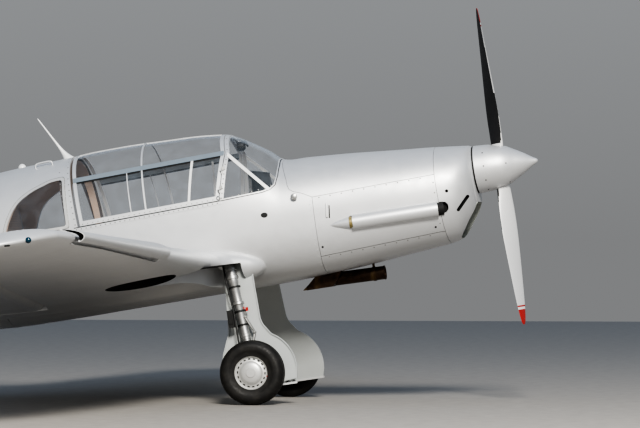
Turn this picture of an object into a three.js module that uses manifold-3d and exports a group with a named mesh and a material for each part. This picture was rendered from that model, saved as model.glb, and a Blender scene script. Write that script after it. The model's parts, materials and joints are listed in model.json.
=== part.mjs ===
// Light touring monoplane: low wing, tail wheel, leading edge slats, folding main wheels.
// Millimetres, +Z up, nose towards +X, port side towards +Y.
// The shapes are laid out in a level datum frame: s is the distance aft of the spinner's tip,
// y the distance to port and z the height over the propeller's axis. The last group turns
// the whole machine nose up until its three wheels stand on one floor.

import * as THREE from 'three';
import { mergeVertices } from 'three/addons/utils/BufferGeometryUtils.js';
import Module from 'manifold-3d';

const wasm = await Module();
wasm.setup();

// Driving dimensions
const PITCH = THREE.MathUtils.degToRad(8.6); // nose up on the ground
const GAP = 0.3;                             // between pieces that touch
const RUN = 6;                               // between pieces that move past each other
const RING_POINTS = 24;                      // round one fuselage frame
const FOIL_POINTS = 7;                       // along one side of a wing section
const COWL_SKIN = 10;
const CABIN_WALL = 30;
const TAIL_SKIN = 14;
const FRAME_DEPTH = 20;
const DOOR_DEPTH = 10;
const FIREWALL_S = 1735;
const CABIN_END_S = 4100;
const STERN_S = 7590;
const PROPELLER = { s: 285, lean: 0 };
const SPINNER = { base: 470, radius: 178 };
const WHEEL = { s: 2223, y: 800, z: -1247, radius: 238, width: 165, rim: 125, axle: 22 };
const TAIL_WHEEL = { s: 7370, radius: 130, width: 76, rim: 70, axle: 10, trail: 150 };
const SLAT = { from: 2200, to: 4400, out: 63, upper: 0.13, lower: 0.035, step: 62, skin: 30 };
// room: the bay's gap at the inner and the outer end, which both move aside as the surface turns
const AILERON = { from: 2730, to: 4740, chord: 0.76, room: [10, 13] };
const FLAP = { from: 640, to: 2680, chord: 0.72, room: [12, 21] };
const RUDDER_HINGE_S = 7625;
const ELEVATOR_HINGE_S = 7545;
const TAILPLANE_Z = 262;

// Finishes: colour, roughness, metalness
const FINISHES = {
  silver: [0xb4b7ba, 0.38, 0.55],
  grey: [0x8d9295, 0.5, 0.3],
  bare: [0xc9cbcc, 0.3, 0.9],
  dark: [0x2c2724, 0.6, 0.6],
  glass: [0xcfd8dc, 0.05, 0.0],
  rubber: [0x24211f, 0.85, 0.0],
  black: [0x181818, 0.6, 0.1],
  blade: [0xd9dadb, 0.35, 0.4],
  lining: [0xa3917d, 0.9, 0.0],
  seat: [0x6b4a35, 0.8, 0.0],
};

// Solids from points, from three.js geometry, and back

function fromTriangles(points, triangles) {
  const kept = triangles.filter(([a, b, c]) => a !== b && b !== c && c !== a);
  let volume = 0;
  for (const [a, b, c] of kept) {
    const [p, q, r] = [points[a], points[b], points[c]];
    volume += p[0] * (q[1] * r[2] - q[2] * r[1]) - p[1] * (q[0] * r[2] - q[2] * r[0])
      + p[2] * (q[0] * r[1] - q[1] * r[0]);
  }
  const outward = volume > 0 ? kept : kept.map(([a, b, c]) => [a, c, b]);
  const mesh = new wasm.Mesh({
    numProp: 3,
    vertProperties: new Float32Array(points.flat()),
    triVerts: new Uint32Array(outward.flat()),
  });
  return new wasm.Manifold(mesh);
}

function fromGeometry(geometry) {
  const bare = geometry.index ? geometry.toNonIndexed() : geometry.clone();
  bare.deleteAttribute('normal');
  bare.deleteAttribute('uv');
  const merged = mergeVertices(bare, 1e-3);
  const place = merged.getAttribute('position');
  const points = [];
  for (let i = 0; i < place.count; i++) points.push([place.getX(i), place.getY(i), place.getZ(i)]);
  const triangles = [];
  for (let i = 0; i < merged.index.count; i += 3) {
    triangles.push([merged.index.getX(i), merged.index.getX(i + 1), merged.index.getX(i + 2)]);
  }
  return fromTriangles(points, triangles);
}

function toGeometry(solid) {
  const mesh = solid.getMesh();
  const geometry = new THREE.BufferGeometry();
  const places = new Float32Array(mesh.numVert * 3);
  for (let i = 0; i < mesh.numVert; i++) {
    for (let k = 0; k < 3; k++) places[i * 3 + k] = mesh.vertProperties[i * mesh.numProp + k];
  }
  geometry.setAttribute('position', new THREE.BufferAttribute(places, 3));
  geometry.setIndex(new THREE.BufferAttribute(new Uint32Array(mesh.triVerts), 1));
  return geometry;
}

// A solid with each of its points put at another place
function moved(solid, place) {
  const mesh = solid.getMesh();
  const points = [];
  for (let i = 0; i < mesh.numVert; i++) {
    const at = i * mesh.numProp;
    points.push(place(...mesh.vertProperties.slice(at, at + 3)));
  }
  const triangles = [];
  for (let i = 0; i < mesh.triVerts.length; i += 3) {
    triangles.push([mesh.triVerts[i], mesh.triVerts[i + 1], mesh.triVerts[i + 2]]);
  }
  return fromTriangles(points, triangles);
}

const mirrored = (solid) => moved(solid, (x, y, z) => [x, -y, z]);
const union = (...solids) => solids.reduce((whole, next) => whole.add(next));
const cut = (solid, ...cutters) => cutters.reduce((whole, next) => whole.subtract(next), solid);

// Basic forms, all in datum coordinates [s, y, z]

function loft(rings) {
  const count = rings[0].length;
  const points = rings.flat().map(([s, y, z]) => [-s, y, z]);
  const triangles = [];
  for (let i = 0; i < rings.length - 1; i++) {
    for (let j = 0; j < count; j++) {
      const a = i * count + j;
      const b = i * count + (j + 1) % count;
      triangles.push([a, b, b + count], [a, b + count, a + count]);
    }
  }
  for (const [first, flip] of [[0, true], [(rings.length - 1) * count, false]]) {
    const middle = points.length;
    const ring = points.slice(first, first + count);
    points.push([0, 1, 2].map((k) => ring.reduce((sum, p) => sum + p[k], 0) / count));
    for (let j = 0; j < count; j++) {
      const a = first + j;
      const b = first + (j + 1) % count;
      triangles.push(flip ? [middle, b, a] : [middle, a, b]);
    }
  }
  return fromTriangles(points, triangles);
}

function outline(points) {
  return new THREE.Shape(points.map(([u, v]) => new THREE.Vector2(u, v)));
}

// A side view outline [s, z], as thick as from y0 to y1
function sidePrism(points, y0, y1) {
  const shape = outline(points.map(([s, z]) => [-s, z]));
  const geometry = new THREE.ExtrudeGeometry(shape, { depth: y1 - y0, bevelEnabled: false });
  return fromGeometry(geometry.rotateX(Math.PI / 2).translate(0, y1, 0));
}

// A plan view outline [s, y], as thick as from z0 to z1
function planPrism(points, z0, z1) {
  const shape = outline(points.map(([s, y]) => [-s, y]));
  const geometry = new THREE.ExtrudeGeometry(shape, { depth: z1 - z0, bevelEnabled: false });
  return fromGeometry(geometry.translate(0, 0, z0));
}

function block(s0, s1, y0, y1, z0, z1) {
  const geometry = new THREE.BoxGeometry(s1 - s0, y1 - y0, z1 - z0);
  return fromGeometry(geometry.translate(-(s0 + s1) / 2, (y0 + y1) / 2, (z0 + z1) / 2));
}

// The place and turn that lay a form's own Y axis from one datum point to another, with
// its own X axis towards the nose, or upwards where the form lies fore and aft
function lay(from, to) {
  const start = new THREE.Vector3(-from[0], from[1], from[2]);
  const end = new THREE.Vector3(-to[0], to[1], to[2]);
  const along = end.clone().sub(start).normalize();
  const hint = Math.abs(along.x) > 0.9 ? new THREE.Vector3(0, 0, 1) : new THREE.Vector3(1, 0, 0);
  const across = hint.addScaledVector(along, -hint.dot(along)).normalize();
  const matrix = new THREE.Matrix4().makeBasis(across, along, across.clone().cross(along));
  return { matrix: matrix.setPosition(start), length: start.distanceTo(end) };
}

function laid(geometry, from, to) {
  return fromGeometry(geometry.applyMatrix4(lay(from, to).matrix));
}

function rod(from, to, radiusFrom, radiusTo = radiusFrom, sides = 16) {
  const { length } = lay(from, to);
  const geometry = new THREE.CylinderGeometry(radiusTo, radiusFrom, length, sides);
  return laid(geometry.translate(0, length / 2, 0), from, to);
}

// A profile of [radius, distance along the axis] turned about the line between two points
function turned(profile, from, to, segments = 28) {
  const points = profile.map(([radius, along]) => new THREE.Vector2(radius, along));
  return laid(new THREE.LatheGeometry(points, segments), from, to);
}

function bentRod(points, radius, sides = 8, steps = 12) {
  const path = new THREE.CatmullRomCurve3(points.map(([s, y, z]) => new THREE.Vector3(-s, y, z)));
  const ring = new THREE.Shape();
  for (let i = 0; i < sides; i++) {
    const angle = (i / sides) * Math.PI * 2;
    const [u, v] = [radius * Math.cos(angle), radius * Math.sin(angle)];
    if (i === 0) ring.moveTo(u, v);
    else ring.lineTo(u, v);
  }
  ring.closePath();
  return fromGeometry(new THREE.ExtrudeGeometry(ring, { steps, extrudePath: path }));
}

// A line moved sideways, to the left of its own direction, with mitred corners
function movedLine(points, distances, closed = false) {
  const count = points.length;
  const edges = closed ? count : count - 1;
  const moved = Array.from({ length: edges }, (_, i) => {
    const [a, b] = [points[i], points[(i + 1) % count]];
    const [du, dv] = [b[0] - a[0], b[1] - a[1]];
    const length = Math.hypot(du, dv);
    const by = Array.isArray(distances) ? distances[i] : distances;
    return { at: [a[0] - dv / length * by, a[1] + du / length * by], along: [du / length, dv / length] };
  });
  const meet = (p, q) => {
    const cross = p.along[0] * q.along[1] - p.along[1] * q.along[0];
    const between = [q.at[0] - p.at[0], q.at[1] - p.at[1]];
    if (Math.abs(cross) < 1e-6) return q.at;
    const t = (between[0] * q.along[1] - between[1] * q.along[0]) / cross;
    return [p.at[0] + p.along[0] * t, p.at[1] + p.along[1] * t];
  };
  const corners = moved.map((edge, i) => {
    if (i > 0 || closed) return meet(moved[(i - 1 + edges) % edges], edge);
    return edge.at;
  });
  if (closed) return corners;
  const last = moved[edges - 1];
  const [a, b] = [points[count - 2], points[count - 1]];
  const length = Math.hypot(b[0] - a[0], b[1] - a[1]);
  return [...corners, [last.at[0] + last.along[0] * length, last.at[1] + last.along[1] * length]];
}

// A band of one width along a side view line, as a prism from y0 to y1
function band(points, width, y0 = -700, y1 = 700) {
  const [left, right] = [width / 2, -width / 2].map((by) => movedLine(points, by));
  return sidePrism([...left, ...right.reverse()], y0, y1);
}

// Smooth values between the rows of a table whose first column is the station
function smoothRow(table, station) {
  const last = table.length - 1;
  if (station <= table[0][0]) return table[0];
  if (station >= table[last][0]) return table[last];
  const i = table.findIndex((row, k) => k < last && station < table[k + 1][0]);
  const [a, b] = [table[i], table[i + 1]];
  const before = table[Math.max(i - 1, 0)];
  const after = table[Math.min(i + 2, last)];
  const span = b[0] - a[0];
  const t = (station - a[0]) / span;
  return a.map((value, k) => {
    if (k === 0) return station;
    const slopeA = before === a ? (b[k] - a[k]) / span : (b[k] - before[k]) / (b[0] - before[0]);
    const slopeB = after === b ? (b[k] - a[k]) / span : (after[k] - a[k]) / (after[0] - a[0]);
    return (2 * t ** 3 - 3 * t ** 2 + 1) * value + (t ** 3 - 2 * t ** 2 + t) * slopeA * span
      + (3 * t ** 2 - 2 * t ** 3) * b[k] + (t ** 3 - t ** 2) * slopeB * span;
  });
}

function straightRow(table, station) {
  const last = table.length - 1;
  if (station <= table[0][0]) return table[0];
  if (station >= table[last][0]) return table[last];
  const i = table.findIndex((row, k) => k < last && station < table[k + 1][0]);
  const t = (station - table[i][0]) / (table[i + 1][0] - table[i][0]);
  return table[i].map((value, k) => value + t * (table[i + 1][k] - value));
}

// Fuselage: s, top, bottom, half width, height of the widest line, roundness above, below
const FRAMES = [
  [482, 180, -290, 215, -30, 2.0, 2.0],
  [500, 186, -340, 262, -55, 2.05, 2.1],
  [560, 193, -412, 318, -80, 2.1, 2.2],
  [620, 200, -478, 350, -110, 2.15, 2.3],
  [690, 207, -506, 372, -130, 2.2, 2.4],
  [765, 215, -519, 388, -140, 2.25, 2.5],
  [1010, 234, -544, 424, -150, 2.3, 2.6],
  [1390, 266, -583, 460, -160, 2.35, 2.7],
  [1700, 285, -606, 488, -165, 2.35, 2.8],
  [1890, 298, -616, 503, -165, 2.35, 2.8],
  [1994, 384, -620, 512, -165, 2.3, 2.8],
  [2113, 462, -624, 521, -165, 2.3, 2.8],
  [2217, 523, -627, 528, -165, 2.3, 2.8],
  [2300, 550, -629, 533, -165, 2.3, 2.8],
  [2504, 571, -632, 542, -165, 2.3, 2.8],
  [2749, 577, -636, 549, -165, 2.3, 2.8],
  [3011, 582, -640, 552, -165, 2.3, 2.8],
  [3326, 575, -645, 548, -160, 2.3, 2.8],
  [3501, 561, -649, 541, -155, 2.3, 2.8],
  [3910, 543, -652, 521, -140, 2.2, 2.7],
  [4100, 528, -650, 508, -132, 2.15, 2.6],
  [4600, 482, -622, 455, -100, 2.1, 2.4],
  [5200, 424, -566, 378, -60, 2.0, 2.2],
  [5800, 366, -488, 296, -25, 2.0, 2.1],
  [6400, 308, -396, 212, 0, 2.0, 2.0],
  [7000, 252, -292, 128, 15, 2.0, 2.0],
  [7400, 216, -220, 70, 15, 2.0, 2.0],
  [7590, 200, -186, 40, 15, 2.0, 2.0],
];

function frameRing(s, inset) {
  const [, top, bottom, half, wide, above, below] = smoothRow(FRAMES, s);
  const ring = [];
  for (let i = 0; i < RING_POINTS; i++) {
    const angle = (i / RING_POINTS) * Math.PI * 2;
    const [c, d] = [Math.cos(angle), Math.sin(angle)];
    const power = 2 / (d >= 0 ? above : below);
    const reach = d >= 0 ? top - inset - wide : wide - bottom - inset;
    ring.push([
      s,
      Math.sign(c) * Math.abs(c) ** power * (half - inset),
      wide + Math.sign(d) * Math.abs(d) ** power * reach,
    ]);
  }
  return ring;
}

// The whole fuselage drawn in by a margin. A margin over zero is an inner wall, which stops
// short of the nose and of the stern.
const hulls = new Map();
function hull(inset = 0) {
  if (!hulls.has(inset)) {
    const first = FRAMES[0][0] + (inset > 0 ? COWL_SKIN : 0);
    const last = STERN_S - (inset > 0 ? 200 : 0);
    const stations = FRAMES.map((row) => row[0]).filter((s) => s > first + 5 && s < last - 5);
    hulls.set(inset, loft([first, ...stations, last].map((s) => frameRing(s, inset))));
  }
  return hulls.get(inset);
}

const FAR = 900;
const skin = (outer, inner) => hull(outer).subtract(hull(inner));
const slab = (s0, s1) => block(s0, s1, -FAR, FAR, -FAR, FAR);

// Seams of the cowling and the cabin, as side view lines [s, z]
const NOSE_SEAM = [[738, 260], [738, 0], [724, -560]];
const FIREWALL_SEAM = [[1648, -30], [1655, -449], [1676, -735]];
const SCUTTLE_SEAM = [
  [1886, 330], [1872, 262], [1850, 190], [1828, 100], [1812, 50], [1780, 30], [1722, 10], [1648, -30],
];
const UPPER_SEAM = [[700, 2], [763, 0], [1648, -30]];
const LOWER_SEAM = [[700, -424], [774, -425], [1643, -473], [1760, -480]];
const aheadOfCabin = sidePrism([
  [400, FAR], [1890, FAR], ...SCUTTLE_SEAM, ...FIREWALL_SEAM.slice(1), [1676, -FAR], [400, -FAR],
], -FAR, FAR);
const behindNose = sidePrism([
  [738, FAR], ...NOSE_SEAM, [724, -FAR], [2000, -FAR], [2000, FAR],
], -FAR, FAR);
const overUpperSeam = sidePrism([
  [300, 2], ...UPPER_SEAM, [2000, -30], [2000, FAR], [300, FAR],
], -FAR, FAR);
const underLowerSeam = sidePrism([
  [300, -424], ...LOWER_SEAM, [2000, -480], [2000, -FAR], [300, -FAR],
], -FAR, FAR);
const seamGaps = [NOSE_SEAM, SCUTTLE_SEAM, FIREWALL_SEAM, UPPER_SEAM, LOWER_SEAM]
  .map((seam) => band(seam, 2 * GAP));

function noseCowl() {
  const bowl = skin(0, COWL_SKIN).intersect(slab(400, 900));
  const shaftHole = rod([400, 0, -20], [600, 0, -20], 125, 125, 20);
  const intake = sidePrism([[440, -330], [700, -330], [700, -400], [440, -470]], -150, 150);
  const intakeTop = sidePrism([[440, -245], [600, -245], [660, -345], [440, -345]], -118, 118);
  return cut(bowl, behindNose, shaftHole, intake, intakeTop, seamGaps[0]);
}

const cowlShell = skin(0, COWL_SKIN).intersect(behindNose).intersect(aheadOfCabin);

function topCowl() {
  return cut(cowlShell.intersect(overUpperSeam), ...seamGaps);
}

function lowerCowl() {
  return cut(cowlShell.intersect(underLowerSeam), ...seamGaps);
}

// The air pipe let into each side panel: its open mouth, its cut rear end and its faired tail
const PIPE = { from: 750, to: 1383, tail: 1504, radius: 60, bore: 50, z: -258 };

function sideCowl() {
  const portSide = block(300, 2000, 0, FAR, -FAR, FAR);
  const panel = cut(cowlShell, overUpperSeam, underLowerSeam, ...seamGaps, portSide);
  const yAt = (s) => -smoothRow(FRAMES, s)[3];
  const start = [PIPE.from, yAt(PIPE.from) + 8, PIPE.z];
  const end = [PIPE.to, yAt(PIPE.to) + 8, PIPE.z - 4];
  const pipe = rod(start, end, PIPE.radius, PIPE.radius, 20);
  const tailFrom = [PIPE.to - 40, yAt(PIPE.to) + 6, PIPE.z];
  const tailTo = [PIPE.tail, yAt(PIPE.tail) + 14, PIPE.z + 16];
  const tail = rod(tailFrom, tailTo, 46, 8, 12);
  const mouth = [PIPE.from - 20, start[1] + 2, PIPE.z];
  const bore = rod(mouth, [PIPE.from + 90, yAt(PIPE.from + 90) + 8, PIPE.z], PIPE.bore, PIPE.bore, 20);
  const inside = hull(COWL_SKIN);
  return cut(union(panel, cut(union(pipe, tail), inside)), bore);
}

// Engine as one plain block with its nose case and four mounting feet
function engineBlock() {
  const feet = [[-190, -60], [190, -60], [-190, -400], [190, -400]]
    .map(([y, z]) => rod([1590, y, z], [FIREWALL_S - GAP, y, z], 16, 16, 10));
  return union(
    block(850, 1600, -230, 230, -430, 90),
    rod([560 + GAP, 0, 0], [900, 0, 0], 85, 130, 24),
    ...feet,
  );
}

function firewall() {
  return hull(CABIN_WALL + GAP).intersect(slab(FIREWALL_S, FIREWALL_S + 12));
}

// Dark exhaust spout under the belly, cut slantwise, with the pipe that feeds it from ahead
function exhaustSpout() {
  const spout = sidePrism([[1887, -700], [1731, -590], [1579, -590], [1655, -700]], -75, 75);
  const hollow = sidePrism([[1930, -730], [1880, -690], [1731, -600], [1690, -600], [1740, -690]], -63, 63);
  return cut(spout, hull(-GAP), hollow);
}

function exhaustPipe() {
  const pipe = rod([1256, 0, -655], [1650, 0, -648], 50, 50, 20);
  const bore = rod([1200, 0, -655], [1560, 0, -650], 42, 42, 20);
  const hanger = block(1330, 1350, -12, 12, -640, -560);
  return cut(union(pipe, hanger), bore, hull(-GAP), sidePrism([
    [1887, -700], [1731, -590], [1578, -589], [1654, -702]], -76, 76));
}

// Canopy lines, as side view lines [s, z]
const SCREEN_BASE = [[1896, 300], [1887, 250], [1908, 107], [1987, 60], [2317, 44]];
const FRONT_ARCH = [[2317, 44], [2249, 399], [2272, 532], [2292, 650]];
const REAR_ARCH = [[3449, 9], [3501, 540], [3512, 650]];
const DIAGONAL = [[2290, 428], [1940, 56]];
const EAVES = [[2240, 400], [3490, 363]];
const MIDDLE_BAR = [[2888, 20], [2905, 640]];
const ARCH_WIDTH = 28;
const SCREEN_EDGE = 12;
const SPINE_HALF = 24;
const QUARTER_WINDOW = [
  [3525, 396], [3686, 364], [3805, 314], [3887, 251], [3952, 147], [3985, 50], [3970, 30], [3520, 34],
];
const CANOPY = [[1896, FAR], ...SCREEN_BASE, ...REAR_ARCH, [3512, FAR]];
const SCREEN = [[1896, FAR], ...SCREEN_BASE, ...FRONT_ARCH.slice(1), [2292, FAR]];
const DOOR_HOLE = [...FRONT_ARCH, [2292, FAR], [3512, FAR], ...[...REAR_ARCH].reverse()];

// An outline drawn in by a margin, or by one margin for each of its edges
function drawnIn(points, margins) {
  const turn = points.reduce((sum, [u, v], i) => {
    const [p, q] = points[(i + 1) % points.length];
    return sum + u * q - v * p;
  }, 0);
  const sign = turn > 0 ? 1 : -1;
  const by = Array.isArray(margins) ? margins.map((value) => value * sign) : margins * sign;
  return movedLine(points, by, true);
}

function cabinTub() {
  const ahead = sidePrism([
    [400, FAR], [1890, FAR], ...SCUTTLE_SEAM, ...FIREWALL_SEAM.slice(1), [1676, -FAR], [400, -FAR],
  ], -FAR, FAR);
  const canopy = sidePrism(CANOPY, -FAR, FAR);
  const windows = sidePrism(QUARTER_WINDOW, -FAR, FAR);
  const wall = skin(0, CABIN_WALL).intersect(slab(1500, CABIN_END_S));
  return cut(wall, ahead, canopy, windows, seamGaps[1], seamGaps[2]);
}

const rearArchBand = band(movedLine(REAR_ARCH, ARCH_WIDTH / 2), ARCH_WIDTH);

function canopyFrame() {
  const screen = sidePrism(SCREEN, -FAR, FAR);
  const pane = sidePrism(drawnIn(SCREEN, SCREEN_EDGE), -FAR, FAR);
  const deep = union(
    band(FRONT_ARCH, ARCH_WIDTH),
    rearArchBand,
    cut(screen, pane),
    sidePrism([[2280, 440], [3495, 440], [3495, 700], [2280, 700]], -SPINE_HALF, SPINE_HALF),
  );
  const heavy = skin(0, FRAME_DEPTH).intersect(deep);
  const light = skin(0, 5.7).intersect(band(DIAGONAL, 24)).intersect(screen);
  const frame = union(heavy, light).intersect(sidePrism(drawnIn(CANOPY, 2 * GAP), -FAR, FAR));
  const knuckles = doorKnuckles(1);
  return union(frame, ...knuckles, ...knuckles.map(mirrored));
}

function windscreenGlass() {
  const edges = [
    ...SCREEN_BASE.map(() => SCREEN_EDGE + GAP), ...FRONT_ARCH.map(() => ARCH_WIDTH / 2 + GAP), 0,
  ];
  return skin(6, 10).intersect(sidePrism(drawnIn(SCREEN, edges), -FAR, FAR));
}

function quarterWindow() {
  return skin(6, 10).intersect(sidePrism(drawnIn(QUARTER_WINDOW, GAP), -FAR, 0));
}

// Doors: each holds the side window and half of the roof, hinged at its front edge
const DOOR_RAIL = 26;
const DOOR_REAR_RUN = 22; // the roof's rear edge draws back a little as the door swings
const doorEdge = (margin) => [
  ...FRONT_ARCH.map(() => ARCH_WIDTH / 2 + RUN + margin), 0,
  ...REAR_ARCH.map(() => ARCH_WIDTH + DOOR_REAR_RUN + margin), RUN + margin * 1.3,
];

function doorSpace(margin) {
  return sidePrism(drawnIn(DOOR_HOLE, doorEdge(margin)), -FAR, -SPINE_HALF - RUN - margin);
}

// Half width of the hull at one station and height over its widest line
function halfWidth(s, z) {
  const [, top, , half, wide, above] = smoothRow(FRAMES, s);
  return half * (1 - ((z - wide) / (top - wide)) ** above) ** (1 / above);
}

// The door turns about a line that touches the hull's side from outside, in the gap behind
// the front arch. Each hinge has one knuckle on the arch and one on the door.
const DOOR_HINGE = { low: 130, high: 270, out: 8, radius: 5, knuckle: 26 };
const doorAxis = (() => {
  const middle = (DOOR_HINGE.low + DOOR_HINGE.high) / 2;
  const [[s0, z0], [s1, z1]] = FRONT_ARCH;
  const aft = ARCH_WIDTH / 2 + RUN / 2;
  const sAt = (z) => s0 + aft + (z - z0) * (s1 - s0) / (z1 - z0);
  const slope = (halfWidth(sAt(middle + 1), middle + 1) - halfWidth(sAt(middle), middle));
  const yAt = (z) => -(halfWidth(sAt(middle), middle) + DOOR_HINGE.out + slope * (z - middle));
  return [DOOR_HINGE.low, DOOR_HINGE.high].map((z) => [sAt(z), yAt(z), z]);
})();

// Knuckles on one side of the axis: forward 1 for the arch, -1 for the door
function doorKnuckles(forward) {
  const { length } = lay(...doorAxis);
  const { radius, knuckle } = DOOR_HINGE;
  return [0, length].map((at) => {
    const middle = at + forward * (knuckle + GAP) / 2;
    const barrel = new THREE.CylinderGeometry(radius, radius, knuckle, 10);
    const leaf = new THREE.BoxGeometry(12, knuckle - 2, 20);
    return union(
      laid(barrel.translate(0, middle, 0), ...doorAxis),
      laid(leaf.translate(forward * 9, middle, -8), ...doorAxis),
    );
  });
}

function doorFrame() {
  const space = doorSpace(0);
  const rails = cut(space, doorSpace(DOOR_RAIL));
  const bars = union(band(EAVES, 24), band(MIDDLE_BAR, 24)).intersect(space);
  const edge = union(skin(0, DOOR_DEPTH).intersect(rails), skin(0, 4.7).intersect(bars));
  return union(edge, ...doorKnuckles(-1));
}

function doorGlass() {
  return skin(5, 8).intersect(doorSpace(DOOR_RAIL + GAP));
}

// Tail cone, hollow and open towards the cabin, with the hole for the tail wheel's post
const UP = [-Math.sin(PITCH), Math.cos(PITCH)]; // the floor's upward direction, in s and z
const POST_RADIUS = 18;
const groundHeight = (s, z) => s * UP[0] + z * UP[1];
const FLOOR = groundHeight(WHEEL.s, WHEEL.z) - WHEEL.radius;
const tailAxleZ = (FLOOR + TAIL_WHEEL.radius - TAIL_WHEEL.s * UP[0]) / UP[1];
const POST = {
  foot: [TAIL_WHEEL.s - TAIL_WHEEL.trail + UP[0] * 190, 0, tailAxleZ + UP[1] * 190],
  head: [TAIL_WHEEL.s - TAIL_WHEEL.trail + UP[0] * 400, 0, tailAxleZ + UP[1] * 400],
};

function tailCone() {
  const cone = skin(0, TAIL_SKIN).intersect(slab(CABIN_END_S + GAP, STERN_S + 100));
  const hole = rod(POST.foot, POST.head, POST_RADIUS + 0.8, POST_RADIUS + 0.8, 24);
  return union(cut(cone, hole), rudderHinge.lugs[0]);
}

function rearBulkhead() {
  return hull(CABIN_WALL + GAP).intersect(slab(4070, 4082));
}

// Cabin inside
const FLOOR_Z = -430;

function cabinFloor() {
  const boards = block(FIREWALL_S + 13, 4069, -FAR, FAR, FLOOR_Z - 20, FLOOR_Z);
  return hull(CABIN_WALL + GAP).intersect(boards);
}

function instrumentPanel() {
  const panel = block(2085, 2110, -FAR, FAR, -110, 235);
  const shelf = block(1935, 2120, -FAR, FAR, 26, 40);
  return hull(CABIN_WALL + GAP).intersect(union(panel, shelf));
}

// The seats end below the window line, so nothing of them shows above the sill
const CUSHION = { under: -345, top: -240 };

function frontSeat() {
  const cushion = block(2560, 3000, -480, -60, CUSHION.under, CUSHION.top);
  const back = sidePrism([[2990, -345], [3070, -345], [3142, -4], [3074, 4], [2960, -240]], -450, -80);
  const base = block(2600, 2980, -440, -100, FLOOR_Z + GAP, CUSHION.under + 10);
  return union(cushion, back, base);
}

function rearBench() {
  const cushion = block(3430, 3850, -440, 440, CUSHION.under, CUSHION.top);
  const back = sidePrism([[3840, -345], [3890, -345], [3955, -4], [3890, 4], [3800, -240]], -430, 430);
  const base = block(3470, 3840, -380, 380, FLOOR_Z + GAP, CUSHION.under + 10);
  return union(cushion, back, base).intersect(hull(CABIN_WALL + 12));
}

function controlColumns() {
  const sticks = [-270, 270].map((y) => bentRod(
    [[2430, y, FLOOR_Z + 30], [2440, y, -250], [2480, y, -120], [2490, y, 10]], 13, 8, 6,
  ));
  const shaft = rod([2430, -290, FLOOR_Z + 30], [2430, 290, FLOOR_Z + 30], 16, 16, 12);
  const feet = [-150, 150].map((y) => block(2405, 2455, y - 15, y + 15, FLOOR_Z + GAP, FLOOR_Z + 40));
  return union(shaft, ...sticks, ...feet);
}

// Wing: y, leading edge s, trailing edge s, leading edge z, thickness, incidence in degrees
const TRAILING = (y) => 4400 - 0.157 * (y - 550);
const LEADING = (y) => 2400 + 0.045 * (y - 550);
const RISE = (y) => -410 + 0.056 * (y - 550);
const WING = [
  [400, 2060, TRAILING(400), -470, 0.132, 2.2],
  [500, 2090, TRAILING(500), -466, 0.135, 2.3],
  [560, 2170, TRAILING(560), -452, 0.14, 2.5],
  [620, 2285, TRAILING(620), -430, 0.146, 2.8],
  [690, 2362, TRAILING(690), -412, 0.15, 3.0],
  [780, LEADING(780), TRAILING(780), RISE(780), 0.152, 3.0],
  [2000, LEADING(2000), TRAILING(2000), RISE(2000), 0.14, 2.6],
  [2700, LEADING(2700), TRAILING(2700), RISE(2700), 0.132, 2.3],
  [3400, LEADING(3400), TRAILING(3400), RISE(3400), 0.125, 2.8],
  [4760, LEADING(4760) + 8, TRAILING(4760), RISE(4760), 0.118, 4.0],
  [4900, 2652, TRAILING(4900), -176, 0.116, 4.0],
  [5020, 2718, 3600, -184, 0.112, 3.8],
  [5140, 2820, 3490, -192, 0.105, 3.6],
  [5210, 2930, 3370, -196, 0.095, 3.2],
  [5250, 3060, 3220, -196, 0.07, 3.0],
];
const CAMBER = 0.02;
const CAMBER_AT = 0.35;
const EDGE = 2; // half the thickness of a trailing edge

function foilHeights(x, thickness) {
  const half = 5 * thickness * (0.2969 * Math.sqrt(x) - 0.126 * x - 0.3516 * x ** 2
    + 0.2843 * x ** 3 - 0.1036 * x ** 4);
  const camber = x < CAMBER_AT
    ? (CAMBER / CAMBER_AT ** 2) * (2 * CAMBER_AT * x - x * x)
    : (CAMBER / (1 - CAMBER_AT) ** 2) * (1 - 2 * CAMBER_AT + 2 * CAMBER_AT * x - x * x);
  return [camber + half, camber - half];
}

function foilPoint(row, x, side) {
  const [y, leading, trailing, z, thickness, incidence] = row;
  const chord = trailing - leading;
  const tilt = THREE.MathUtils.degToRad(incidence);
  const heights = foilHeights(x, thickness);
  const w = heights[side] * chord + (side === 0 ? EDGE : -EDGE) * x;
  const u = x * chord;
  const [c, d] = [Math.cos(tilt), Math.sin(tilt)];
  return [leading + u * c + w * d, y, z - u * d + w * c];
}

const foilStations = Array.from({ length: FOIL_POINTS + 1 }, (_, i) => (
  (1 - Math.cos((i / FOIL_POINTS) * Math.PI)) / 2
));

function foilRing(row) {
  const upper = [...foilStations].reverse().map((x) => foilPoint(row, x, 0));
  const lower = foilStations.slice(1).map((x) => foilPoint(row, x, 1));
  return [...upper, ...lower];
}

function wingRow(y) {
  return straightRow(WING, y);
}

const negativeY = ([s, y, z]) => [s, -y, z];

// The ring of a symmetrical section: from its trailing edge over one side and back
function evenRing(at) {
  const there = [...foilStations].reverse().map((x) => at(x, 1));
  return [...there, ...foilStations.slice(1).map((x) => at(x, -1))];
}

function wingLoft(y0, y1, shift = 0) {
  const rows = [wingRow(y0), ...WING.filter((row) => row[0] > y0 + 1 && row[0] < y1 - 1), wingRow(y1)];
  return loft(rows.map((row) => foilRing(row).map(([s, y, z]) => [s + shift, -y, z])));
}

// A hinge line inside a wing between two stations, at one part of the chord
function hingeLine(row0, row1, chord) {
  const at = (row) => {
    const upper = foilPoint(row, chord, 0);
    const lower = foilPoint(row, chord, 1);
    const middle = upper.map((value, k) => (value + lower[k]) / 2);
    return { point: negativeY(middle), radius: (upper[2] - lower[2]) / 2 };
  };
  return [at(row0), at(row1)];
}

const LUG = { width: 14, slack: 0.3 };

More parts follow.
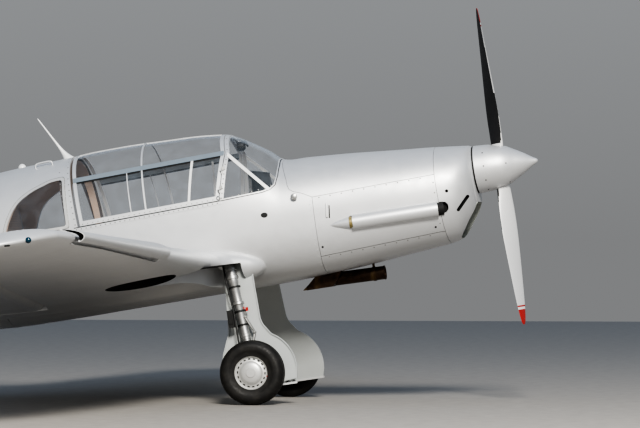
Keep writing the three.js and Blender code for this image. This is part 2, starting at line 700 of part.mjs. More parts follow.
// A hinge lug of the fixed surface and the slot for it in the moving one, about one axis
function hingeLugs(from, to, radius, reach, places) {
  const { length } = lay(from, to);
  const boss = radius * 0.42;
  const lugs = places.map((part) => {
    const middle = part * length;
    const eye = new THREE.CylinderGeometry(boss, boss, LUG.width, 10).translate(0, middle, 0);
    const arm = new THREE.BoxGeometry(reach, LUG.width - 2, boss).translate(reach / 2, middle, 0);
    return union(laid(eye, from, to), laid(arm, from, to));
  });
  const depth = boss + 4;
  const slots = places.map((part) => laid(
    new THREE.BoxGeometry(reach + depth, LUG.width + 2 * LUG.slack, radius * 6)
      .translate((reach - depth) / 2, part * length, 0),
    from, to,
  ));
  return { lugs, slots };
}

// A control surface cut from a wing: the moving piece, the bay it leaves and the lugs
function controlSurface(body, spec, row) {
  const [a, b] = hingeLine(row(spec.from), row(spec.to), spec.chord);
  const far = 900;
  const between = (ahead, inner = 0, outer = 0) => planPrism([
    [a.point[0] + ahead(a), a.point[1] + inner],
    [b.point[0] + ahead(b), b.point[1] - outer],
    [b.point[0] + far, b.point[1] - outer], [a.point[0] + far, a.point[1] + inner],
  ], -1500, 1500);
  const nose = rod(a.point, b.point, a.radius, b.radius, 14).intersect(between(() => -300));
  const spanned = body.intersect(between(() => 0));
  const reach = a.radius + RUN + 12;
  const { lugs, slots } = hingeLugs(a.point, b.point, Math.min(a.radius, b.radius), reach, [0.15, 0.85]);
  return {
    moving: cut(union(spanned, nose), ...slots),
    bay: between((end) => -end.radius - RUN, ...spec.room),
    lugs,
  };
}

// The nose of the wing where the slat lies, ahead of a slanting line
function slatZone(extra, margin) {
  const corner = (y, x, side) => foilPoint(wingRow(y), x, side);
  const rings = [SLAT.from - margin, SLAT.to + margin].map((y) => {
    const up = corner(y, SLAT.upper, 0);
    const down = corner(y, SLAT.lower, 1);
    const lean = [(up[0] - down[0]) / (up[2] - down[2]), 1];
    return [
      [up[0] + extra + lean[0] * 150, -y, up[2] + 150],
      [down[0] + extra - lean[0] * 150, -y, down[2] - 150],
      [down[0] - 500, -y, down[2] - 150],
      [down[0] - 500, -y, up[2] + 150],
    ];
  });
  return loft(rings);
}

const SLAT_TRACKS = [0.2, 0.8];

function slatTracks(width, height, ahead, behind) {
  return SLAT_TRACKS.map((part) => {
    const y = SLAT.from + (SLAT.to - SLAT.from) * part;
    const [s, , z] = foilPoint(wingRow(y), 0, 0);
    return block(s - ahead, s + behind, -y - width / 2, -y + width / 2, z - height / 2, z + height / 2);
  });
}

function slat() {
  const zone = slatZone(0, 0);
  const forward = moved(zone, (x, y, z) => [x + SLAT.out, y, z]);
  const nose = cut(
    wingLoft(SLAT.from, SLAT.to, -SLAT.out).intersect(forward),
    wingLoft(SLAT.from - 50, SLAT.to + 50, SLAT.skin - SLAT.out),
  );
  return union(nose, ...slatTracks(16, 14, SLAT.out - 10, SLAT.step + 60));
}

const LEG = {
  top: [2322, -552, -430], knee: [2262, -622, -1000], foot: [2232, -655, -1262],
  radius: 38, lower: 30, bay: -432,
};
const WELL = { s: 2860, y: -1240, radius: 262, roof: -345 };

const wingSolid = wingLoft(400, 5250);
const aileronCut = controlSurface(wingSolid, AILERON, wingRow);
const flapCut = controlSurface(wingSolid, FLAP, wingRow);

function wing() {
  const zone = slatZone(RUN, RUN);
  const step = wingLoft(SLAT.from - 2 * RUN, SLAT.to + 2 * RUN, SLAT.step)
    .intersect(slatZone(2 * RUN, 2 * RUN));
  const pockets = slatTracks(16.6, 14.6, 0, SLAT.step + 130);
  const legSlot = planPrism([
    [2215, -470], [2400, -470], [2960, -1080], [2760, -1330], [2240, -680],
  ], -1000, LEG.bay);
  const well = rod([WELL.s, WELL.y, -1000], [WELL.s, WELL.y, WELL.roof], WELL.radius, WELL.radius, 32);
  const body = cut(union(cut(wingSolid, zone), step), ...pockets);
  return cut(
    union(cut(body, aileronCut.bay, flapCut.bay), ...aileronCut.lugs, ...flapCut.lugs),
    legSlot, well, hull(-GAP),
  );
}

// Main gear: leg with its stub axle, the cover plate inboard of it, wheel and tyre
function gearLeg() {
  const casing = rod(LEG.top, LEG.knee, LEG.radius, LEG.radius, 12);
  const lower = rod(LEG.knee, LEG.foot, LEG.lower, LEG.lower, 12);
  const onAxle = (y) => [WHEEL.s, y, WHEEL.z];
  const stub = rod(onAxle(LEG.foot[1]), onAxle(-WHEEL.y - 40), WHEEL.axle, WHEEL.axle, 16);
  const collar = rod(onAxle(LEG.foot[1] + 5), onAxle(LEG.foot[1] - 45), 42, 42, 12);
  const clamps = [0.35, 0.97].map((part) => {
    const at = LEG.top.map((value, k) => value + (LEG.knee[k] - value) * part);
    const below = LEG.top.map((value, k) => value + (LEG.knee[k] - value) * (part + 0.03));
    return rod(at, below, LEG.radius + 8, LEG.radius + 8, 12);
  });
  const ceiling = block(2000, 2600, -900, -300, LEG.bay - GAP, -300);
  return cut(union(casing, lower, collar, stub, ...clamps), ceiling);
}

const COVER = { thick: 8, inboard: 62, radius: 300, bottom: -1372 };

function gearCover() {
  const arc = [];
  for (let angle = 118; angle >= -24; angle -= 14.2) {
    const turn = THREE.MathUtils.degToRad(angle);
    arc.push([WHEEL.s - COVER.radius * Math.cos(turn), WHEEL.z + COVER.radius * Math.sin(turn)]);
  }
  const side = [
    [2168, -640], [2150, -905], ...arc.filter(([s]) => s < 2090),
    [1937, COVER.bottom], [2300, COVER.bottom], [2462, -1190], [2462, -1090], [2400, -930], [2386, -640],
  ];
  const plate = sidePrism(side, -COVER.thick / 2, COVER.thick / 2);
  const lean = (LEG.foot[1] - LEG.top[1]) / (LEG.foot[2] - LEG.top[2]);
  const start = LEG.top[1] + COVER.inboard - lean * LEG.top[2];
  const leaning = moved(plate, (x, y, z) => [x, y + start + lean * z, z]);
  const arms = [-720, -940].map((z) => {
    const part = (z - LEG.top[2]) / (LEG.foot[2] - LEG.top[2]);
    const legY = LEG.top[1] + (LEG.foot[1] - LEG.top[1]) * part;
    const legS = LEG.top[0] + (LEG.foot[0] - LEG.top[0]) * part;
    return block(legS - 16, legS + 16, legY, legY + COVER.inboard + 1, z - 12, z + 12);
  });
  const clearance = union(
    rod(LEG.top, LEG.knee, LEG.radius + 2 * GAP, LEG.radius + 2 * GAP, 12),
    rod(LEG.knee, LEG.foot, LEG.lower + 2 * GAP, LEG.lower + 2 * GAP, 12),
  );
  return cut(union(leaning, ...arms), clearance);
}

// Tyre section: radius and distance from the middle, as parts of its height and half width
const TYRE_SECTION = [
  [0, -0.62], [0.2, -0.86], [0.5, -1], [0.8, -0.82], [1, -0.3],
  [1, 0.3], [0.8, 0.82], [0.5, 1], [0.2, 0.86], [0, 0.62],
];

function tyre(spec, centre, segments) {
  const section = TYRE_SECTION.map(([up, across]) => [
    spec.rim + GAP + (spec.radius - spec.rim - GAP) * up, across * spec.width / 2,
  ]);
  const [s, y, z] = centre;
  return turned([...section, section[0]], [s, y, z], [s, y + 1, z], segments);
}

function mainHub() {
  const half = WHEEL.width / 2 * 0.62;
  const profile = [
    [WHEEL.axle + GAP, 50], [50, 50], [112, half], [WHEEL.rim, half], [WHEEL.rim, -half],
    [108, -half - 4], [70, -half - 20], [0, -half - 27], [0, -half - 12],
    [WHEEL.axle + GAP, -half - 12], [WHEEL.axle + GAP, 50],
  ];
  return turned(profile, [WHEEL.s, -WHEEL.y, WHEEL.z], [WHEEL.s, -WHEEL.y + 1, WHEEL.z], 28);
}

function tailHub() {
  const half = TAIL_WHEEL.width / 2 * 0.62;
  const profile = [
    [TAIL_WHEEL.axle + GAP, -half], [TAIL_WHEEL.rim, -half], [TAIL_WHEEL.rim, half],
    [TAIL_WHEEL.axle + GAP, half], [TAIL_WHEEL.axle + GAP, -half],
  ];
  return turned(profile, [TAIL_WHEEL.s, 0, tailAxleZ], [TAIL_WHEEL.s, 1, tailAxleZ], 20);
}

function tailFork() {
  const [s, z] = [TAIL_WHEEL.s, tailAxleZ];
  const top = [POST.foot[0], 0, POST.foot[2]];
  const half = TAIL_WHEEL.width / 2;
  const arms = [-1, 1].map((sign) => {
    const y = sign * (half + 20);
    return rod([s, y, z], [top[0], y, top[2] - 4], 13, 16, 12);
  });
  const bridge = block(top[0] - 24, top[0] + 24, -half - 32, half + 32, top[2] - 18, top[2] + 10);
  const post = rod([top[0], 0, top[2] - 8], POST.head, POST_RADIUS, POST_RADIUS, 24);
  const pin = rod([s, -half - 24, z], [s, half + 24, z], TAIL_WHEEL.axle, TAIL_WHEEL.axle, 16);
  return union(...arms, bridge, post, pin);
}

// Propeller: spinner shell, hub and two blades lying along one line
const SPINNER_OUTLINE = [ // s, radius
  [0, 0], [22, 22], [55, 42], [100, 72], [160, 106], [247, 151], [340, 170], [SPINNER.base, SPINNER.radius],
];
const HUB = { radius: 62, sides: 18, shaft: 46 };
const bladeAxis = (() => {
  const turn = THREE.MathUtils.degToRad(PROPELLER.lean);
  return [0, Math.sin(turn), Math.cos(turn)];
})();
const alongBlade = (distance) => [PROPELLER.s, bladeAxis[1] * distance, bladeAxis[2] * distance];

function spinner() {
  const outer = SPINNER_OUTLINE.map(([s, radius]) => [radius, s]);
  const inner = [[172, SPINNER.base], [164, 340], [144, 247], [60, 100], [0, 60]];
  const cone = turned([...outer, ...inner], [0, 0, 0], [1, 0, 0], 24);
  const holes = rod(alongBlade(-190), alongBlade(190), 60, 60, 12);
  const { base, radius } = SPINNER;
  const plate = rod([base - 8, 0, 0], [base, 0, 0], radius - 3, radius - 3, 24);
  const shaftHole = rod([base - 20, 0, 0], [base + 20, 0, 0], HUB.shaft + GAP, HUB.shaft + GAP, 16);
  return cut(union(cone, plate), holes, shaftHole);
}

function propellerHub() {
  const { s } = PROPELLER;
  const drum = rod([s - 60, 0, 0], [s + 60, 0, 0], HUB.radius, HUB.radius, HUB.sides);
  const shaft = rod([s, 0, 0], [560, 0, 0], HUB.shaft, HUB.shaft, 16);
  return union(drum, shaft);
}

// Blade: distance from the hub, chord, thickness, angle of the blade to the disc in degrees
const BLADE = [
  [HUB.radius * Math.cos(Math.PI / HUB.sides) + GAP, 70, 70, 60],
  [110, 92, 66, 59],
  [165, 110, 54, 57],
  [240, 124, 42, 51],
  [360, 146, 30, 44],
  [560, 165, 20, 34],
  [780, 156, 14, 27],
  [980, 130, 10, 23],
  [1100, 100, 8, 21],
  [1168, 62, 6, 20],
  [1192, 24, 5, 20],
];

function blade(sign) {
  const across = [0, bladeAxis[2], -bladeAxis[1]];
  const rings = BLADE.map(([out, chord, thick, angle]) => {
    const turn = -THREE.MathUtils.degToRad(angle) * sign;
    const ring = [];
    for (let i = 0; i < 12; i++) {
      const around = (i / 12) * Math.PI * 2;
      const u = Math.cos(around) * chord / 2;
      const v = Math.sin(around) * thick / 2;
      const disc = u * Math.cos(turn) - v * Math.sin(turn);
      const fore = u * Math.sin(turn) + v * Math.cos(turn);
      ring.push([
        PROPELLER.s - fore,
        sign * bladeAxis[1] * out + across[1] * disc,
        sign * bladeAxis[2] * out + across[2] * disc,
      ]);
    }
    return ring;
  });
  return loft(rings);
}

// Fin and rudder: z, leading edge s, trailing edge s, thickness
const FIN = [
  [-200, 7500, 7790, 60],
  [-80, 7420, 8020, 78],
  [100, 7220, 8200, 92],
  [200, 6960, 8255, 100],
  [300, 7030, 8283, 100],
  [420, 7150, 8290, 96],
  [560, 7290, 8255, 86],
  [700, 7425, 8140, 72],
  [810, 7530, 7960, 52],
  [855, 7590, 7840, 38],
  [880, 7650, 7745, 24],
];

function finRing([z, leading, trailing, thick]) {
  const chord = trailing - leading;
  const at = (x, sign) => {
    const [upper, lower] = foilHeights(x, thick / chord);
    return [leading + x * chord, sign * ((upper - lower) / 2 * chord + EDGE * x), z];
  };
  return evenRing(at);
}

const finSolid = loft(FIN.map(finRing));
const RUDDER_TOP = 860;
const rudderNose = rod([RUDDER_HINGE_S, 0, -170], [RUDDER_HINGE_S, 0, RUDDER_TOP - 30], 30, 17, 20);
const rudderHinge = hingeLugsUpright([RUDDER_HINGE_S, 0, -170], [RUDDER_HINGE_S, 0, RUDDER_TOP - 30]);

function hingeLugsUpright(from, to) {
  const length = to[2] - from[2];
  const reach = 62;
  const places = [0.1, 0.55, 0.9];
  const lugs = places.map((part) => {
    const z = from[2] + length * part;
    return union(
      rod([from[0], 0, z - 7], [from[0], 0, z + 7], 10, 10, 16),
      block(from[0] - reach, from[0], -5, 5, z - 7, z + 7),
    );
  });
  const slots = places.map((part) => {
    const z = from[2] + length * part;
    return block(from[0] - reach, from[0] + 14, -120, 120, z - 7 - GAP, z + 7 + GAP);
  });
  return { lugs, slots };
}

function fin() {
  const front = block(6500, RUDDER_HINGE_S - 36, -200, 200, 100, FAR + 100);
  const onHinge = (y) => [ELEVATOR_HINGE_S, y, TAILPLANE_Z];
  const tubeHole = rod(onHinge(-100), onHinge(100), 26, 26, 20);
  const body = cut(finSolid.intersect(front), hull(-GAP), tailplaneClear, tubeHole);
  return union(body, rudderHinge.lugs[1], rudderHinge.lugs[2]);
}

function rudder() {
  const behind = block(RUDDER_HINGE_S, 9000, -300, 300, -FAR, FAR);
  return cut(union(finSolid.intersect(behind), rudderNose), ...rudderHinge.slots);
}

// Tailplane: y, leading edge s, trailing edge s, leading edge z, thickness, incidence
const TAILPLANE = [
  [0, 6850, 7920, TAILPLANE_Z, 0.085, 0],
  [1450, 6940, 7870, TAILPLANE_Z, 0.08, 0],
  [1600, 6985, 7820, TAILPLANE_Z, 0.075, 0],
  [1680, 7070, 7730, TAILPLANE_Z, 0.07, 0],
  [1715, 7200, 7600, TAILPLANE_Z, 0.05, 0],
];

function flatFoilRing([y, leading, trailing, z, thickness]) {
  const chord = trailing - leading;
  const at = (x, sign) => {
    const pair = foilHeights(x, thickness);
    return [leading + x * chord, y, z + sign * ((pair[0] - pair[1]) / 2 * chord + EDGE * x)];
  };
  return evenRing(at);
}

function tailplaneLoft(grow = 0) {
  const left = TAILPLANE.map((row) => flatFoilRing(row)
    .map(([s, y, z]) => [s, y, z + Math.sign(z - row[3]) * grow]));
  const right = left.slice(1).reverse().map((ring) => ring.map(negativeY));
  return loft([...right, ...left]);
}

const tailplaneSolid = tailplaneLoft();
const tailplaneClear = tailplaneLoft(GAP)
  .intersect(block(6500, ELEVATOR_HINGE_S - 30, -300, 300, -FAR, FAR));
const ELEVATOR = { inner: 70, radius: 24 };

function elevatorParts() {
  const halves = [];
  const lugs = [];
  const slots = [];
  for (const sign of [-1, 1]) {
    const from = [ELEVATOR_HINGE_S, sign * ELEVATOR.inner, TAILPLANE_Z];
    const to = [ELEVATOR_HINGE_S, sign * 1690, TAILPLANE_Z];
    const behind = planPrism([
      [from[0], from[1]], [to[0], sign * 1800], [8200, sign * 1800], [8200, sign * 440],
    ], -FAR, FAR);
    const nose = rod(from, [to[0], sign * 1660, to[2]], ELEVATOR.radius + 4, ELEVATOR.radius - 6, 20);
    halves.push(union(tailplaneSolid.intersect(behind), nose));
    for (const y of [480, 1380].map((value) => value * sign)) {
      lugs.push(union(
        rod([from[0], y - 7, TAILPLANE_Z], [from[0], y + 7, TAILPLANE_Z], 9, 9, 10),
        block(from[0] - 50, from[0], y - 7, y + 7, TAILPLANE_Z - 5, TAILPLANE_Z + 5),
      ));
      slots.push(block(
        from[0] - 60, from[0] + 13, y - 7 - GAP, y + 7 + GAP, TAILPLANE_Z - 90, TAILPLANE_Z + 90,
      ));
    }
  }
  const onHinge = (y) => [ELEVATOR_HINGE_S, y, TAILPLANE_Z];
  const tube = rod(onHinge(-ELEVATOR.inner - 40), onHinge(ELEVATOR.inner + 40), 18, 18, 16);
  return { moving: cut(union(...halves, tube), ...slots), lugs };
}

const elevatorMade = elevatorParts();

function tailplane() {
  const ahead = block(6500, ELEVATOR_HINGE_S - 28 - RUN, -2000, 2000, -FAR, FAR);
  return cut(union(tailplaneSolid.intersect(ahead), ...elevatorMade.lugs), hull(-GAP));
}

function tailStrut() {
  const strut = rod([7060, -60, -120], [7080, -820, TAILPLANE_Z - 20], 13, 13, 12);
  return cut(strut, hull(-GAP), tailplaneLoft(GAP));
}

function antenna() {
  const mast = rod([3512, 0, 540], [3727, 0, 895], 9, 4, 12);
  const foot = rod([3508, 0, 540], [3546, 0, 604], 22, 9, 12);
  return cut(union(mast, foot), hull(-GAP));
}

function pitotTube() {
  const row = wingRow(3900);
  const [s, , z] = foilPoint(row, 0.3, 1);
  const line = [[s, z + 30], [s - 6, z - 60], [s - 60, z - 95], [s - 420, z - 95]];
  const tube = bentRod(line.map(([at, height]) => [at, 3900, height]), 10, 8, 10);
  return cut(tube, mirrored(wingLoftGrown()));
}

function wingLoftGrown() {
  const rows = WING.map((row) => foilRing(row).map(([s, y, z]) => [s, -y, z - GAP]));
  return loft(rows);
}

// The machine

const level = new THREE.Group();

function material(finish) {
  const [color, roughness, metalness] = FINISHES[finish];
  return new THREE.MeshStandardMaterial({ color, roughness, metalness });
}

function add(name, solid, finish) {
  const mesh = new THREE.Mesh(toGeometry(solid), material(finish));
  mesh.name = name;
  level.add(mesh);
}

// Adds a starboard solid as NAME_right and its mirror image as NAME_left
function addPair(name, solid, finish) {
  add(`${name}_right`, solid, finish);
  add(`${name}_left`, mirrored(solid), finish);
}

add('nose_cowl', noseCowl(), 'silver');
add('top_cowl', topCowl(), 'silver');
addPair('side_cowl', sideCowl(), 'silver');
add('lower_cowl', lowerCowl(), 'silver');
add('engine_block', engineBlock(), 'dark');
add('firewall', firewall(), 'bare');
add('exhaust_spout', exhaustSpout(), 'dark');
add('exhaust_pipe', exhaustPipe(), 'dark');
add('cabin_tub', cabinTub(), 'silver');
add('canopy_frame', canopyFrame(), 'silver');
add('windscreen_glass', windscreenGlass(), 'glass');
addPair('quarter_window', quarterWindow(), 'glass');
addPair('door_frame', doorFrame(), 'silver');
addPair('door_glass', doorGlass(), 'glass');
add('tail_cone', tailCone(), 'silver');
add('rear_bulkhead', rearBulkhead(), 'lining');
add('cabin_floor', cabinFloor(), 'grey');
add('instrument_panel', instrumentPanel(), 'black');
addPair('front_seat', frontSeat(), 'seat');
add('rear_bench', rearBench(), 'seat');
add('control_columns', controlColumns(), 'bare');
addPair('wing', wing(), 'silver');
addPair('aileron', aileronCut.moving, 'silver');
addPair('flap', flapCut.moving, 'silver');
addPair('slat', slat(), 'silver');
addPair('gear_leg', gearLeg(), 'bare');
addPair('gear_cover', gearCover(), 'grey');
addPair('wheel_hub', mainHub(), 'bare');
addPair('tyre', tyre(WHEEL, [WHEEL.s, -WHEEL.y, WHEEL.z], 28), 'rubber');
add('tail_fork', tailFork(), 'grey');
add('tail_hub', tailHub(), 'bare');
add('tail_tyre', tyre(TAIL_WHEEL, [TAIL_WHEEL.s, 0, tailAxleZ], 20), 'rubber');
add('spinner', spinner(), 'silver');
add('propeller_hub', propellerHub(), 'bare');
add('blade_upper', blade(1), 'blade');
add('blade_lower', blade(-1), 'blade');
add('fin', fin(), 'silver');
add('rudder', rudder(), 'silver');
add('tailplane', tailplane(), 'silver');
add('elevator', elevatorMade.moving, 'silver');
addPair('tail_strut', tailStrut(), 'silver');
add('antenna', antenna(), 'bare');
add('pitot_tube', pitotTube(), 'bare');

// Nose up on the floor, with the origin under the middle of the whole machine
level.rotation.y = -PITCH;
const machine = new THREE.Group();
machine.add(level);
machine.updateMatrixWorld(true);
const bounds = new THREE.Box3().setFromObject(machine, true);
machine.position.set(-(bounds.min.x + bounds.max.x) / 2, 0, -bounds.min.z);
machine.updateMatrixWorld(true);

export default machine;
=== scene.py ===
"""Light touring monoplane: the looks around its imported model.

Lengths in the tables are millimetres in a level datum frame: s is the distance aft of the
spinner's tip, y the distance to port and z the height over the propeller's axis. Pieces are
built in metres with x = -s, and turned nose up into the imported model's frame at the end.
"""

import json
import logging
import math
from dataclasses import dataclass, field
from enum import Enum
from typing import Callable, Iterable, Sequence

import bmesh
import bpy
import numpy as np
from mathutils import Matrix, Vector

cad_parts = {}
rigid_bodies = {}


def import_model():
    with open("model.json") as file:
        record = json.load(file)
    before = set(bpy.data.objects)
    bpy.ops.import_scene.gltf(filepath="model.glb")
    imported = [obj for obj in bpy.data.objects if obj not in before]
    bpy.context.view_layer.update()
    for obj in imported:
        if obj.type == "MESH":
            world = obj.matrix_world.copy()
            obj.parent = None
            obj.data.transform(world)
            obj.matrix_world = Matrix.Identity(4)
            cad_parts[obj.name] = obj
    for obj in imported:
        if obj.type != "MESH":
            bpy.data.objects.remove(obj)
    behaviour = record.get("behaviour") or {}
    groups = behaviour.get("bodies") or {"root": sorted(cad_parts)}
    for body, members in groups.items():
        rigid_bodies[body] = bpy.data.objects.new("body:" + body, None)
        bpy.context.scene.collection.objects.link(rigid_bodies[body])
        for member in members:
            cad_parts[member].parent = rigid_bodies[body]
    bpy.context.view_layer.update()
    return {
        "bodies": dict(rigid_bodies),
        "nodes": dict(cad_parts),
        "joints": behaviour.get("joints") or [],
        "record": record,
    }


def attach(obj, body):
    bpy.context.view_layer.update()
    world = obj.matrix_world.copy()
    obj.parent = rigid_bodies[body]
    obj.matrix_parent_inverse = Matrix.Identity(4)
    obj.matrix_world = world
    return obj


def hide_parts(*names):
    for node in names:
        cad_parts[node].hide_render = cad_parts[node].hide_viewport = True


LOG = logging.getLogger("monoplane")

Row = Sequence[float]
Flat = Sequence[float]
Spot = Sequence[float]
Piece = bpy.types.Object

MM = 0.001
PITCH = math.radians(8.6)
FAR = 900.0
# the blades' line, aft of the spinner's tip
PROPELLER_S = 285.0
SHARP_ANGLE = math.radians(32)


class Plane(Enum):
    """The view in which an outline is drawn."""

    SIDE = "side"
    PLAN = "plan"
    FRONT = "front"


class Cut(Enum):
    """How one solid works on another."""

    AWAY = "DIFFERENCE"
    COMMON = "INTERSECT"
    JOINED = "UNION"


class Side(Enum):
    """A side of the machine, with the sign of its y."""

    RIGHT = -1
    LEFT = 1

    @property
    def word(self) -> str:
        """The side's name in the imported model."""
        return self.name.lower()

    @property
    def letter(self) -> str:
        """The side's initial, for the names of copied pieces."""
        return self.word[0]


# Meshes from points


def new_piece(name: str, points: np.ndarray, faces: Iterable[Sequence[int]]) -> Piece:
    """Makes an object from datum points in millimetres.

    Args:
        name: The object's name.
        points: Rows of s, y, z in millimetres.
        faces: Corner numbers of each face.

    Returns:
        The new object, with its faces turned outwards.
    """
    metres = np.asarray(points, float) * (-MM, MM, MM)
    mesh = bpy.data.meshes.new(name)
    mesh.from_pydata([tuple(p) for p in metres], [], [tuple(f) for f in faces])
    turn_outward(mesh)
    piece = bpy.data.objects.new(name, mesh)
    bpy.context.collection.objects.link(piece)
    return piece


def turn_outward(mesh: bpy.types.Mesh) -> None:
    """Turns the faces of a closed mesh outwards."""
    work = bmesh.new()
    work.from_mesh(mesh)
    bmesh.ops.recalc_face_normals(work, faces=work.faces)
    work.to_mesh(mesh)
    work.free()


def loft(name: str, rings: Sequence[np.ndarray], around: bool = False) -> Piece:
    """Skins a row of closed rings with equal numbers of points.

    Args:
        name: The object's name.
        rings: One array of datum points for each ring.
        around: Whether the last ring joins the first, which leaves no caps.

    Returns:
        The closed piece.
    """
    count = len(rings[0])
    points = np.vstack(rings)
    spans = len(rings) if around else len(rings) - 1
    faces: list[list[int]] = []
    for i in range(spans):
        first, second = i * count, (i + 1) % len(rings) * count
        for j in range(count):
            k = (j + 1) % count
            faces.append([first + j, first + k, second + k, second + j])
    if not around:
        middles = np.array([rings[0].mean(axis=0), rings[-1].mean(axis=0)])
        base = len(points)
        points = np.vstack([points, middles])
        last = (len(rings) - 1) * count
        for j in range(count):
            k = (j + 1) % count
            faces.append([base, j, k])
            faces.append([base + 1, last + k, last + j])
    return new_piece(name, points, faces)


def prism(name: str, outline: Sequence[Flat], low: float = -FAR, high: float = FAR,
          plane: Plane = Plane.SIDE) -> Piece:
    """Gives an outline thickness.

    Args:
        name: The object's name.
        outline: Corners, as s and z in the side view, s and y in the plan, y and z in front.
        low: Where the thickness starts, along the view's own depth.
        high: Where it ends.
        plane: The view that the outline is drawn in.

    Returns:
        The closed piece.
    """
    def place(corner: Flat, depth: float) -> tuple[float, float, float]:
        """A corner's datum point at one depth."""
        u, v = corner
        if plane is Plane.SIDE:
            return (u, depth, v)
        if plane is Plane.PLAN:
            return (u, v, depth)
        return (depth, u, v)

    count = len(outline)
    points = [place(c, low) for c in outline] + [place(c, high) for c in outline]
    faces: list[list[int]] = [list(range(count)), list(range(count, 2 * count))[::-1]]
    for i in range(count):
        j = (i + 1) % count
        faces.append([i, j, count + j, count + i])
    return new_piece(name, np.array(points), faces)


def block(name: str, low: Spot, high: Spot) -> Piece:
    """A box between two datum corners, used as a cutter or a hidden core."""
    outline = [(low[0], low[2]), (high[0], low[2]), (high[0], high[2]), (low[0], high[2])]
    return prism(name, outline, low[1], high[1])


def basis(start: Spot, end: Spot, hint: Spot = (0.0, 0.0, 1.0)) -> tuple[np.ndarray, ...]:
    """Three unit directions for a line.

    Args:
        start: The line's first datum point.
        end: Its last one.
        hint: A direction that the second one leans towards.

    Returns:
        The directions along the line, towards the hint and across both.
    """
    along = np.subtract(end, start).astype(float)
    along /= np.linalg.norm(along)
    lean = np.array(hint, float)
    if abs(lean @ along) > 0.95:
        lean = np.array((1.0, 0.0, 0.0))
    lean -= along * (lean @ along)
    lean /= np.linalg.norm(lean)
    return along, lean, np.cross(along, lean)


def turned(name: str, profile: Sequence[Flat], start: Spot, end: Spot,
           segments: int = 64, around: bool = False) -> Piece:
    """Turns a profile about the line from start to end.

    Args:
        name: The object's name.
        profile: Radius and distance along the line for each corner.
        start: The line's first datum point.
        end: A later point of the line.
        segments: How many flats the form has.
        around: Whether the profile is closed, as for a ring or a tyre.

    Returns:
        The closed piece.
    """
    along, up, across = basis(start, end)
    angles = np.arange(segments) * 2 * math.pi / segments
    rings = []
    for radius, distance in profile:
        middle = np.array(start, float) + along * distance
        spokes = np.outer(np.cos(angles), up) + np.outer(np.sin(angles), across)
        rings.append(middle + spokes * max(radius, 0.01))
    return loft(name, rings, around)


def rod(name: str, start: Spot, end: Spot, radius: float, radius_end: float | None = None,
        sides: int = 32, rim: float = 0.0) -> Piece:
    """A round bar between two datum points, with its ends' edges rounded by rim."""
    tip = radius if radius_end is None else radius_end
    length = float(np.linalg.norm(np.subtract(end, start)))
    if rim > 0:
        profile = [(radius - rim, 0), (radius - 0.3 * rim, 0.3 * rim), (radius, rim),
                   (tip, length - rim), (tip - 0.3 * rim, length - 0.3 * rim), (tip - rim, length)]
    else:
        profile = [(radius, 0), (tip, length)]
    return turned(name, profile, start, end, sides)


def swept(name: str, path: Sequence[Spot], radius: Callable[[float], float] | float,
          sides: int = 16) -> Piece:
    """A tube along a line of datum points.

    Args:
        name: The object's name.
        path: Points close enough together for a smooth line.
        radius: One radius, or a function of the share of the path.
        sides: How many flats the tube has.

    Returns:
        The closed piece.
    """
    points = np.array(path, float)
    steps = np.gradient(points, axis=0)
    steps /= np.linalg.norm(steps, axis=1)[:, None]
    lean = np.array((0.0, 0.0, 1.0)) if abs(steps[0][2]) < 0.9 else np.array((1.0, 0.0, 0.0))
    angles = np.arange(sides) * 2 * math.pi / sides
    rings = []
    for i, (middle, along) in enumerate(zip(points, steps)):
        lean = lean - along * (lean @ along)
        lean /= np.linalg.norm(lean)
        across = np.cross(along, lean)
        share = i / (len(points) - 1)
        size = radius(share) if callable(radius) else radius
        spokes = np.outer(np.cos(angles), lean) + np.outer(np.sin(angles), across)
        rings.append(middle + spokes * size)
    return loft(name, rings)


def smooth_path(corners: Sequence[Spot], steps: int = 10) -> list[np.ndarray]:
    """Points on a smooth line through datum corners, steps for each stretch."""
    spots = [np.array(c, float) for c in corners]
    ends = [2 * spots[0] - spots[1], *spots, 2 * spots[-1] - spots[-2]]
    line = []
    for i in range(1, len(ends) - 2):
        a, b, c, d = ends[i - 1:i + 3]
        for k in range(steps):
            t = k / steps
            line.append(0.5 * (2 * b + (c - a) * t + (2 * a - 5 * b + 4 * c - d) * t * t
                               + (3 * b - a - 3 * c + d) * t ** 3))
    line.append(spots[-1])
    return line


def work_on(piece: Piece, how: Cut, *tools: Piece, keep: bool = False) -> Piece:
    """Cuts, trims or joins a piece with others.

    Args:
        piece: The piece that changes.
        how: What is done to it.
        tools: The pieces that do it.
        keep: Whether the tools stay in the scene.

    Returns:
        The changed piece.
    """
    for tool in tools:
        modifier = piece.modifiers.new("work", "BOOLEAN")
        modifier.solver = "MANIFOLD"
        modifier.operation = how.value
        modifier.object = tool
        apply_modifiers(piece)
        if not keep:
            discard(tool)
    return piece


def apply_modifiers(piece: Piece) -> Piece:
    """Turns what a piece's modifiers show into its mesh and takes them off."""
    bpy.context.view_layer.update()
    graph = bpy.context.evaluated_depsgraph_get()
    mesh = bpy.data.meshes.new_from_object(piece.evaluated_get(graph))
    old = piece.data
    piece.modifiers.clear()
    piece.data = mesh
    bpy.data.meshes.remove(old)
    return piece


def discard(*pieces: Piece) -> None:
    """Removes helper objects and their meshes."""
    for piece in pieces:
        mesh = piece.data
        bpy.data.objects.remove(piece)
        bpy.data.meshes.remove(mesh)


def copied(piece: Piece, name: str) -> Piece:
    """A second object with its own mesh."""
    twin = bpy.data.objects.new(name, piece.data.copy())
    bpy.context.collection.objects.link(twin)
    return twin


def reflected(piece: Piece) -> Piece:
    """Moves a piece to the other side of the machine, as its own mirror image."""
    piece.data.transform(Matrix.Scale(-1, 4, (0, 1, 0)))
    piece.data.flip_normals()
    return piece


def mirrored(piece: Piece, name: str) -> Piece:
    """A second object that is the piece's mirror image on the other side."""
    return reflected(copied(piece, name))


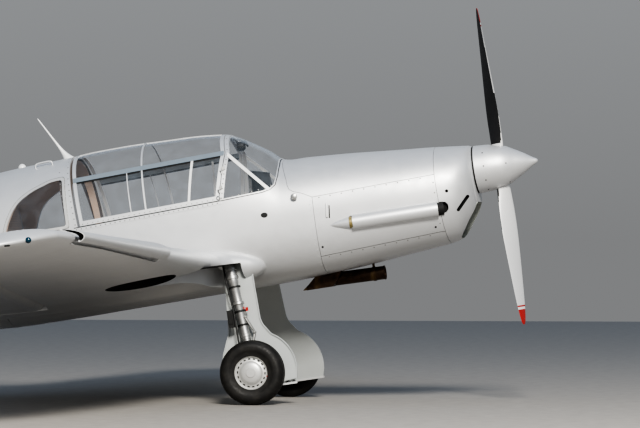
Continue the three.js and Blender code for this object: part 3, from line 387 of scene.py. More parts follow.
def joined(name: str, *pieces: Piece) -> Piece:
    """Puts several pieces into one object without changing their forms."""
    work = bmesh.new()
    for piece in pieces:
        work.from_mesh(piece.data)
    mesh = bpy.data.meshes.new(name)
    work.to_mesh(mesh)
    work.free()
    discard(*pieces)
    whole = bpy.data.objects.new(name, mesh)
    bpy.context.collection.objects.link(whole)
    return whole


# Lines and tables


def moved_line(points: Sequence[Flat], offsets: Sequence[float] | float,
               closed: bool = False) -> list[tuple[float, float]]:
    """Moves a line sideways, to the left of its own direction, with mitred corners.

    Args:
        points: The line's corners.
        offsets: One distance, or one for each edge.
        closed: Whether the line is an outline.

    Returns:
        The moved corners.
    """
    count = len(points)
    edges = count if closed else count - 1
    by = list(offsets) if isinstance(offsets, (list, tuple)) else [offsets] * edges
    spots, ways = [], []
    for i in range(edges):
        a, b = np.array(points[i], float), np.array(points[(i + 1) % count], float)
        way = (b - a) / np.linalg.norm(b - a)
        spots.append(a + by[i] * np.array((-way[1], way[0])))
        ways.append(way)

    def meet(i: int, j: int) -> tuple[float, float]:
        """The point where two moved edges meet."""
        cross = ways[i][0] * ways[j][1] - ways[i][1] * ways[j][0]
        if abs(cross) < 1e-6:
            return tuple(spots[j])
        between = spots[j] - spots[i]
        t = (between[0] * ways[j][1] - between[1] * ways[j][0]) / cross
        return tuple(spots[i] + ways[i] * t)

    corners = [meet((i - 1) % edges, i) if i > 0 or closed else tuple(spots[0])
               for i in range(edges)]
    if closed:
        return corners
    length = np.linalg.norm(np.subtract(points[-1], points[-2]))
    return [*corners, tuple(spots[-1] + ways[-1] * length)]


def drawn_in(points: Sequence[Flat], margins: Sequence[float] | float) -> list[tuple[float, float]]:
    """An outline drawn in by one margin, or by one for each of its edges."""
    area = sum(points[i][0] * points[(i + 1) % len(points)][1]
               - points[i][1] * points[(i + 1) % len(points)][0] for i in range(len(points)))
    sign = 1 if area > 0 else -1
    by = [m * sign for m in margins] if isinstance(margins, (list, tuple)) else margins * sign
    return moved_line(points, by, True)


def rounded(points: Sequence[Flat], radius: float, steps: int = 5) -> list[tuple[float, float]]:
    """An outline with each corner rounded by about the same radius."""
    count = len(points)
    line = []
    for i in range(count):
        before, here, after = (np.array(points[(i + k) % count], float) for k in (-1, 0, 1))
        into, out = before - here, after - here
        reach = min(radius, 0.45 * np.linalg.norm(into), 0.45 * np.linalg.norm(out))
        a = here + into / np.linalg.norm(into) * reach
        b = here + out / np.linalg.norm(out) * reach
        for k in range(steps + 1):
            t = k / steps
            line.append(tuple((1 - t) ** 2 * a + 2 * t * (1 - t) * here + t * t * b))
    return line


def band(name: str, points: Sequence[Flat], width: float, low: float = -700,
         high: float = 700) -> Piece:
    """A prism of one width along a side view line."""
    left = moved_line(points, width / 2)
    right = moved_line(points, -width / 2)
    return prism(name, [*left, *right[::-1]], low, high)


def smooth_row(table: Sequence[Row], station: float) -> list[float]:
    """Smooth values between the rows of a table whose first column is the station."""
    last = len(table) - 1
    if station <= table[0][0]:
        return list(table[0])
    if station >= table[last][0]:
        return list(table[last])
    i = next(k for k in range(last) if station < table[k + 1][0])
    a, b = table[i], table[i + 1]
    before, after = table[max(i - 1, 0)], table[min(i + 2, last)]
    span = b[0] - a[0]
    t = (station - a[0]) / span
    row = [station]
    for k in range(1, len(a)):
        straight = (b[k] - a[k]) / span
        slope_a = straight if i == 0 else (b[k] - before[k]) / (b[0] - before[0])
        slope_b = straight if i + 1 == last else (after[k] - a[k]) / (after[0] - a[0])
        row.append((2 * t ** 3 - 3 * t ** 2 + 1) * a[k] + (t ** 3 - 2 * t ** 2 + t) * slope_a * span
                   + (3 * t ** 2 - 2 * t ** 3) * b[k] + (t ** 3 - t ** 2) * slope_b * span)
    return row


def stations(first: float, last: float, step: float) -> list[float]:
    """Evenly spaced values from first to last, about one step apart."""
    count = max(1, round((last - first) / step))
    return [first + (last - first) * i / count for i in range(count + 1)]


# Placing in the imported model's frame


@dataclass
class Datum:
    """The level datum frame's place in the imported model."""

    origin: Vector

    @classmethod
    def from_joint(cls, joints: Sequence[dict]) -> "Datum":
        """Finds the spinner tip's place from the propeller's joint.

        Args:
            joints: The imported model's joints.

        Returns:
            The datum frame.
        """
        joint = next(j for j in joints if j["name"] == "propeller_spin")
        forward = Vector((math.cos(PITCH), 0, math.sin(PITCH)))
        return cls(Vector(joint["pos_m"]) + forward * PROPELLER_S * MM)

    @property
    def matrix(self) -> Matrix:
        """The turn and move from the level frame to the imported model's."""
        return Matrix.Translation(self.origin) @ Matrix.Rotation(-PITCH, 4, "Y")

    def world(self, s: float, y: float, z: float) -> Vector:
        """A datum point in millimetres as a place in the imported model."""
        return self.matrix @ Vector((-s * MM, y * MM, z * MM))


# Finishes


class Nodes:
    """Short calls for building one material's node tree."""

    def __init__(self, material: bpy.types.Material) -> None:
        """Starts an empty tree with a surface shader and its output."""
        material.use_nodes = True
        self.tree = material.node_tree
        self.tree.nodes.clear()
        self.output = self.tree.nodes.new("ShaderNodeOutputMaterial")
        self.shader = self.tree.nodes.new("ShaderNodeBsdfPrincipled")
        self.tree.links.new(self.shader.outputs["BSDF"], self.output.inputs["Surface"])
        self.place = self.tree.nodes.new("ShaderNodeTexCoord").outputs["Object"]

    def link(self, source: bpy.types.NodeSocket, target: bpy.types.NodeSocket) -> None:
        """Joins two sockets."""
        self.tree.links.new(source, target)

    def set(self, **values: object) -> None:
        """Sets plain values on the surface shader, with _ for each space in a name."""
        for name, value in values.items():
            self.shader.inputs[name.replace("_", " ")].default_value = value

    def scaled(self, scale: Spot) -> bpy.types.NodeSocket:
        """The object's coordinates stretched by three factors."""
        node = self.tree.nodes.new("ShaderNodeMapping")
        node.inputs["Scale"].default_value = scale
        self.link(self.place, node.inputs["Vector"])
        return node.outputs["Vector"]

    def noise(self, scale: float, detail: float = 3.0, roughness: float = 0.5,
              vector: bpy.types.NodeSocket | None = None) -> bpy.types.NodeSocket:
        """A noise value in the object's coordinates."""
        node = self.tree.nodes.new("ShaderNodeTexNoise")
        node.inputs["Scale"].default_value = scale
        node.inputs["Detail"].default_value = detail
        node.inputs["Roughness"].default_value = roughness
        self.link(vector or self.place, node.inputs["Vector"])
        return node.outputs["Fac"]

    def ramp(self, value: bpy.types.NodeSocket, low: float, high: float, out_low: float,
             out_high: float) -> bpy.types.NodeSocket:
        """Maps a value from one range to another, held at the ends."""
        node = self.tree.nodes.new("ShaderNodeMapRange")
        for name, number in (("From Min", low), ("From Max", high),
                             ("To Min", out_low), ("To Max", out_high)):
            node.inputs[name].default_value = number
        self.link(value, node.inputs["Value"])
        return node.outputs["Result"]

    def mix(self, factor: bpy.types.NodeSocket, first: Row | bpy.types.NodeSocket,
            second: Row | bpy.types.NodeSocket) -> bpy.types.NodeSocket:
        """Mixes two colours."""
        node = self.tree.nodes.new("ShaderNodeMix")
        node.data_type = "RGBA"
        self.link(factor, node.inputs["Factor"])
        for socket, value in ((node.inputs[6], first), (node.inputs[7], second)):
            if isinstance(value, bpy.types.NodeSocket):
                self.link(value, socket)
            else:
                socket.default_value = (*value[:3], 1.0)
        return node.outputs[2]

    def math(self, operation: str, first: bpy.types.NodeSocket,
             second: bpy.types.NodeSocket | float) -> bpy.types.NodeSocket:
        """One sum on two values."""
        node = self.tree.nodes.new("ShaderNodeMath")
        node.operation = operation
        self.link(first, node.inputs[0])
        if isinstance(second, bpy.types.NodeSocket):
            self.link(second, node.inputs[1])
        else:
            node.inputs[1].default_value = second
        return node.outputs[0]

    def part(self, axis: int, vector: bpy.types.NodeSocket | None = None) -> bpy.types.NodeSocket:
        """One coordinate of a place: 0, 1 or 2."""
        node = self.tree.nodes.new("ShaderNodeSeparateXYZ")
        self.link(vector or self.place, node.inputs[0])
        return node.outputs[axis]

    def paint(self, colour: bpy.types.NodeSocket) -> None:
        """Colours the surface."""
        self.link(colour, self.shader.inputs["Base Color"])

    def gloss(self, scale: float, detail: float, low: float, high: float) -> None:
        """Lets the surface's roughness wander between two values."""
        wander = self.ramp(self.noise(scale, detail), 0.3, 0.7, low, high)
        self.link(wander, self.shader.inputs["Roughness"])

    def bump(self, height: bpy.types.NodeSocket, strength: float, distance: float) -> None:
        """Roughens the surface with a height."""
        node = self.tree.nodes.new("ShaderNodeBump")
        node.inputs["Strength"].default_value = strength
        node.inputs["Distance"].default_value = distance
        self.link(height, node.inputs["Height"])
        self.link(node.outputs["Normal"], self.shader.inputs["Normal"])


@dataclass(frozen=True)
class Finish:
    """A surface: its name, the record's slot, and its colour and gloss."""

    name: str
    slot: str
    colour: Row
    roughness: float = 0.5
    metallic: float = 0.0

    def material(self) -> bpy.types.Material:
        """The material, made once."""
        found = bpy.data.materials.get(self.name)
        if found:
            return found
        material = bpy.data.materials.new(self.name)
        nodes = Nodes(material)
        nodes.set(Metallic=self.metallic)
        self.dress(nodes)
        return material

    def dress(self, nodes: Nodes) -> None:
        """Adds slight changes of tone and gloss."""
        tone = nodes.ramp(nodes.noise(9, 4), 0.3, 0.7, 0, 1)
        dark = [c * 0.86 for c in self.colour]
        nodes.paint(nodes.mix(tone, dark, self.colour))
        nodes.gloss(35, 3, self.roughness - 0.06, self.roughness + 0.06)
        nodes.bump(nodes.noise(240, 2), 0.05, 0.0006)


@dataclass(frozen=True)
class SilverPaint(Finish):
    """Satin silver paint: fine flake, slow waves of the sheet under it, faint grime."""

    grime: float = 0.10

    def dress(self, nodes: Nodes) -> None:
        """Adds flake, waves and grime."""
        cloud = nodes.ramp(nodes.noise(1.6, 4, 0.55), 0.35, 0.68, 0, 1)
        stain = nodes.ramp(nodes.noise(3.0, 6, 0.6, nodes.scaled((0.5, 1, 1.5))), 0.5, 0.8, 0, self.grime)
        light = [min(1.0, c * 1.04) for c in self.colour]
        soiled = [c * k for c, k in zip(self.colour, (0.62, 0.58, 0.52))]
        base = nodes.mix(cloud, self.colour, light)
        nodes.paint(nodes.mix(stain, base, soiled))
        nodes.gloss(14, 4, self.roughness - 0.03, self.roughness + 0.04)
        height = nodes.math("ADD", nodes.math("MULTIPLY", nodes.noise(2.2, 2), 4.0),
                            nodes.math("MULTIPLY", nodes.noise(900, 1), 0.05))
        nodes.bump(height, 0.1, 0.001)
        nodes.set(Coat_Weight=0.12, Coat_Roughness=0.3)


@dataclass(frozen=True)
class BurntMetal(Finish):
    """Exhaust metal burnt brown, with patches of soot and straw-coloured heat tint."""

    def dress(self, nodes: Nodes) -> None:
        """Adds heat tints and soot."""
        spots = nodes.ramp(nodes.noise(16, 5, 0.65), 0.35, 0.7, 0, 1)
        heat = nodes.ramp(nodes.noise(7, 3, 0.5, nodes.scaled((1.6, 0.5, 0.5))), 0.52, 0.68, 0, 0.7)
        brown = nodes.mix(spots, self.colour, [c * 0.35 for c in self.colour])
        straw = [min(1.0, c * k) for c, k in zip(self.colour, (2.6, 3.0, 2.4))]
        nodes.paint(nodes.mix(heat, brown, straw))
        nodes.link(nodes.ramp(spots, 0, 1, self.roughness - 0.1, self.roughness + 0.2),
                   nodes.shader.inputs["Roughness"])
        nodes.bump(nodes.noise(60, 4), 0.25, 0.002)


@dataclass(frozen=True)
class ClearGlass(Finish):
    """Thin clear sheet that shines more towards its edges."""

    least: float = 0.03
    most: float = 0.5

    def dress(self, nodes: Nodes) -> None:
        """Makes the sheet see-through, with faint dust."""
        facing = nodes.tree.nodes.new("ShaderNodeLayerWeight")
        facing.inputs["Blend"].default_value = 0.42
        dust = nodes.ramp(nodes.noise(11, 5), 0.45, 0.8, 0, 0.04)
        veil = nodes.ramp(facing.outputs["Facing"], 0.62, 0.97, self.least, self.most)
        nodes.link(nodes.math("ADD", veil, dust), nodes.shader.inputs["Alpha"])
        nodes.paint(nodes.mix(dust, self.colour, (0.8, 0.8, 0.78)))
        nodes.gloss(20, 3, 0.03, 0.09)
        nodes.set(IOR=1.6)


@dataclass(frozen=True)
class TyreRubber(Finish):
    """Dark rubber greyed by patches of dust."""

    def dress(self, nodes: Nodes) -> None:
        """Adds dust and a fine grain."""
        dust = nodes.ramp(nodes.noise(16, 5, 0.6), 0.45, 0.75, 0, 0.4)
        nodes.paint(nodes.mix(dust, self.colour, (0.05, 0.046, 0.04)))
        nodes.set(Specular_IOR_Level=0.4)
        nodes.gloss(60, 3, self.roughness - 0.12, self.roughness + 0.1)
        nodes.bump(nodes.noise(420, 3), 0.3, 0.0008)


@dataclass(frozen=True)
class Leather(Finish):
    """Grained leather, paler where it is worn."""

    def dress(self, nodes: Nodes) -> None:
        """Adds grain and wear."""
        worn = nodes.ramp(nodes.noise(6, 4), 0.45, 0.7, 0, 0.6)
        pale = [min(1.0, c * 1.7) for c in self.colour]
        nodes.paint(nodes.mix(worn, self.colour, pale))
        cells = nodes.tree.nodes.new("ShaderNodeTexVoronoi")
        cells.inputs["Scale"].default_value = 420
        nodes.link(nodes.place, cells.inputs["Vector"])
        nodes.gloss(50, 3, self.roughness - 0.08, self.roughness + 0.1)
        nodes.bump(cells.outputs["Distance"], 0.3, 0.0008)


@dataclass(frozen=True)
class Cloth(Finish):
    """Woven lining with two crossing threads."""

    threads: float = 700.0

    def dress(self, nodes: Nodes) -> None:
        """Adds the weave."""
        waves = []
        for axis in ("X", "Z"):
            wave = nodes.tree.nodes.new("ShaderNodeTexWave")
            wave.bands_direction = axis
            wave.inputs["Scale"].default_value = self.threads / 6.28
            nodes.link(nodes.place, wave.inputs["Vector"])
            waves.append(wave.outputs["Fac"])
        weave = nodes.math("MULTIPLY", waves[0], waves[1])
        dark = [c * 0.75 for c in self.colour]
        nodes.paint(nodes.mix(weave, dark, self.colour))
        nodes.set(Roughness=self.roughness, Sheen_Weight=0.2)
        nodes.bump(weave, 0.25, 0.0006)


SILVER = SilverPaint("satin_silver", "silver_paint", (0.64, 0.645, 0.65), 0.48, 0.58)
COVER_GREY = SilverPaint("leg_cover_paint", "grey_paint", (0.44, 0.46, 0.455), 0.45, 0.2, 0.14)
BARE = Finish("worn_metal", "bare_metal", (0.50, 0.50, 0.49), 0.40, 0.85)
CAST = Finish("cast_metal", "bare_metal", (0.30, 0.30, 0.29), 0.52, 0.7)
DUCT_GREY = Finish("duct_grey", "grey_paint", (0.40, 0.42, 0.39), 0.5, 0.1)
HUB_SILVER = SilverPaint("hub_silver", "bare_metal", (0.60, 0.60, 0.585), 0.42, 0.5, 0.2)
BAR_WHITE = SilverPaint("bar_white", "grey_paint", (0.78, 0.78, 0.77), 0.4, 0.1, 0.05)
STRAW = BurntMetal("straw_metal", "burnt_metal", (0.42, 0.34, 0.15), 0.45, 0.5)
BURNT = BurntMetal("burnt_exhaust", "burnt_metal", (0.055, 0.030, 0.016), 0.42, 0.7)
# black that stands for shade: painted shade in holes, slots, gaps and recesses
SHADE_BLACK = Finish("engine_black", "burnt_metal", (0.012, 0.012, 0.012), 0.75, 0.1)
GLASS = ClearGlass("window_sheet", "clear_glass", (0.50, 0.58, 0.68), 0.05)
# the eaves rails' blue-grey tint is a painted reflection of the sky
SKY_REFLECTION_SILVER = SilverPaint("eaves_silver", "silver_paint", (0.35, 0.40, 0.43), 0.32, 0.6, 0.2)
RUBBER = TyreRubber("road_rubber", "tyre_rubber", (0.011, 0.0105, 0.01), 0.6)
BLACK = Finish("black_fittings", "black_plastic", (0.012, 0.012, 0.012), 0.55)
BLADE_FRONT = SilverPaint("blade_white", "blade_paint", (0.80, 0.80, 0.80), 0.35, 0.3, 0.05)
BLADE_BACK = Finish("blade_black", "black_plastic", (0.014, 0.014, 0.015), 0.45)
TIP_RED = Finish("tip_red", "blade_paint", (0.45, 0.025, 0.02), 0.4)
TIP_WHITE = Finish("tip_white", "blade_paint", (0.8, 0.8, 0.8), 0.4)
LINING = Cloth("woven_lining", "lining", (0.60, 0.44, 0.34), 0.9)
HOOP_CLOTH = Cloth("hoop_cloth", "lining", (0.075, 0.055, 0.045), 0.9)
SEAT = Leather("seat_leather", "seat_cover", (0.13, 0.062, 0.03), 0.5)
CABIN_PAINT = Finish("cabin_paint", "grey_paint", (0.16, 0.17, 0.17), 0.6)
GREEN_LENS = Finish("green_lens", "clear_glass", (0.003, 0.03, 0.055), 0.12)
RED_LENS = Finish("red_lens", "clear_glass", (0.3, 0.01, 0.01), 0.12)
NODE_FINISHES = {
    "silver_paint": SILVER, "grey_paint": COVER_GREY, "bare_metal": BARE, "burnt_metal": BURNT,
    "clear_glass": GLASS, "tyre_rubber": RUBBER, "black_plastic": BLACK,
    "blade_paint": BLADE_FRONT, "lining": LINING, "seat_cover": SEAT,
}


@dataclass
class Dresser:
    """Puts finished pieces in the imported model's frame and on their bodies."""

    datum: Datum
    made: list[str] = field(default_factory=list)

    def place(self, piece: Piece, finish: Finish, body: str = "airframe", *nodes: str,
              sharp: float = SHARP_ANGLE, painted: bool = False) -> Piece:
        """Settles a piece.

        Args:
            piece: A piece in the level datum frame.
            finish: Its surface.
            body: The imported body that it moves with.
            nodes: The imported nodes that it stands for.
            sharp: Edges that turn more than this stay sharp.
            painted: Whether the piece already has its own surfaces, face by face.

        Returns:
            The piece, at the origin with its place in its mesh.
        """
        mesh = piece.data
        mesh.transform(self.datum.matrix)
        if not painted:
            mesh.materials.clear()
            mesh.materials.append(finish.material())
            mesh.polygons.foreach_set("material_index", [0] * len(mesh.polygons))
        mesh.shade_smooth()
        mesh.set_sharp_from_angle(angle=sharp)
        mesh.update()
        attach(piece, body)
        if nodes:
            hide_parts(*nodes)
        self.made.append(piece.name)
        LOG.info("%s: %d faces on %s", piece.name, len(mesh.polygons), body)
        return piece


# The fuselage's form


# s, top, bottom, half width, height of the widest line, roundness above, below
FRAMES = (
    (482, 180, -290, 215, -30, 2.0, 2.0),
    (500, 186, -340, 262, -55, 2.05, 2.1),
    (560, 193, -412, 318, -80, 2.1, 2.2),
    (620, 200, -478, 350, -110, 2.15, 2.3),
    (690, 207, -506, 372, -130, 2.2, 2.4),
    (765, 215, -519, 388, -140, 2.25, 2.5),
    (1010, 234, -544, 424, -150, 2.3, 2.6),
    (1390, 266, -583, 460, -160, 2.35, 2.7),
    (1700, 285, -606, 488, -165, 2.35, 2.8),
    (1890, 298, -616, 503, -165, 2.35, 2.8),
    (1994, 384, -620, 512, -165, 2.3, 2.8),
    (2113, 462, -624, 521, -165, 2.3, 2.8),
    (2217, 523, -627, 528, -165, 2.3, 2.8),
    (2300, 550, -629, 533, -165, 2.3, 2.8),
    (2504, 571, -632, 542, -165, 2.3, 2.8),
    (2749, 577, -636, 549, -165, 2.3, 2.8),
    (3011, 582, -640, 552, -165, 2.3, 2.8),
    (3326, 575, -645, 548, -160, 2.3, 2.8),
    (3501, 561, -649, 541, -155, 2.3, 2.8),
    (3910, 543, -652, 521, -140, 2.2, 2.7),
    (4100, 528, -650, 508, -132, 2.15, 2.6),
    (4600, 482, -622, 455, -100, 2.1, 2.4),
    (5200, 424, -566, 378, -60, 2.0, 2.2),
    (5800, 366, -488, 296, -25, 2.0, 2.1),
    (6400, 308, -396, 212, 0, 2.0, 2.0),
    (7000, 252, -292, 128, 15, 2.0, 2.0),
    (7400, 216, -220, 70, 15, 2.0, 2.0),
    (7590, 200, -186, 40, 15, 2.0, 2.0),
)


@dataclass
class Hull:
    """The fuselage's smooth outer form, from which every skin is cut."""

    points: int = 120
    step: float = 40.0
    least_step: float = 6.0

    def ring(self, s: float, inset: float) -> np.ndarray:
        """One frame's outline, drawn in by a margin."""
        _, top, bottom, half, wide, above, below = smooth_row(FRAMES, s)
        angles = np.arange(self.points) * 2 * math.pi / self.points
        c, d = np.cos(angles), np.sin(angles)
        power = np.where(d >= 0, 2 / above, 2 / below)
        reach = np.where(d >= 0, top - inset - wide, wide - bottom - inset)
        y = np.sign(c) * np.abs(c) ** power * (half - inset)
        z = wide + np.sign(d) * np.abs(d) ** power * reach
        return np.column_stack([np.full(self.points, s), y, z])

    def solid(self, inset: float, first: float, last: float) -> Piece:
        """The filled form between two stations."""
        rows = sorted({*stations(first, last, self.step),
                       *(r[0] for r in FRAMES if first < r[0] < last)})
        rows = [s for i, s in enumerate(rows) if i == 0 or s - rows[i - 1] > self.least_step]
        return loft("hull", [self.ring(s, inset) for s in rows])

    def skin(self, name: str, outer: float, inner: float, first: float, last: float) -> Piece:
        """A shell of the form between two margins and two stations."""
        shell = self.solid(outer, first, last)
        shell.name = name
        return work_on(shell, Cut.AWAY, self.solid(inner, first - 20, last + 20))

    def patch(self, name: str, margins: Flat, span: Flat, *limits: Piece) -> Piece:
        """A shell between two margins and two stations, kept only inside every limit."""
        return work_on(self.skin(name, *margins, *span), Cut.COMMON, *limits)

    def half_width(self, s: float, z: float) -> float:
        """Half the form's width at one station and height."""
        _, top, bottom, half, wide, above, below = smooth_row(FRAMES, s)
        power, reach = (above, top - wide) if z >= wide else (below, wide - bottom)
        part = min(1.0, abs(z - wide) / reach)
        return half * (1 - part ** power) ** (1 / power)

    def top(self, s: float, y: float) -> float:
        """The form's height over one point of the plan."""
        _, top, _, half, wide, above, _ = smooth_row(FRAMES, s)
        return wide + (top - wide) * (1 - min(1.0, abs(y) / half) ** above) ** (1 / above)

    def side(self, side: Side, s: float, z: float, out: float = 0.0) -> tuple[float, float, float]:
        """A point of one side of the form, moved out from the skin."""
        return (s, side.value * (self.half_width(s, z) + out), z)


HULL = Hull()

# The stations between which the cowling's cutters reach
COWL_REACH = (300.0, 2100.0)
# Seams and openings in the side view, as s and z
NOSE_SEAM = ((738, 320), (738, 0), (724, -560))
FIREWALL_SEAM = ((1648, -30), (1655, -449), (1676, -735))
SCUTTLE_SEAM = ((1886, 340), (1872, 262), (1850, 190), (1833, 130), (1826, 85), (1812, 50),
                (1780, 30), (1722, 10), (1648, -30))
UPPER_SEAM = ((700, 2), (763, 0), (1648, -30))
LOWER_SEAM = ((700, -424), (774, -425), (1648, -473), (1760, -480))
SCREEN_BASE = ((1896, 300), (1887, 250), (1893, 170), (1912, 104), (1950, 74), (2010, 60),
               (2317, 44))
FRONT_ARCH = ((2317, 44), (2249, 399), (2272, 532), (2292, 650))
REAR_ARCH = ((3449, 9), (3501, 540), (3512, 650))
DIAGONAL = ((2290, 428), (1940, 56))
EAVES = ((2240, 400), (3490, 363))
CANOPY = ((1896, FAR), *SCREEN_BASE, *REAR_ARCH, (3512, FAR))
DOOR_FOOT = (FRONT_ARCH[0], REAR_ARCH[0])
SCREEN = ((1896, FAR), *SCREEN_BASE, *FRONT_ARCH[1:], (2292, FAR))
DOOR_HOLE = (*FRONT_ARCH, (2292, FAR), (3512, FAR), *REAR_ARCH[::-1])
QUARTER_WINDOW = ((3512, 396), (3610, 389), (3686, 364), (3750, 341), (3805, 312), (3850, 284),
                  (3887, 250), (3924, 200), (3952, 147), (3974, 95), (3988, 50), (3972, 26),
                  (3498, 28))


def seam_gaps(width: float, *seams: Sequence[Flat]) -> list[Piece]:
    """Thin cutters along seams of the side view."""
    return [band("seam", seam, width) for seam in seams]


def side_room(side: Side, first: float, last: float, foot: float = -FAR, inner: float = 0.0) -> Piece:
    """Everything on one side of the machine between two stations and over a foot line."""
    outline = [(first, FAR), (last, FAR), (last, foot), (first, foot)]
    return prism("half", outline, inner * side.value, side.value * FAR)


def for_side(side: Side, piece: Piece, name: str) -> Piece:
    """A copy of a starboard piece for one side of the machine, mirrored for the port side."""
    return copied(piece, name) if side is Side.RIGHT else mirrored(piece, name)


class Rivets:
    """Rows of small round heads, made by one Geometry Nodes tree for each body."""

    # no heads where the hull is thinner than this to each side
    thin = 20.0

    def __init__(self, name: str, radius: float, height: float) -> None:
        """Starts an empty set of heads with one size in millimetres."""
        self.name = name
        self.radius = radius
        self.height = height
        self.spots: list[Vector] = []
        self.ways: list[Vector] = []

    def add(self, spot: Spot, way: Spot) -> None:
        """Adds one head at a datum point, facing one way."""
        self.spots.append(Vector((-spot[0] * MM, spot[1] * MM, spot[2] * MM)))
        self.ways.append(Vector((-way[0], way[1], way[2])).normalized())

    def side_row(self, line: Sequence[Flat], pitch: float, out: float = 0.0,
                 sides: Sequence[Side] = (Side.RIGHT, Side.LEFT)) -> None:
        """Adds a row on the hull's skin along a side view line.

        Args:
            line: Corners of the line, as s and z.
            pitch: The distance between heads in the side view.
            out: How far outside the hull the heads sit.
            sides: The sides of the machine that have the row.
        """
        for a, b in zip(line[:-1], line[1:]):
            length = math.dist(a, b)
            count = max(1, int(length / pitch))
            for i in range(count):
                t = (i + 0.5) / count
                s, z = a[0] + (b[0] - a[0]) * t, a[1] + (b[1] - a[1]) * t
                y = HULL.half_width(s, z)
                if y < self.thin:
                    continue
                slope_z = HULL.half_width(s, z + 4) - HULL.half_width(s, z - 4)
                slope_s = HULL.half_width(s + 4, z) - HULL.half_width(s - 4, z)
                for side in sides:
                    way = (-slope_s / 8, side.value, -slope_z / 8)
                    size = math.sqrt(sum(w * w for w in way))
                    unit = [w / size for w in way]
                    self.add((s + unit[0] * out, side.value * y + unit[1] * out,
                              z + unit[2] * out), unit)

    @staticmethod
    def tree() -> bpy.types.NodeTree:
        """The tree: a flattened dome on each point, turned along its stored direction."""
        found = bpy.data.node_groups.get("rivet_rows")
        if found:
            return found
        tree = bpy.data.node_groups.new("rivet_rows", "GeometryNodeTree")
        for name, kind in (("Geometry", "Geometry"), ("Radius", "Float"), ("Height", "Float"),
                           ("Material", "Material")):
            tree.interface.new_socket(name, in_out="INPUT", socket_type=f"NodeSocket{kind}")
        tree.interface.new_socket("Geometry", in_out="OUTPUT", socket_type="NodeSocketGeometry")
        source = tree.nodes.new("NodeGroupInput")
        target = tree.nodes.new("NodeGroupOutput")
        dome = tree.nodes.new("GeometryNodeMeshUVSphere")
        dome.inputs["Segments"].default_value = 8
        dome.inputs["Rings"].default_value = 4
        points = tree.nodes.new("GeometryNodeMeshToPoints")
        way = tree.nodes.new("GeometryNodeInputNamedAttribute")
        way.data_type = "FLOAT_VECTOR"
        way.inputs["Name"].default_value = "way"
        turn = tree.nodes.new("FunctionNodeAlignRotationToVector")
        turn.axis = "Z"
        size = tree.nodes.new("ShaderNodeCombineXYZ")
        place = tree.nodes.new("GeometryNodeInstanceOnPoints")
        real = tree.nodes.new("GeometryNodeRealizeInstances")
        paint = tree.nodes.new("GeometryNodeSetMaterial")
        join = tree.links.new
        join(source.outputs["Geometry"], points.inputs["Mesh"])
        join(points.outputs["Points"], place.inputs["Points"])
        join(dome.outputs["Mesh"], place.inputs["Instance"])
        join(way.outputs["Attribute"], turn.inputs["Vector"])
        join(turn.outputs["Rotation"], place.inputs["Rotation"])
        for axis in ("X", "Y"):
            join(source.outputs["Radius"], size.inputs[axis])
        join(source.outputs["Height"], size.inputs["Z"])
        join(size.outputs["Vector"], place.inputs["Scale"])
        join(place.outputs["Instances"], real.inputs["Geometry"])
        join(real.outputs["Geometry"], paint.inputs["Geometry"])
        join(source.outputs["Material"], paint.inputs["Material"])
        join(paint.outputs["Geometry"], target.inputs["Geometry"])
        return tree

    def build(self, dresser: Dresser, finish: Finish, body: str = "airframe") -> None:
        """Makes the heads one plain mesh on a body."""
        mesh = bpy.data.meshes.new(self.name)
        mesh.from_pydata([tuple(p) for p in self.spots], [], [])
        way = mesh.attributes.new("way", "FLOAT_VECTOR", "POINT")
        way.data.foreach_set("vector", [c for w in self.ways for c in w])
        piece = bpy.data.objects.new(self.name, mesh)
        bpy.context.collection.objects.link(piece)
        modifier = piece.modifiers.new("heads", "NODES")
        modifier.node_group = self.tree()
        values = {"Radius": self.radius * MM, "Height": self.height * MM,
                  "Material": finish.material()}
        for item in modifier.node_group.interface.items_tree:
            if item.in_out == "INPUT" and item.name in values:
                modifier[item.identifier] = values[item.name]
        apply_modifiers(piece)
        dresser.place(piece, finish, body)


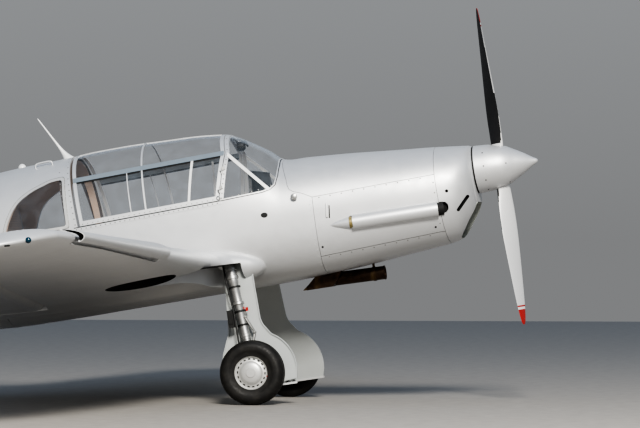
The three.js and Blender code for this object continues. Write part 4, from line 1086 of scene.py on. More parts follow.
@dataclass
class Cowling:
    """The engine's cowling: nose bowl, top, two sides with their air pipes, and belly."""

    wall: float = 10.0
    gap: float = 3.0
    # s of the rounded front edge, and how far it is drawn in there
    lip: tuple[tuple[float, float], ...] = ((474, 10), (475, 6), (478, 2.4), (482.5, 0.4), (490, 0))
    # the chin intake's port half seen from ahead, as y and z
    mouth: tuple[tuple[float, float], ...] = (
        (114, -240), (148, -262), (163, -300), (169, -340), (166, -385), (155, -427), (136, -460),
        (104, -480), (60, -489))
    pipe_z: float = -256.0
    pipe_radius: float = 58.0
    pipe_bore: float = 50.0
    pipe_span: tuple[float, float] = (748, 1383)
    pipe_droop: float = 0.006
    tail_span: tuple[float, float] = (1376, 1565)
    tail_radius: float = 52.0
    shaft_hole: float = 125.0
    slot: tuple[Flat, Flat] = ((527, -194), (606, -284))
    slot_radius: float = 11.0
    eye: tuple[float, float] = (664, -134)
    eye_radius: float = 12.0
    knob: tuple[float, float] = (1778, -9)
    latch: tuple[Flat, Flat] = ((1546, -90), (1558, -196))
    # the dark line beside the latch, a painted shadow, from end to end in the side view
    latch_slit: tuple[Flat, Flat] = ((1531, -112), (1541, -200))

    def shell(self) -> Piece:
        """The cowling's whole skin, with a rounded front edge."""
        rows = [HULL.ring(s, inset) for s, inset in self.lip]
        rows += [HULL.ring(s, 0) for s in stations(500, 1960, 24)]
        outer = loft("cowl_shell", rows)
        return work_on(outer, Cut.AWAY, self.inside())

    def inside(self) -> Piece:
        """The room inside the cowling's wall."""
        return HULL.solid(self.wall, 488, 1990)

    @staticmethod
    def behind_nose() -> Piece:
        """Everything aft of the nose bowl's seam."""
        aft = COWL_REACH[1]
        return prism("aft", [(738, FAR), *NOSE_SEAM[1:], (724, -FAR), (aft, -FAR), (aft, FAR)])

    @staticmethod
    def over_seam() -> Piece:
        """Everything over the top panel's seam."""
        ahead, aft = COWL_REACH
        return prism("over", [(ahead, 2), *UPPER_SEAM, (aft, -30), (aft, FAR), (ahead, FAR)])

    @staticmethod
    def under_seam() -> Piece:
        """Everything under the belly panel's seam."""
        ahead, aft = COWL_REACH
        return prism("under", [(ahead, -424), *LOWER_SEAM, (aft, -480), (aft, -FAR), (ahead, -FAR)])

    @staticmethod
    def ahead_of_cabin() -> Piece:
        """Everything ahead of the cabin's seams."""
        ahead = COWL_REACH[0]
        return prism("ahead", [(ahead, FAR), (1884, FAR), *SCUTTLE_SEAM, *FIREWALL_SEAM[1:],
                               (1676, -FAR), (ahead, -FAR)])

    @staticmethod
    def pipe_side(s: float) -> float:
        """The air pipe's distance from the middle of the machine."""
        return smooth_row(FRAMES, s)[3] - 6

    def nose(self, shell: Piece) -> Piece:
        """The nose bowl, with its chin intake, slots and small holes."""
        bowl = work_on(copied(shell, "nose_bowl"), Cut.AWAY, self.behind_nose(),
                       band("seam", NOSE_SEAM, self.gap))
        shaft = rod("hole", (400, 0, -20), (600, 0, -20), self.shaft_hole, sides=72)
        mouth = prism("mouth", self.intake_outline(), 400, 760, Plane.FRONT)
        cutters = [shaft, mouth]
        for side in Side:
            sign = side.value
            dish = turned("dish", [(1, -60), (24, -56), (40, -40), (47, -16), (47, 16), (40, 40),
                                   (24, 56), (1, 60)],
                          (724, sign * self.pipe_side(724), self.pipe_z + 3),
                          (725, sign * self.pipe_side(725), self.pipe_z + 3), 36)
            slot = prism("slot", self.capsule(*self.slot, self.slot_radius), sign * 100, sign * 500)
            s, z = self.eye
            eye = rod("hole", (s, sign * 200, z), (s, sign * 500, z), self.eye_radius, sides=28)
            cutters += [dish, slot, eye]
        return work_on(bowl, Cut.AWAY, *cutters)

    def intake_outline(self, margin: float = 0.0) -> list[tuple[float, float]]:
        """The chin intake seen from ahead, as y and z: flat over a round chin."""
        half = self.mouth
        line = [*half, *[(-y, z) for y, z in half[::-1]]]
        return rounded(drawn_in(line, -margin), 12, 4) if margin else rounded(line, 12, 4)

    @staticmethod
    def capsule(first: Flat, last: Flat, radius: float, steps: int = 9) -> list[tuple[float, float]]:
        """A slot's outline with round ends."""
        way = math.atan2(last[1] - first[1], last[0] - first[0])
        line = []
        for centre, start in ((last, way - math.pi / 2), (first, way + math.pi / 2)):
            for i in range(steps + 1):
                angle = start + math.pi * i / steps
                line.append((centre[0] + radius * math.cos(angle), centre[1] + radius * math.sin(angle)))
        return line

    def intake_duct(self) -> Piece:
        """The grey duct behind the intake."""
        rings = []
        for s, margin in ((470, -0.4), (560, -0.4), (640, -1.0), (725, -12)):
            rings.append(np.array([(s, y, z) for y, z in self.intake_outline(margin)]))
        for s, margin in ((725, -15), (640, -4), (560, -3.4), (470, -3.4)):
            rings.append(np.array([(s, y, z) for y, z in self.intake_outline(margin)]))
        duct = loft("intake_duct", rings, around=True)
        back = prism("cooler_face", self.intake_outline(-14), 700, 724, Plane.FRONT)
        work_on(duct, Cut.JOINED, back)
        limit = HULL.solid(1.2, 477, 900)
        return work_on(duct, Cut.COMMON, limit)

    def blackout(self) -> Piece:
        """The black inner shell behind the nose bowl's slots and holes: painted shade, so that they read
        dark.
        """
        shell = HULL.skin("nose_blackout", self.wall + 26, self.wall + 30, 500, 722)
        mouth = prism("mouth", self.intake_outline(4), 400, 760, Plane.FRONT)
        return work_on(shell, Cut.AWAY, mouth)

    def side_panel(self, shell: Piece, side: Side) -> Piece:
        """One side panel, with the round air pipe let into it and the pipe's faired tail."""
        sign = side.value
        panel = work_on(copied(shell, f"side_panel_{side.word}"), Cut.COMMON, self.behind_nose())
        work_on(panel, Cut.COMMON, self.ahead_of_cabin(), side_room(side, *COWL_REACH))
        work_on(panel, Cut.AWAY, self.over_seam(), self.under_seam(),
                *seam_gaps(self.gap, NOSE_SEAM, UPPER_SEAM, LOWER_SEAM, FIREWALL_SEAM, SCUTTLE_SEAM))
        spine = [(s, sign * self.pipe_side(s), self.pipe_z - (s - self.pipe_span[0]) * self.pipe_droop)
                 for s in stations(*self.pipe_span, 40)]
        pipe = swept("pipe", spine, self.pipe_radius, 48)
        tail_line = [(s, sign * (self.pipe_side(s) - 10), self.pipe_z - 2)
                     for s in stations(*self.tail_span, 16)]

        def fade(share: float) -> float:
            """The tail's radius, from a little under the pipe's to nothing."""
            return self.tail_radius * (1 - share) ** 0.7 + 1

        tail = swept("tail", tail_line, fade, 36)
        hollow = swept("hollow", spine, self.pipe_bore, 40)
        hollow.data.transform(Matrix.Translation((6 * MM, sign * 2 * MM, 0)))
        inside = self.inside()
        for solid in (pipe, tail):
            work_on(solid, Cut.AWAY, inside, keep=True)
        discard(inside)
        work_on(panel, Cut.JOINED, pipe, tail)
        work_on(panel, Cut.AWAY, hollow)
        notch = block("notch", (1372, sign * 380, self.pipe_z - 40),
                      (1398, sign * 560, self.pipe_z + 44))
        return work_on(panel, Cut.AWAY, notch)

    def build(self, dresser: Dresser) -> None:
        """Makes and places the whole cowling."""
        shell = self.shell()
        dresser.place(self.nose(shell), SILVER, "airframe", "nose_cowl")
        dresser.place(self.intake_duct(), DUCT_GREY)
        # a black inner shell: painted shade behind the nose bowl's openings
        dresser.place(self.blackout(), SHADE_BLACK)
        top = work_on(copied(shell, "top_panel"), Cut.COMMON, self.behind_nose(),
                      self.ahead_of_cabin(), self.over_seam())
        work_on(top, Cut.AWAY, *seam_gaps(self.gap, NOSE_SEAM, UPPER_SEAM, SCUTTLE_SEAM))
        dresser.place(top, SILVER, "airframe", "top_cowl")
        belly = work_on(copied(shell, "belly_panel"), Cut.COMMON, self.behind_nose(),
                        self.ahead_of_cabin(), self.under_seam())
        work_on(belly, Cut.AWAY, *seam_gaps(self.gap, NOSE_SEAM, LOWER_SEAM, FIREWALL_SEAM))
        dresser.place(belly, SILVER, "airframe", "lower_cowl")
        for side in Side:
            panel = self.side_panel(shell, side)
            dresser.place(panel, SILVER, "airframe", f"side_cowl_{side.word}")
            self.pipe_lining(dresser, side)
            self.latches(dresser, side)
        discard(shell)

    def pipe_lining(self, dresser: Dresser, side: Side) -> None:
        """The black cup in one air pipe's throat, which is painted shade, and the pipe's straw-coloured end.
        """
        sign = side.value
        front = (700, sign * (self.pipe_side(700) - 14), self.pipe_z)
        back = (800, sign * (self.pipe_side(800) - 14), self.pipe_z)
        cup = turned(f"pipe_throat_{side.word}", [(49, 0), (49, 95), (44, 95), (44, 8), (1, 8), (1, 0)],
                     back, front, 40)
        dresser.place(cup, SHADE_BLACK)
        plate = rod(f"pipe_end_{side.word}", (1340, sign * self.pipe_side(1340), self.pipe_z - 3),
                    (1402, sign * self.pipe_side(1402), self.pipe_z - 3), 47, 44, sides=36)
        dresser.place(plate, STRAW)

    def latches(self, dresser: Dresser, side: Side) -> None:
        """The knob on the scuttle, and the upright latch with the thin black mark beside it, a painted
        shadow.
        """
        knob = turned(f"knob_{side.word}", [(21, -4), (19, 3), (11, 6), (10, 16), (22, 20), (25, 28),
                                            (22, 35), (12, 39), (1, 40)],
                      HULL.side(side, *self.knob), HULL.side(side, *self.knob, 1), 32)
        dresser.place(knob, BARE)
        top, foot = (HULL.side(side, *spot, 5) for spot in self.latch)
        latch = rod(f"latch_{side.word}", top, foot, 10, sides=24, rim=6)
        dresser.place(latch, BAR_WHITE)
        # the thin black mark beside the latch is a painted shadow
        shadow_piece = prism(f"latch_slit_{side.word}", self.capsule(*self.latch_slit, 4.5),
                     side.value * 300, side.value * 700)
        work_on(shadow_piece, Cut.COMMON, HULL.skin("sheet", -0.8, 3, 1400, 1700))
        dresser.place(shadow_piece, SHADE_BLACK)


@dataclass
class Exhaust:
    """The burnt pipe under the belly and the slanted spout behind it."""

    outline: tuple[tuple[float, float], ...] = (
        (1887, -700), (1840, -664), (1745, -580), (1565, -580), (1600, -640), (1655, -700))
    start: tuple[float, float, float] = (1258, 0, -655)
    end: tuple[float, float, float] = (1640, 0, -648)

    def spout(self) -> Piece:
        """The spout: a flat box cut slantwise, open at the back and below."""
        body = prism("exhaust_spout_shell", rounded(self.outline, 10), -74, 74)
        inner = prism("hollow", [(1930, -722), (1876, -692), (1838, -660), (1742, -590), (1640, -590),
                                 (1668, -655), (1700, -690)], -66, 66)
        work_on(body, Cut.AWAY, inner)
        return work_on(body, Cut.AWAY, HULL.solid(-1, 1400, 2100))

    def pipe(self) -> Piece:
        """The pipe, open ahead, with a rolled rim."""
        length = math.dist(self.start, self.end)
        profile = [(50, 0), (53, 2), (53, 9), (50, 12), (50, length), (42, length), (42, 60),
                   (45, 3), (47, 0)]
        tube = turned("exhaust_tube", profile, self.start, self.end, 56, around=True)
        return work_on(tube, Cut.AWAY, prism("clear", self.outline, -80, 80))

    def build(self, dresser: Dresser) -> None:
        """Makes and places the exhaust."""
        dresser.place(self.spout(), BURNT, "airframe", "exhaust_spout")
        dresser.place(self.pipe(), BURNT, "airframe", "exhaust_pipe")
        hanger = swept("exhaust_hanger", smooth_path([(1340, 0, -602), (1340, 0, -566)], 4), 9, 12)
        strap = turned("exhaust_strap", [(50.5, 0), (54, 1), (54, 21), (50.5, 22)],
                       (1330, 0, -653.6), (1352, 0, -653.2), 48, around=True)
        dresser.place(hanger, BURNT)
        dresser.place(strap, BURNT)
        lug = prism("spout_lug", rounded([(1628, -596), (1650, -596), (1640, -560), (1624, -556)], 5),
                    -86, -78)
        dresser.place(lug, SILVER)


@dataclass
class Cabin:
    """The cabin's body: sides, floor tub, scuttle and the windows behind the doors."""

    wall: float = 12.0
    gap: float = 3.0
    port: tuple[float, float] = (2016, -110)
    port_height: float = 0.72
    mast_foot: tuple[float, float, float] = (3526, 0, 540)
    mast_tip: tuple[float, float, float] = (3727, 0, 895)
    lamp: float = 3900.0

    def tub(self) -> Piece:
        """The outer skin from the firewall to the joint ahead of the tail."""
        body = HULL.skin("cabin_body", 0, self.wall, 1560, 4099)
        work_on(body, Cut.AWAY, Cowling.ahead_of_cabin(), prism("canopy", CANOPY),
                prism("window", rounded(QUARTER_WINDOW, 26)))
        return work_on(body, Cut.AWAY, *seam_gaps(self.gap, FIREWALL_SEAM, SCUTTLE_SEAM))

    def lining(self) -> Piece:
        """The cloth lining round the rear windows, inside the skin."""
        span = (3462, 4066)
        foot = -120
        keep = prism("keep", [(span[0], foot), (span[1], foot), (span[1], FAR), (span[0], FAR)])
        cloth = HULL.patch("cabin_lining", (self.wall + 18, self.wall + 24), span, keep)
        return work_on(cloth, Cut.AWAY, prism("window", rounded(drawn_in(QUARTER_WINDOW, 6), 30)))

    def inner_sides(self) -> Piece:
        """Painted inner panels from the firewall to the rear windows."""
        keep = prism("keep", [(1760, 2), (2330, 30), (3460, -8), (3460, -FAR), (1760, -FAR)])
        return HULL.patch("inner_sides", (self.wall + 14, self.wall + 18), (1760, 3460), keep)

    @staticmethod
    def window_shape(name: str, margin: float, radius: float, *reach: float) -> Piece:
        """A rear window's outline drawn in by a margin, as a prism."""
        return prism(name, rounded(drawn_in(QUARTER_WINDOW, margin), radius), *reach)

    def window_rim(self, side: Side) -> Piece:
        """The pressed rim round one rear window."""
        outer = self.window_shape("outer", -12, 30, *self.outward_reach(side))
        rim = HULL.patch(f"window_rim_{side.word}", (-6, 8), (3460, 4030), outer)
        return work_on(rim, Cut.AWAY, self.window_shape("inner", 7, 24))

    def rim_shadow(self, side: Side) -> Piece:
        """A painted shadow: the dark line outside one rear window's rim."""
        outer = self.window_shape("outer", -16, 32, *self.outward_reach(side))
        line = HULL.patch(f"rim_seal_{side.word}", (-1.2, 3), (3450, 4040), outer)
        return work_on(line, Cut.AWAY, self.window_shape("inner", -10, 29))

    def rear_glass(self, side: Side) -> Piece:
        """The clear sheet of one rear window."""
        pane = self.window_shape("pane", 2, 24, *self.outward_reach(side))
        return HULL.patch(f"rear_window_{side.word}", (3, 6), (3470, 4010), pane)

    @staticmethod
    def outward_reach(side: Side) -> tuple[float, float]:
        """From near the middle of the machine to far outside one of its sides."""
        return 20 * side.value, FAR * side.value

    def side_port(self, side: Side) -> Piece:
        """The small black oval in one side, ahead of the door: painted shade that stands for the inside of a
        vent hole.
        """
        port = turned(f"side_port_{side.word}", [(1, -8), (27, -8), (27, 1), (24, 3), (1, 3)],
                      HULL.side(side, *self.port), HULL.side(side, *self.port, 1), 32)
        s, z = self.port
        port.data.transform(Matrix.Translation((-s * MM, 0, z * MM))
                            @ Matrix.Diagonal((1, 1, self.port_height, 1))
                            @ Matrix.Translation((s * MM, 0, -z * MM)))
        return port

    def build(self, dresser: Dresser) -> None:
        """Makes and places the cabin's body."""
        dresser.place(self.tub(), SILVER, "airframe", "cabin_tub")
        dresser.place(self.lining(), LINING)
        dresser.place(self.inner_sides(), CABIN_PAINT)
        self.mast(dresser)
        for side in Side:
            dresser.place(self.window_rim(side), HUB_SILVER)
            dresser.place(self.rim_shadow(side), CAST)
            dresser.place(self.rear_glass(side), GLASS, "airframe", f"quarter_window_{side.word}")
            dresser.place(self.side_port(side), BLACK)
            self.grab_handle(dresser, side)

    def mast(self, dresser: Dresser) -> None:
        """The white aerial mast with its conical foot, and the small lamp behind it."""
        length = math.dist(self.mast_foot, self.mast_tip)
        mast = turned("aerial_mast", [(1, -30), (50, -30), (44, 2), (34, 26), (23, 56), (15.5, 92),
                                      (11, 132), (8, 190), (6.2, 270), (4.2, length - 12),
                                      (2.5, length - 2), (1, length)],
                      self.mast_foot, self.mast_tip, 28)
        work_on(mast, Cut.AWAY, HULL.solid(2, 3400, 3700))
        dresser.place(mast, BAR_WHITE, "airframe", "antenna")
        top = HULL.top(self.lamp, 0)
        lamp = turned("roof_lamp", [(1, -6), (30, -6), (30, 3), (26, 14), (17, 24), (8, 29), (1, 30)],
                      (self.lamp, 0, top), (self.lamp, 0, top + 1), 32)
        dresser.place(lamp, BAR_WHITE)

    @staticmethod
    def grab_handle(dresser: Dresser, side: Side) -> None:
        """The grab handle on the roof behind the rear arch."""
        sign = side.value

        def over(s: float, rise: float) -> tuple[float, float, float]:
            """A point over the roof beside the middle."""
            return (s, sign * 200, HULL.top(s, 200) + rise)

        path = smooth_path([over(3618, -6), over(3621, 20), over(3640, 30), over(3685, 32),
                            over(3730, 30), over(3748, 20), over(3751, -6)], 6)
        dresser.place(swept(f"grab_handle_{side.word}", path, 5.5, 12), SILVER)


@dataclass
class Canopy:
    """The fixed frame of the glazing, the windscreen and the two doors."""

    arch: float = 28.0
    edge: float = 12.0
    depth: float = 16.0
    door_depth: float = 10.0
    spine: float = 24.0
    rail: float = 26.0
    gap: float = 6.0
    rear_gap: float = 22.0
    lock: tuple[float, float] = (2336, 66)
    knuckles: tuple[float, ...] = (130.0, 270.0)
    knuckle: float = 27.0
    door_span: tuple[float, float] = (2200, 3540)
    screen_span: tuple[float, float] = (1860, 2330)

    def door_edges(self, margin: float) -> list[float]:
        """Margins round the door's hole, edge by edge."""
        return [*[self.arch / 2 + self.gap + margin for _ in FRONT_ARCH], 0,
                *[self.arch + self.rear_gap + margin for _ in REAR_ARCH], self.gap + margin * 1.3]

    def door_space(self, margin: float, side: Side) -> Piece:
        """The room that one door may take, drawn in by a margin."""
        outline = drawn_in(DOOR_HOLE, self.door_edges(margin))
        return prism("space", outline, side.value * FAR,
                     side.value * (self.spine + self.gap + margin))

    def frame(self) -> Piece:
        """Windscreen edge, both arches and the spine between the doors."""
        pane = prism("pane", drawn_in(SCREEN, self.edge))
        lines = work_on(prism("lines", SCREEN), Cut.AWAY, pane)
        arches = band("front_arch", FRONT_ARCH, self.arch)
        rear = band("rear_arch", moved_line(REAR_ARCH, self.arch / 2), self.arch)
        spine = prism("spine", [(2280, 440), (3495, 440), (3495, 700), (2280, 700)],
                      -self.spine, self.spine)
        work_on(lines, Cut.JOINED, arches, rear, spine)
        limit = prism("limit", drawn_in(CANOPY, 0.6))
        return HULL.patch("canopy_fixed_frame", (0, self.depth), (1860, 3560), lines, limit)

    def screen_bars(self) -> Piece:
        """The slanting bar on each side of the windscreen."""
        return HULL.patch("screen_bars", (-2.5, 6), self.screen_span, band("bar", DIAGONAL, 22),
                          prism("limit", SCREEN))

    def door(self, side: Side) -> Piece:
        """One door's frame: its rails, the middle bar and the joint of its side panes."""
        rails = work_on(self.door_space(0, side), Cut.AWAY, self.door_space(self.rail, side))
        frame = HULL.patch(f"door_rails_{side.word}", (0, self.door_depth), self.door_span, rails)
        lines = work_on(band("middle", ((2886, 10), (2892, 200), (2900, 390), (2912, 700)), 12),
                        Cut.JOINED, band("pane_joint", ((2998, 10), (3016, 385)), 7))
        bars = HULL.patch("bars", (-2.0, 4.7), self.door_span, lines, self.door_space(4, side))
        return work_on(frame, Cut.JOINED, bars)

    def eaves_rail(self, side: Side) -> Piece:
        """The sky-facing rail between one door's side panes and its roof pane; its blue-grey tint is a
        painted sky reflection.
        """
        return HULL.patch(f"eaves_rail_{side.word}", (-4.0, 4.7), self.door_span,
                          band("eaves", EAVES, 34), self.door_space(4, side))

    def eaves_shadow(self, side: Side) -> Piece:
        """A painted shadow: the dark strip under one eaves rail, where the pane slides."""
        line = band("channel", tuple((s, z - 23) for s, z in EAVES), 14)
        return HULL.patch(f"eaves_channel_{side.word}", (0.5, 4.2), self.door_span, line,
                          self.door_space(8, side))

    def jamb(self, side: Side) -> Piece:
        """The step of the rear arch that one door closes against."""
        line = band("jamb", moved_line(REAR_ARCH, -12), 40)
        return HULL.patch(f"door_jamb_{side.word}", (11.5, 14.5), (3380, 3540), line,
                          side_room(side, 3300, 3600, foot=10, inner=20))

    def edge_bar(self, side: Side) -> Piece:
        """The white upright bar of one door's sliding pane."""
        return HULL.patch(f"pane_edge_{side.word}", (-3.0, 8), (2400, 2700),
                          band("upright", ((2512, 385), (2560, 66)), 17), self.door_space(12, side))

    def seals(self) -> Piece:
        """The black rubber lines at the foot of the windscreen and of both doors."""
        foot = work_on(band("foot", SCREEN_BASE, 6), Cut.JOINED, band("sill", DOOR_FOOT, 6))
        return HULL.patch("glazing_seal", (-1.4, 4), (1860, 3520), foot)

    def rear_hoop(self) -> Piece:
        """The dark cloth-covered hoop inside the rear arch."""
        outline = [(3436, -60), (3440, 90), (3450, 545), (3462, FAR), (3574, FAR), (3566, 560),
                   (3516, 90), (3512, -60)]
        return HULL.patch("rear_hoop", (17, 27), (3430, 3590), prism("band", outline))

    def door_glass(self, side: Side) -> Piece:
        """The clear sheet of one door."""
        return HULL.patch(f"door_pane_{side.word}", (4.5, 7.5), self.door_span,
                          self.door_space(self.rail - 6, side))

    def screen_glass(self) -> Piece:
        """The windscreen, bent round between the scuttle and the front arch."""
        margins = [*[self.edge - 3 for _ in SCREEN_BASE], *[self.arch / 2 - 3 for _ in FRONT_ARCH], 0]
        return HULL.patch("windscreen_pane", (4.5, 7.5), self.screen_span,
                          prism("pane", drawn_in(SCREEN, margins)))

    def hinge(self, side: Side, forward: bool) -> Piece:
        """The two knuckles that one door or its arch carries."""
        middle = sum(self.knuckles) / len(self.knuckles)
        (s0, z0), (s1, z1) = FRONT_ARCH[:2]

        def at(z: float) -> tuple[float, float]:
            """A point of the hinge line in the side view."""
            s = s0 + self.arch / 2 + self.gap / 2 + (z - z0) * (s1 - s0) / (z1 - z0)
            return s, z

        slope = HULL.half_width(*at(middle + 1)) - HULL.half_width(*at(middle))
        parts = []
        for z in self.knuckles:
            s = at(z)[0]
            y = -(HULL.half_width(*at(middle)) + 8 + slope * (z - middle))
            span = -self.knuckle if forward else self.knuckle
            low, high = sorted((z - span * 0.01, z - span))
            spots = []
            for height in (low, high):
                spots.append((at(height)[0], y - slope * (height - z), height))
            parts.append(rod("knuckle", spots[0], spots[1], 5, sides=20, rim=1))
            reach = -20 if forward else 20
            leaf = loft("leaf", [np.array([(s + reach * t, y + 8 * t + w, low + 1),
                                           (s + reach * t, y + 8 * t + w, high - 1),
                                           (s + reach * t, y + 8 * t - w, high - 1),
                                           (s + reach * t, y + 8 * t - w, low + 1)])
                                 for t, w in ((0.0, 3.0), (1.0, 2.0))])
            parts.append(leaf)
        hinge = joined(f"door_hinge_{'arch' if forward else 'door'}_{side.word}", *parts)
        return reflected(hinge) if side is Side.LEFT else hinge

    def sill(self, side: Side) -> Piece:
        """The pressed strip under one door."""
        line = [(2317, 30), (2700, 18), (3449, -6), (3530, -10)]
        return HULL.patch(f"sill_strip_{side.word}", (-3, 6), (2250, 3560), band("sill", line, 22),
                          side_room(side, 2200, 3600))

    def latch(self, side: Side) -> Piece:
        """The ring of one door's lock, low in its front corner."""
        s, z = self.lock
        skin = HULL.half_width(s, z)
        return turned(f"door_latch_{side.word}", [(9, 0), (15, 1), (17, 5), (12, 8), (10, 6), (9, 6)],
                      (s, side.value * (skin - 1), z), (s, side.value * (skin + 9), z + 1), 32, around=True)

    def build(self, dresser: Dresser) -> None:
        """Makes and places the glazing."""
        dresser.place(self.frame(), SILVER, "airframe", "canopy_frame")
        dresser.place(self.screen_bars(), BAR_WHITE)
        dresser.place(self.seals(), BLACK)
        dresser.place(self.rear_hoop(), HOOP_CLOTH)
        dresser.place(self.screen_glass(), GLASS, "airframe", "windscreen_glass")
        for side in Side:
            body = f"door_{side.word}"
            dresser.place(self.door(side), SILVER, body, f"door_frame_{side.word}")
            dresser.place(self.door_glass(side), GLASS, body, f"door_glass_{side.word}")
            dresser.place(self.edge_bar(side), BAR_WHITE, body)
            dresser.place(self.eaves_rail(side), SKY_REFLECTION_SILVER, body)
            dresser.place(self.eaves_shadow(side), BLACK, body)
            dresser.place(self.jamb(side), SILVER)
            dresser.place(self.hinge(side, True), BARE)
            dresser.place(self.hinge(side, False), BARE, body)
            dresser.place(self.sill(side), SILVER)
            dresser.place(self.latch(side), BARE, body)


@dataclass
class TailCone:
    """The rear fuselage with its lap joints."""

    wall: float = 10.0
    first: float = 4102.0
    stern: float = 7590.0
    joints: tuple[float, ...] = (4104, 4780, 5460, 6140, 6780)

    def build(self, dresser: Dresser) -> None:
        """Makes and places the rear fuselage."""
        cone = HULL.skin("tail_skin", 0, self.wall, self.first, self.stern)
        back = slab("stern_wall", self.stern - 30, self.stern)
        filled = HULL.solid(4, self.first, self.stern - 1)
        work_on(cone, Cut.JOINED, work_on(filled, Cut.COMMON, back))
        hole = rod("hole", tail_post(0), tail_post(300), 18.8, sides=32)
        work_on(cone, Cut.AWAY, hole)
        dresser.place(cone, SILVER, "airframe", "tail_cone")
        for i, s in enumerate(self.joints):
            strap = HULL.skin(f"lap_joint_{i + 1}", -1.6, 1, s, s + 26)
            dresser.place(strap, SILVER)


def slab(name: str, first: float, last: float) -> Piece:
    """Everything between two stations."""
    return prism(name, [(first, -FAR), (last, -FAR), (last, FAR), (first, FAR)])


def tail_post(up: float) -> tuple[float, float, float]:
    """A point of the tail wheel's upright post, so far over its foot."""
    return (7191.6 - math.sin(PITCH) * up, 0, -390 + math.cos(PITCH) * up)


# Wings


def leading(y: float) -> float:
    """The straight leading edge's station."""
    return 2400 + 0.045 * (y - 550)


def trailing(y: float) -> float:
    """The straight trailing edge's station."""
    return 4400 - 0.157 * (y - 550)


def rise(y: float) -> float:
    """The leading edge's height, which climbs towards the tip."""
    return -410 + 0.056 * (y - 550)


# y, leading edge s, trailing edge s, leading edge z, thickness, incidence in degrees
WING = (
    (400, 2060, trailing(400), -470, 0.132, 2.2),
    (500, 2090, trailing(500), -466, 0.135, 2.3),
    (560, 2170, trailing(560), -452, 0.14, 2.5),
    (620, 2285, trailing(620), -430, 0.146, 2.8),
    (690, 2362, trailing(690), -412, 0.15, 3.0),
    (780, leading(780), trailing(780), rise(780), 0.152, 3.0),
    (2000, leading(2000), trailing(2000), rise(2000), 0.14, 2.6),
    (2700, leading(2700), trailing(2700), rise(2700), 0.132, 2.3),
    (3400, leading(3400), trailing(3400), rise(3400), 0.125, 2.8),
    (4760, leading(4760) + 8, trailing(4760), rise(4760), 0.118, 4.0),
    (4900, 2652, trailing(4900), -176, 0.116, 4.0),
    (5020, 2718, 3600, -184, 0.112, 3.8),
    (5140, 2820, 3490, -192, 0.105, 3.6),
    (5210, 2930, 3370, -196, 0.095, 3.2),
    (5243, 3030, 3260, -196, 0.08, 3.0),
    (5250, 3080, 3200, -195, 0.05, 3.0),
)
# y, leading edge s, trailing edge s, leading edge z, thickness, incidence in degrees
TAILPLANE = (
    (0, 6850, 7920, 262, 0.085, 0),
    (1450, 6940, 7870, 262, 0.08, 0),
    (1600, 6985, 7820, 262, 0.075, 0),
    (1680, 7070, 7730, 262, 0.07, 0),
    (1710, 7165, 7635, 262, 0.055, 0),
    (1715, 7230, 7570, 262, 0.03, 0),
)
# z, leading edge s, trailing edge s, thickness
FIN = (
    (-200, 7500, 7790, 60),
    (-80, 7420, 8020, 78),
    (100, 7220, 8200, 92),
    (200, 6960, 8255, 100),
    (300, 7030, 8283, 100),
    (420, 7150, 8290, 96),
    (560, 7290, 8255, 86),
    (700, 7425, 8140, 72),
    (810, 7530, 7960, 52),
    (855, 7590, 7840, 38),
    (880, 7650, 7745, 24),
)


@dataclass
class Foil:
    """A lifting surface drawn as smooth sections between the rows of a table."""

    table: Sequence[Row]
    camber: float = 0.02
    camber_at: float = 0.35
    edge: float = 2.0
    count: int = 40
    least_step: float = 2.5

    @property
    def shares(self) -> np.ndarray:
        """Parts of the chord, close together at both ends."""
        return (1 - np.cos(np.arange(self.count + 1) / self.count * math.pi)) / 2

    def heights(self, x: float, thickness: float) -> tuple[float, float]:
        """Upper and lower height of the section at one part of the chord."""
        half = 5 * thickness * (0.2969 * math.sqrt(x) - 0.126 * x - 0.3516 * x ** 2
                                + 0.2843 * x ** 3 - 0.1036 * x ** 4)
        at, most = self.camber_at, self.camber
        if x < at:
            bend = most / at ** 2 * (2 * at * x - x * x)
        else:
            bend = most / (1 - at) ** 2 * (1 - 2 * at + 2 * at * x - x * x)
        return bend + half, bend - half

    def point(self, y: float, x: float, lower: bool, out: float = 0.0) -> np.ndarray:
        """A point of the surface.

        Args:
            y: Distance from the middle of the machine.
            x: Part of the chord.
            lower: Whether it is on the underside.
            out: How far off the surface it lies.

        Returns:
            Its datum place, to starboard.
        """
        _, lead, trail, z, thickness, incidence = smooth_row(self.table, y)
        chord = trail - lead
        side = -1 if lower else 1
        w = self.heights(x, thickness)[int(lower)] * chord + side * (self.edge * x + out)
        c, d = math.cos(math.radians(incidence)), math.sin(math.radians(incidence))
        return np.array([lead + x * chord * c + w * d, -y, z - x * chord * d + w * c])

    def ring(self, y: float, shift: float = 0.0) -> np.ndarray:
        """One section's outline."""
        upper = [self.point(y, x, False) for x in self.shares[::-1]]
        lower = [self.point(y, x, True) for x in self.shares[1:]]
        return np.array(upper + lower) + (shift, 0, 0)

    def solid(self, name: str, first: float, last: float, step: float = 70.0,
              shift: float = 0.0) -> Piece:
        """The filled form between two stations."""
        rows = sorted({*stations(first, last, step),
                       *(r[0] for r in self.table if first < r[0] < last)})
        rows = [y for i, y in enumerate(rows) if i == 0 or y - rows[i - 1] > self.least_step]
        return loft(name, [self.ring(y, shift) for y in rows])

    def hinge(self, y: float, x: float) -> tuple[np.ndarray, float]:
        """A hinge point inside the section and half its thickness there."""
        upper, lower = self.point(y, x, False), self.point(y, x, True)
        return (upper + lower) / 2, float(upper[2] - lower[2]) / 2


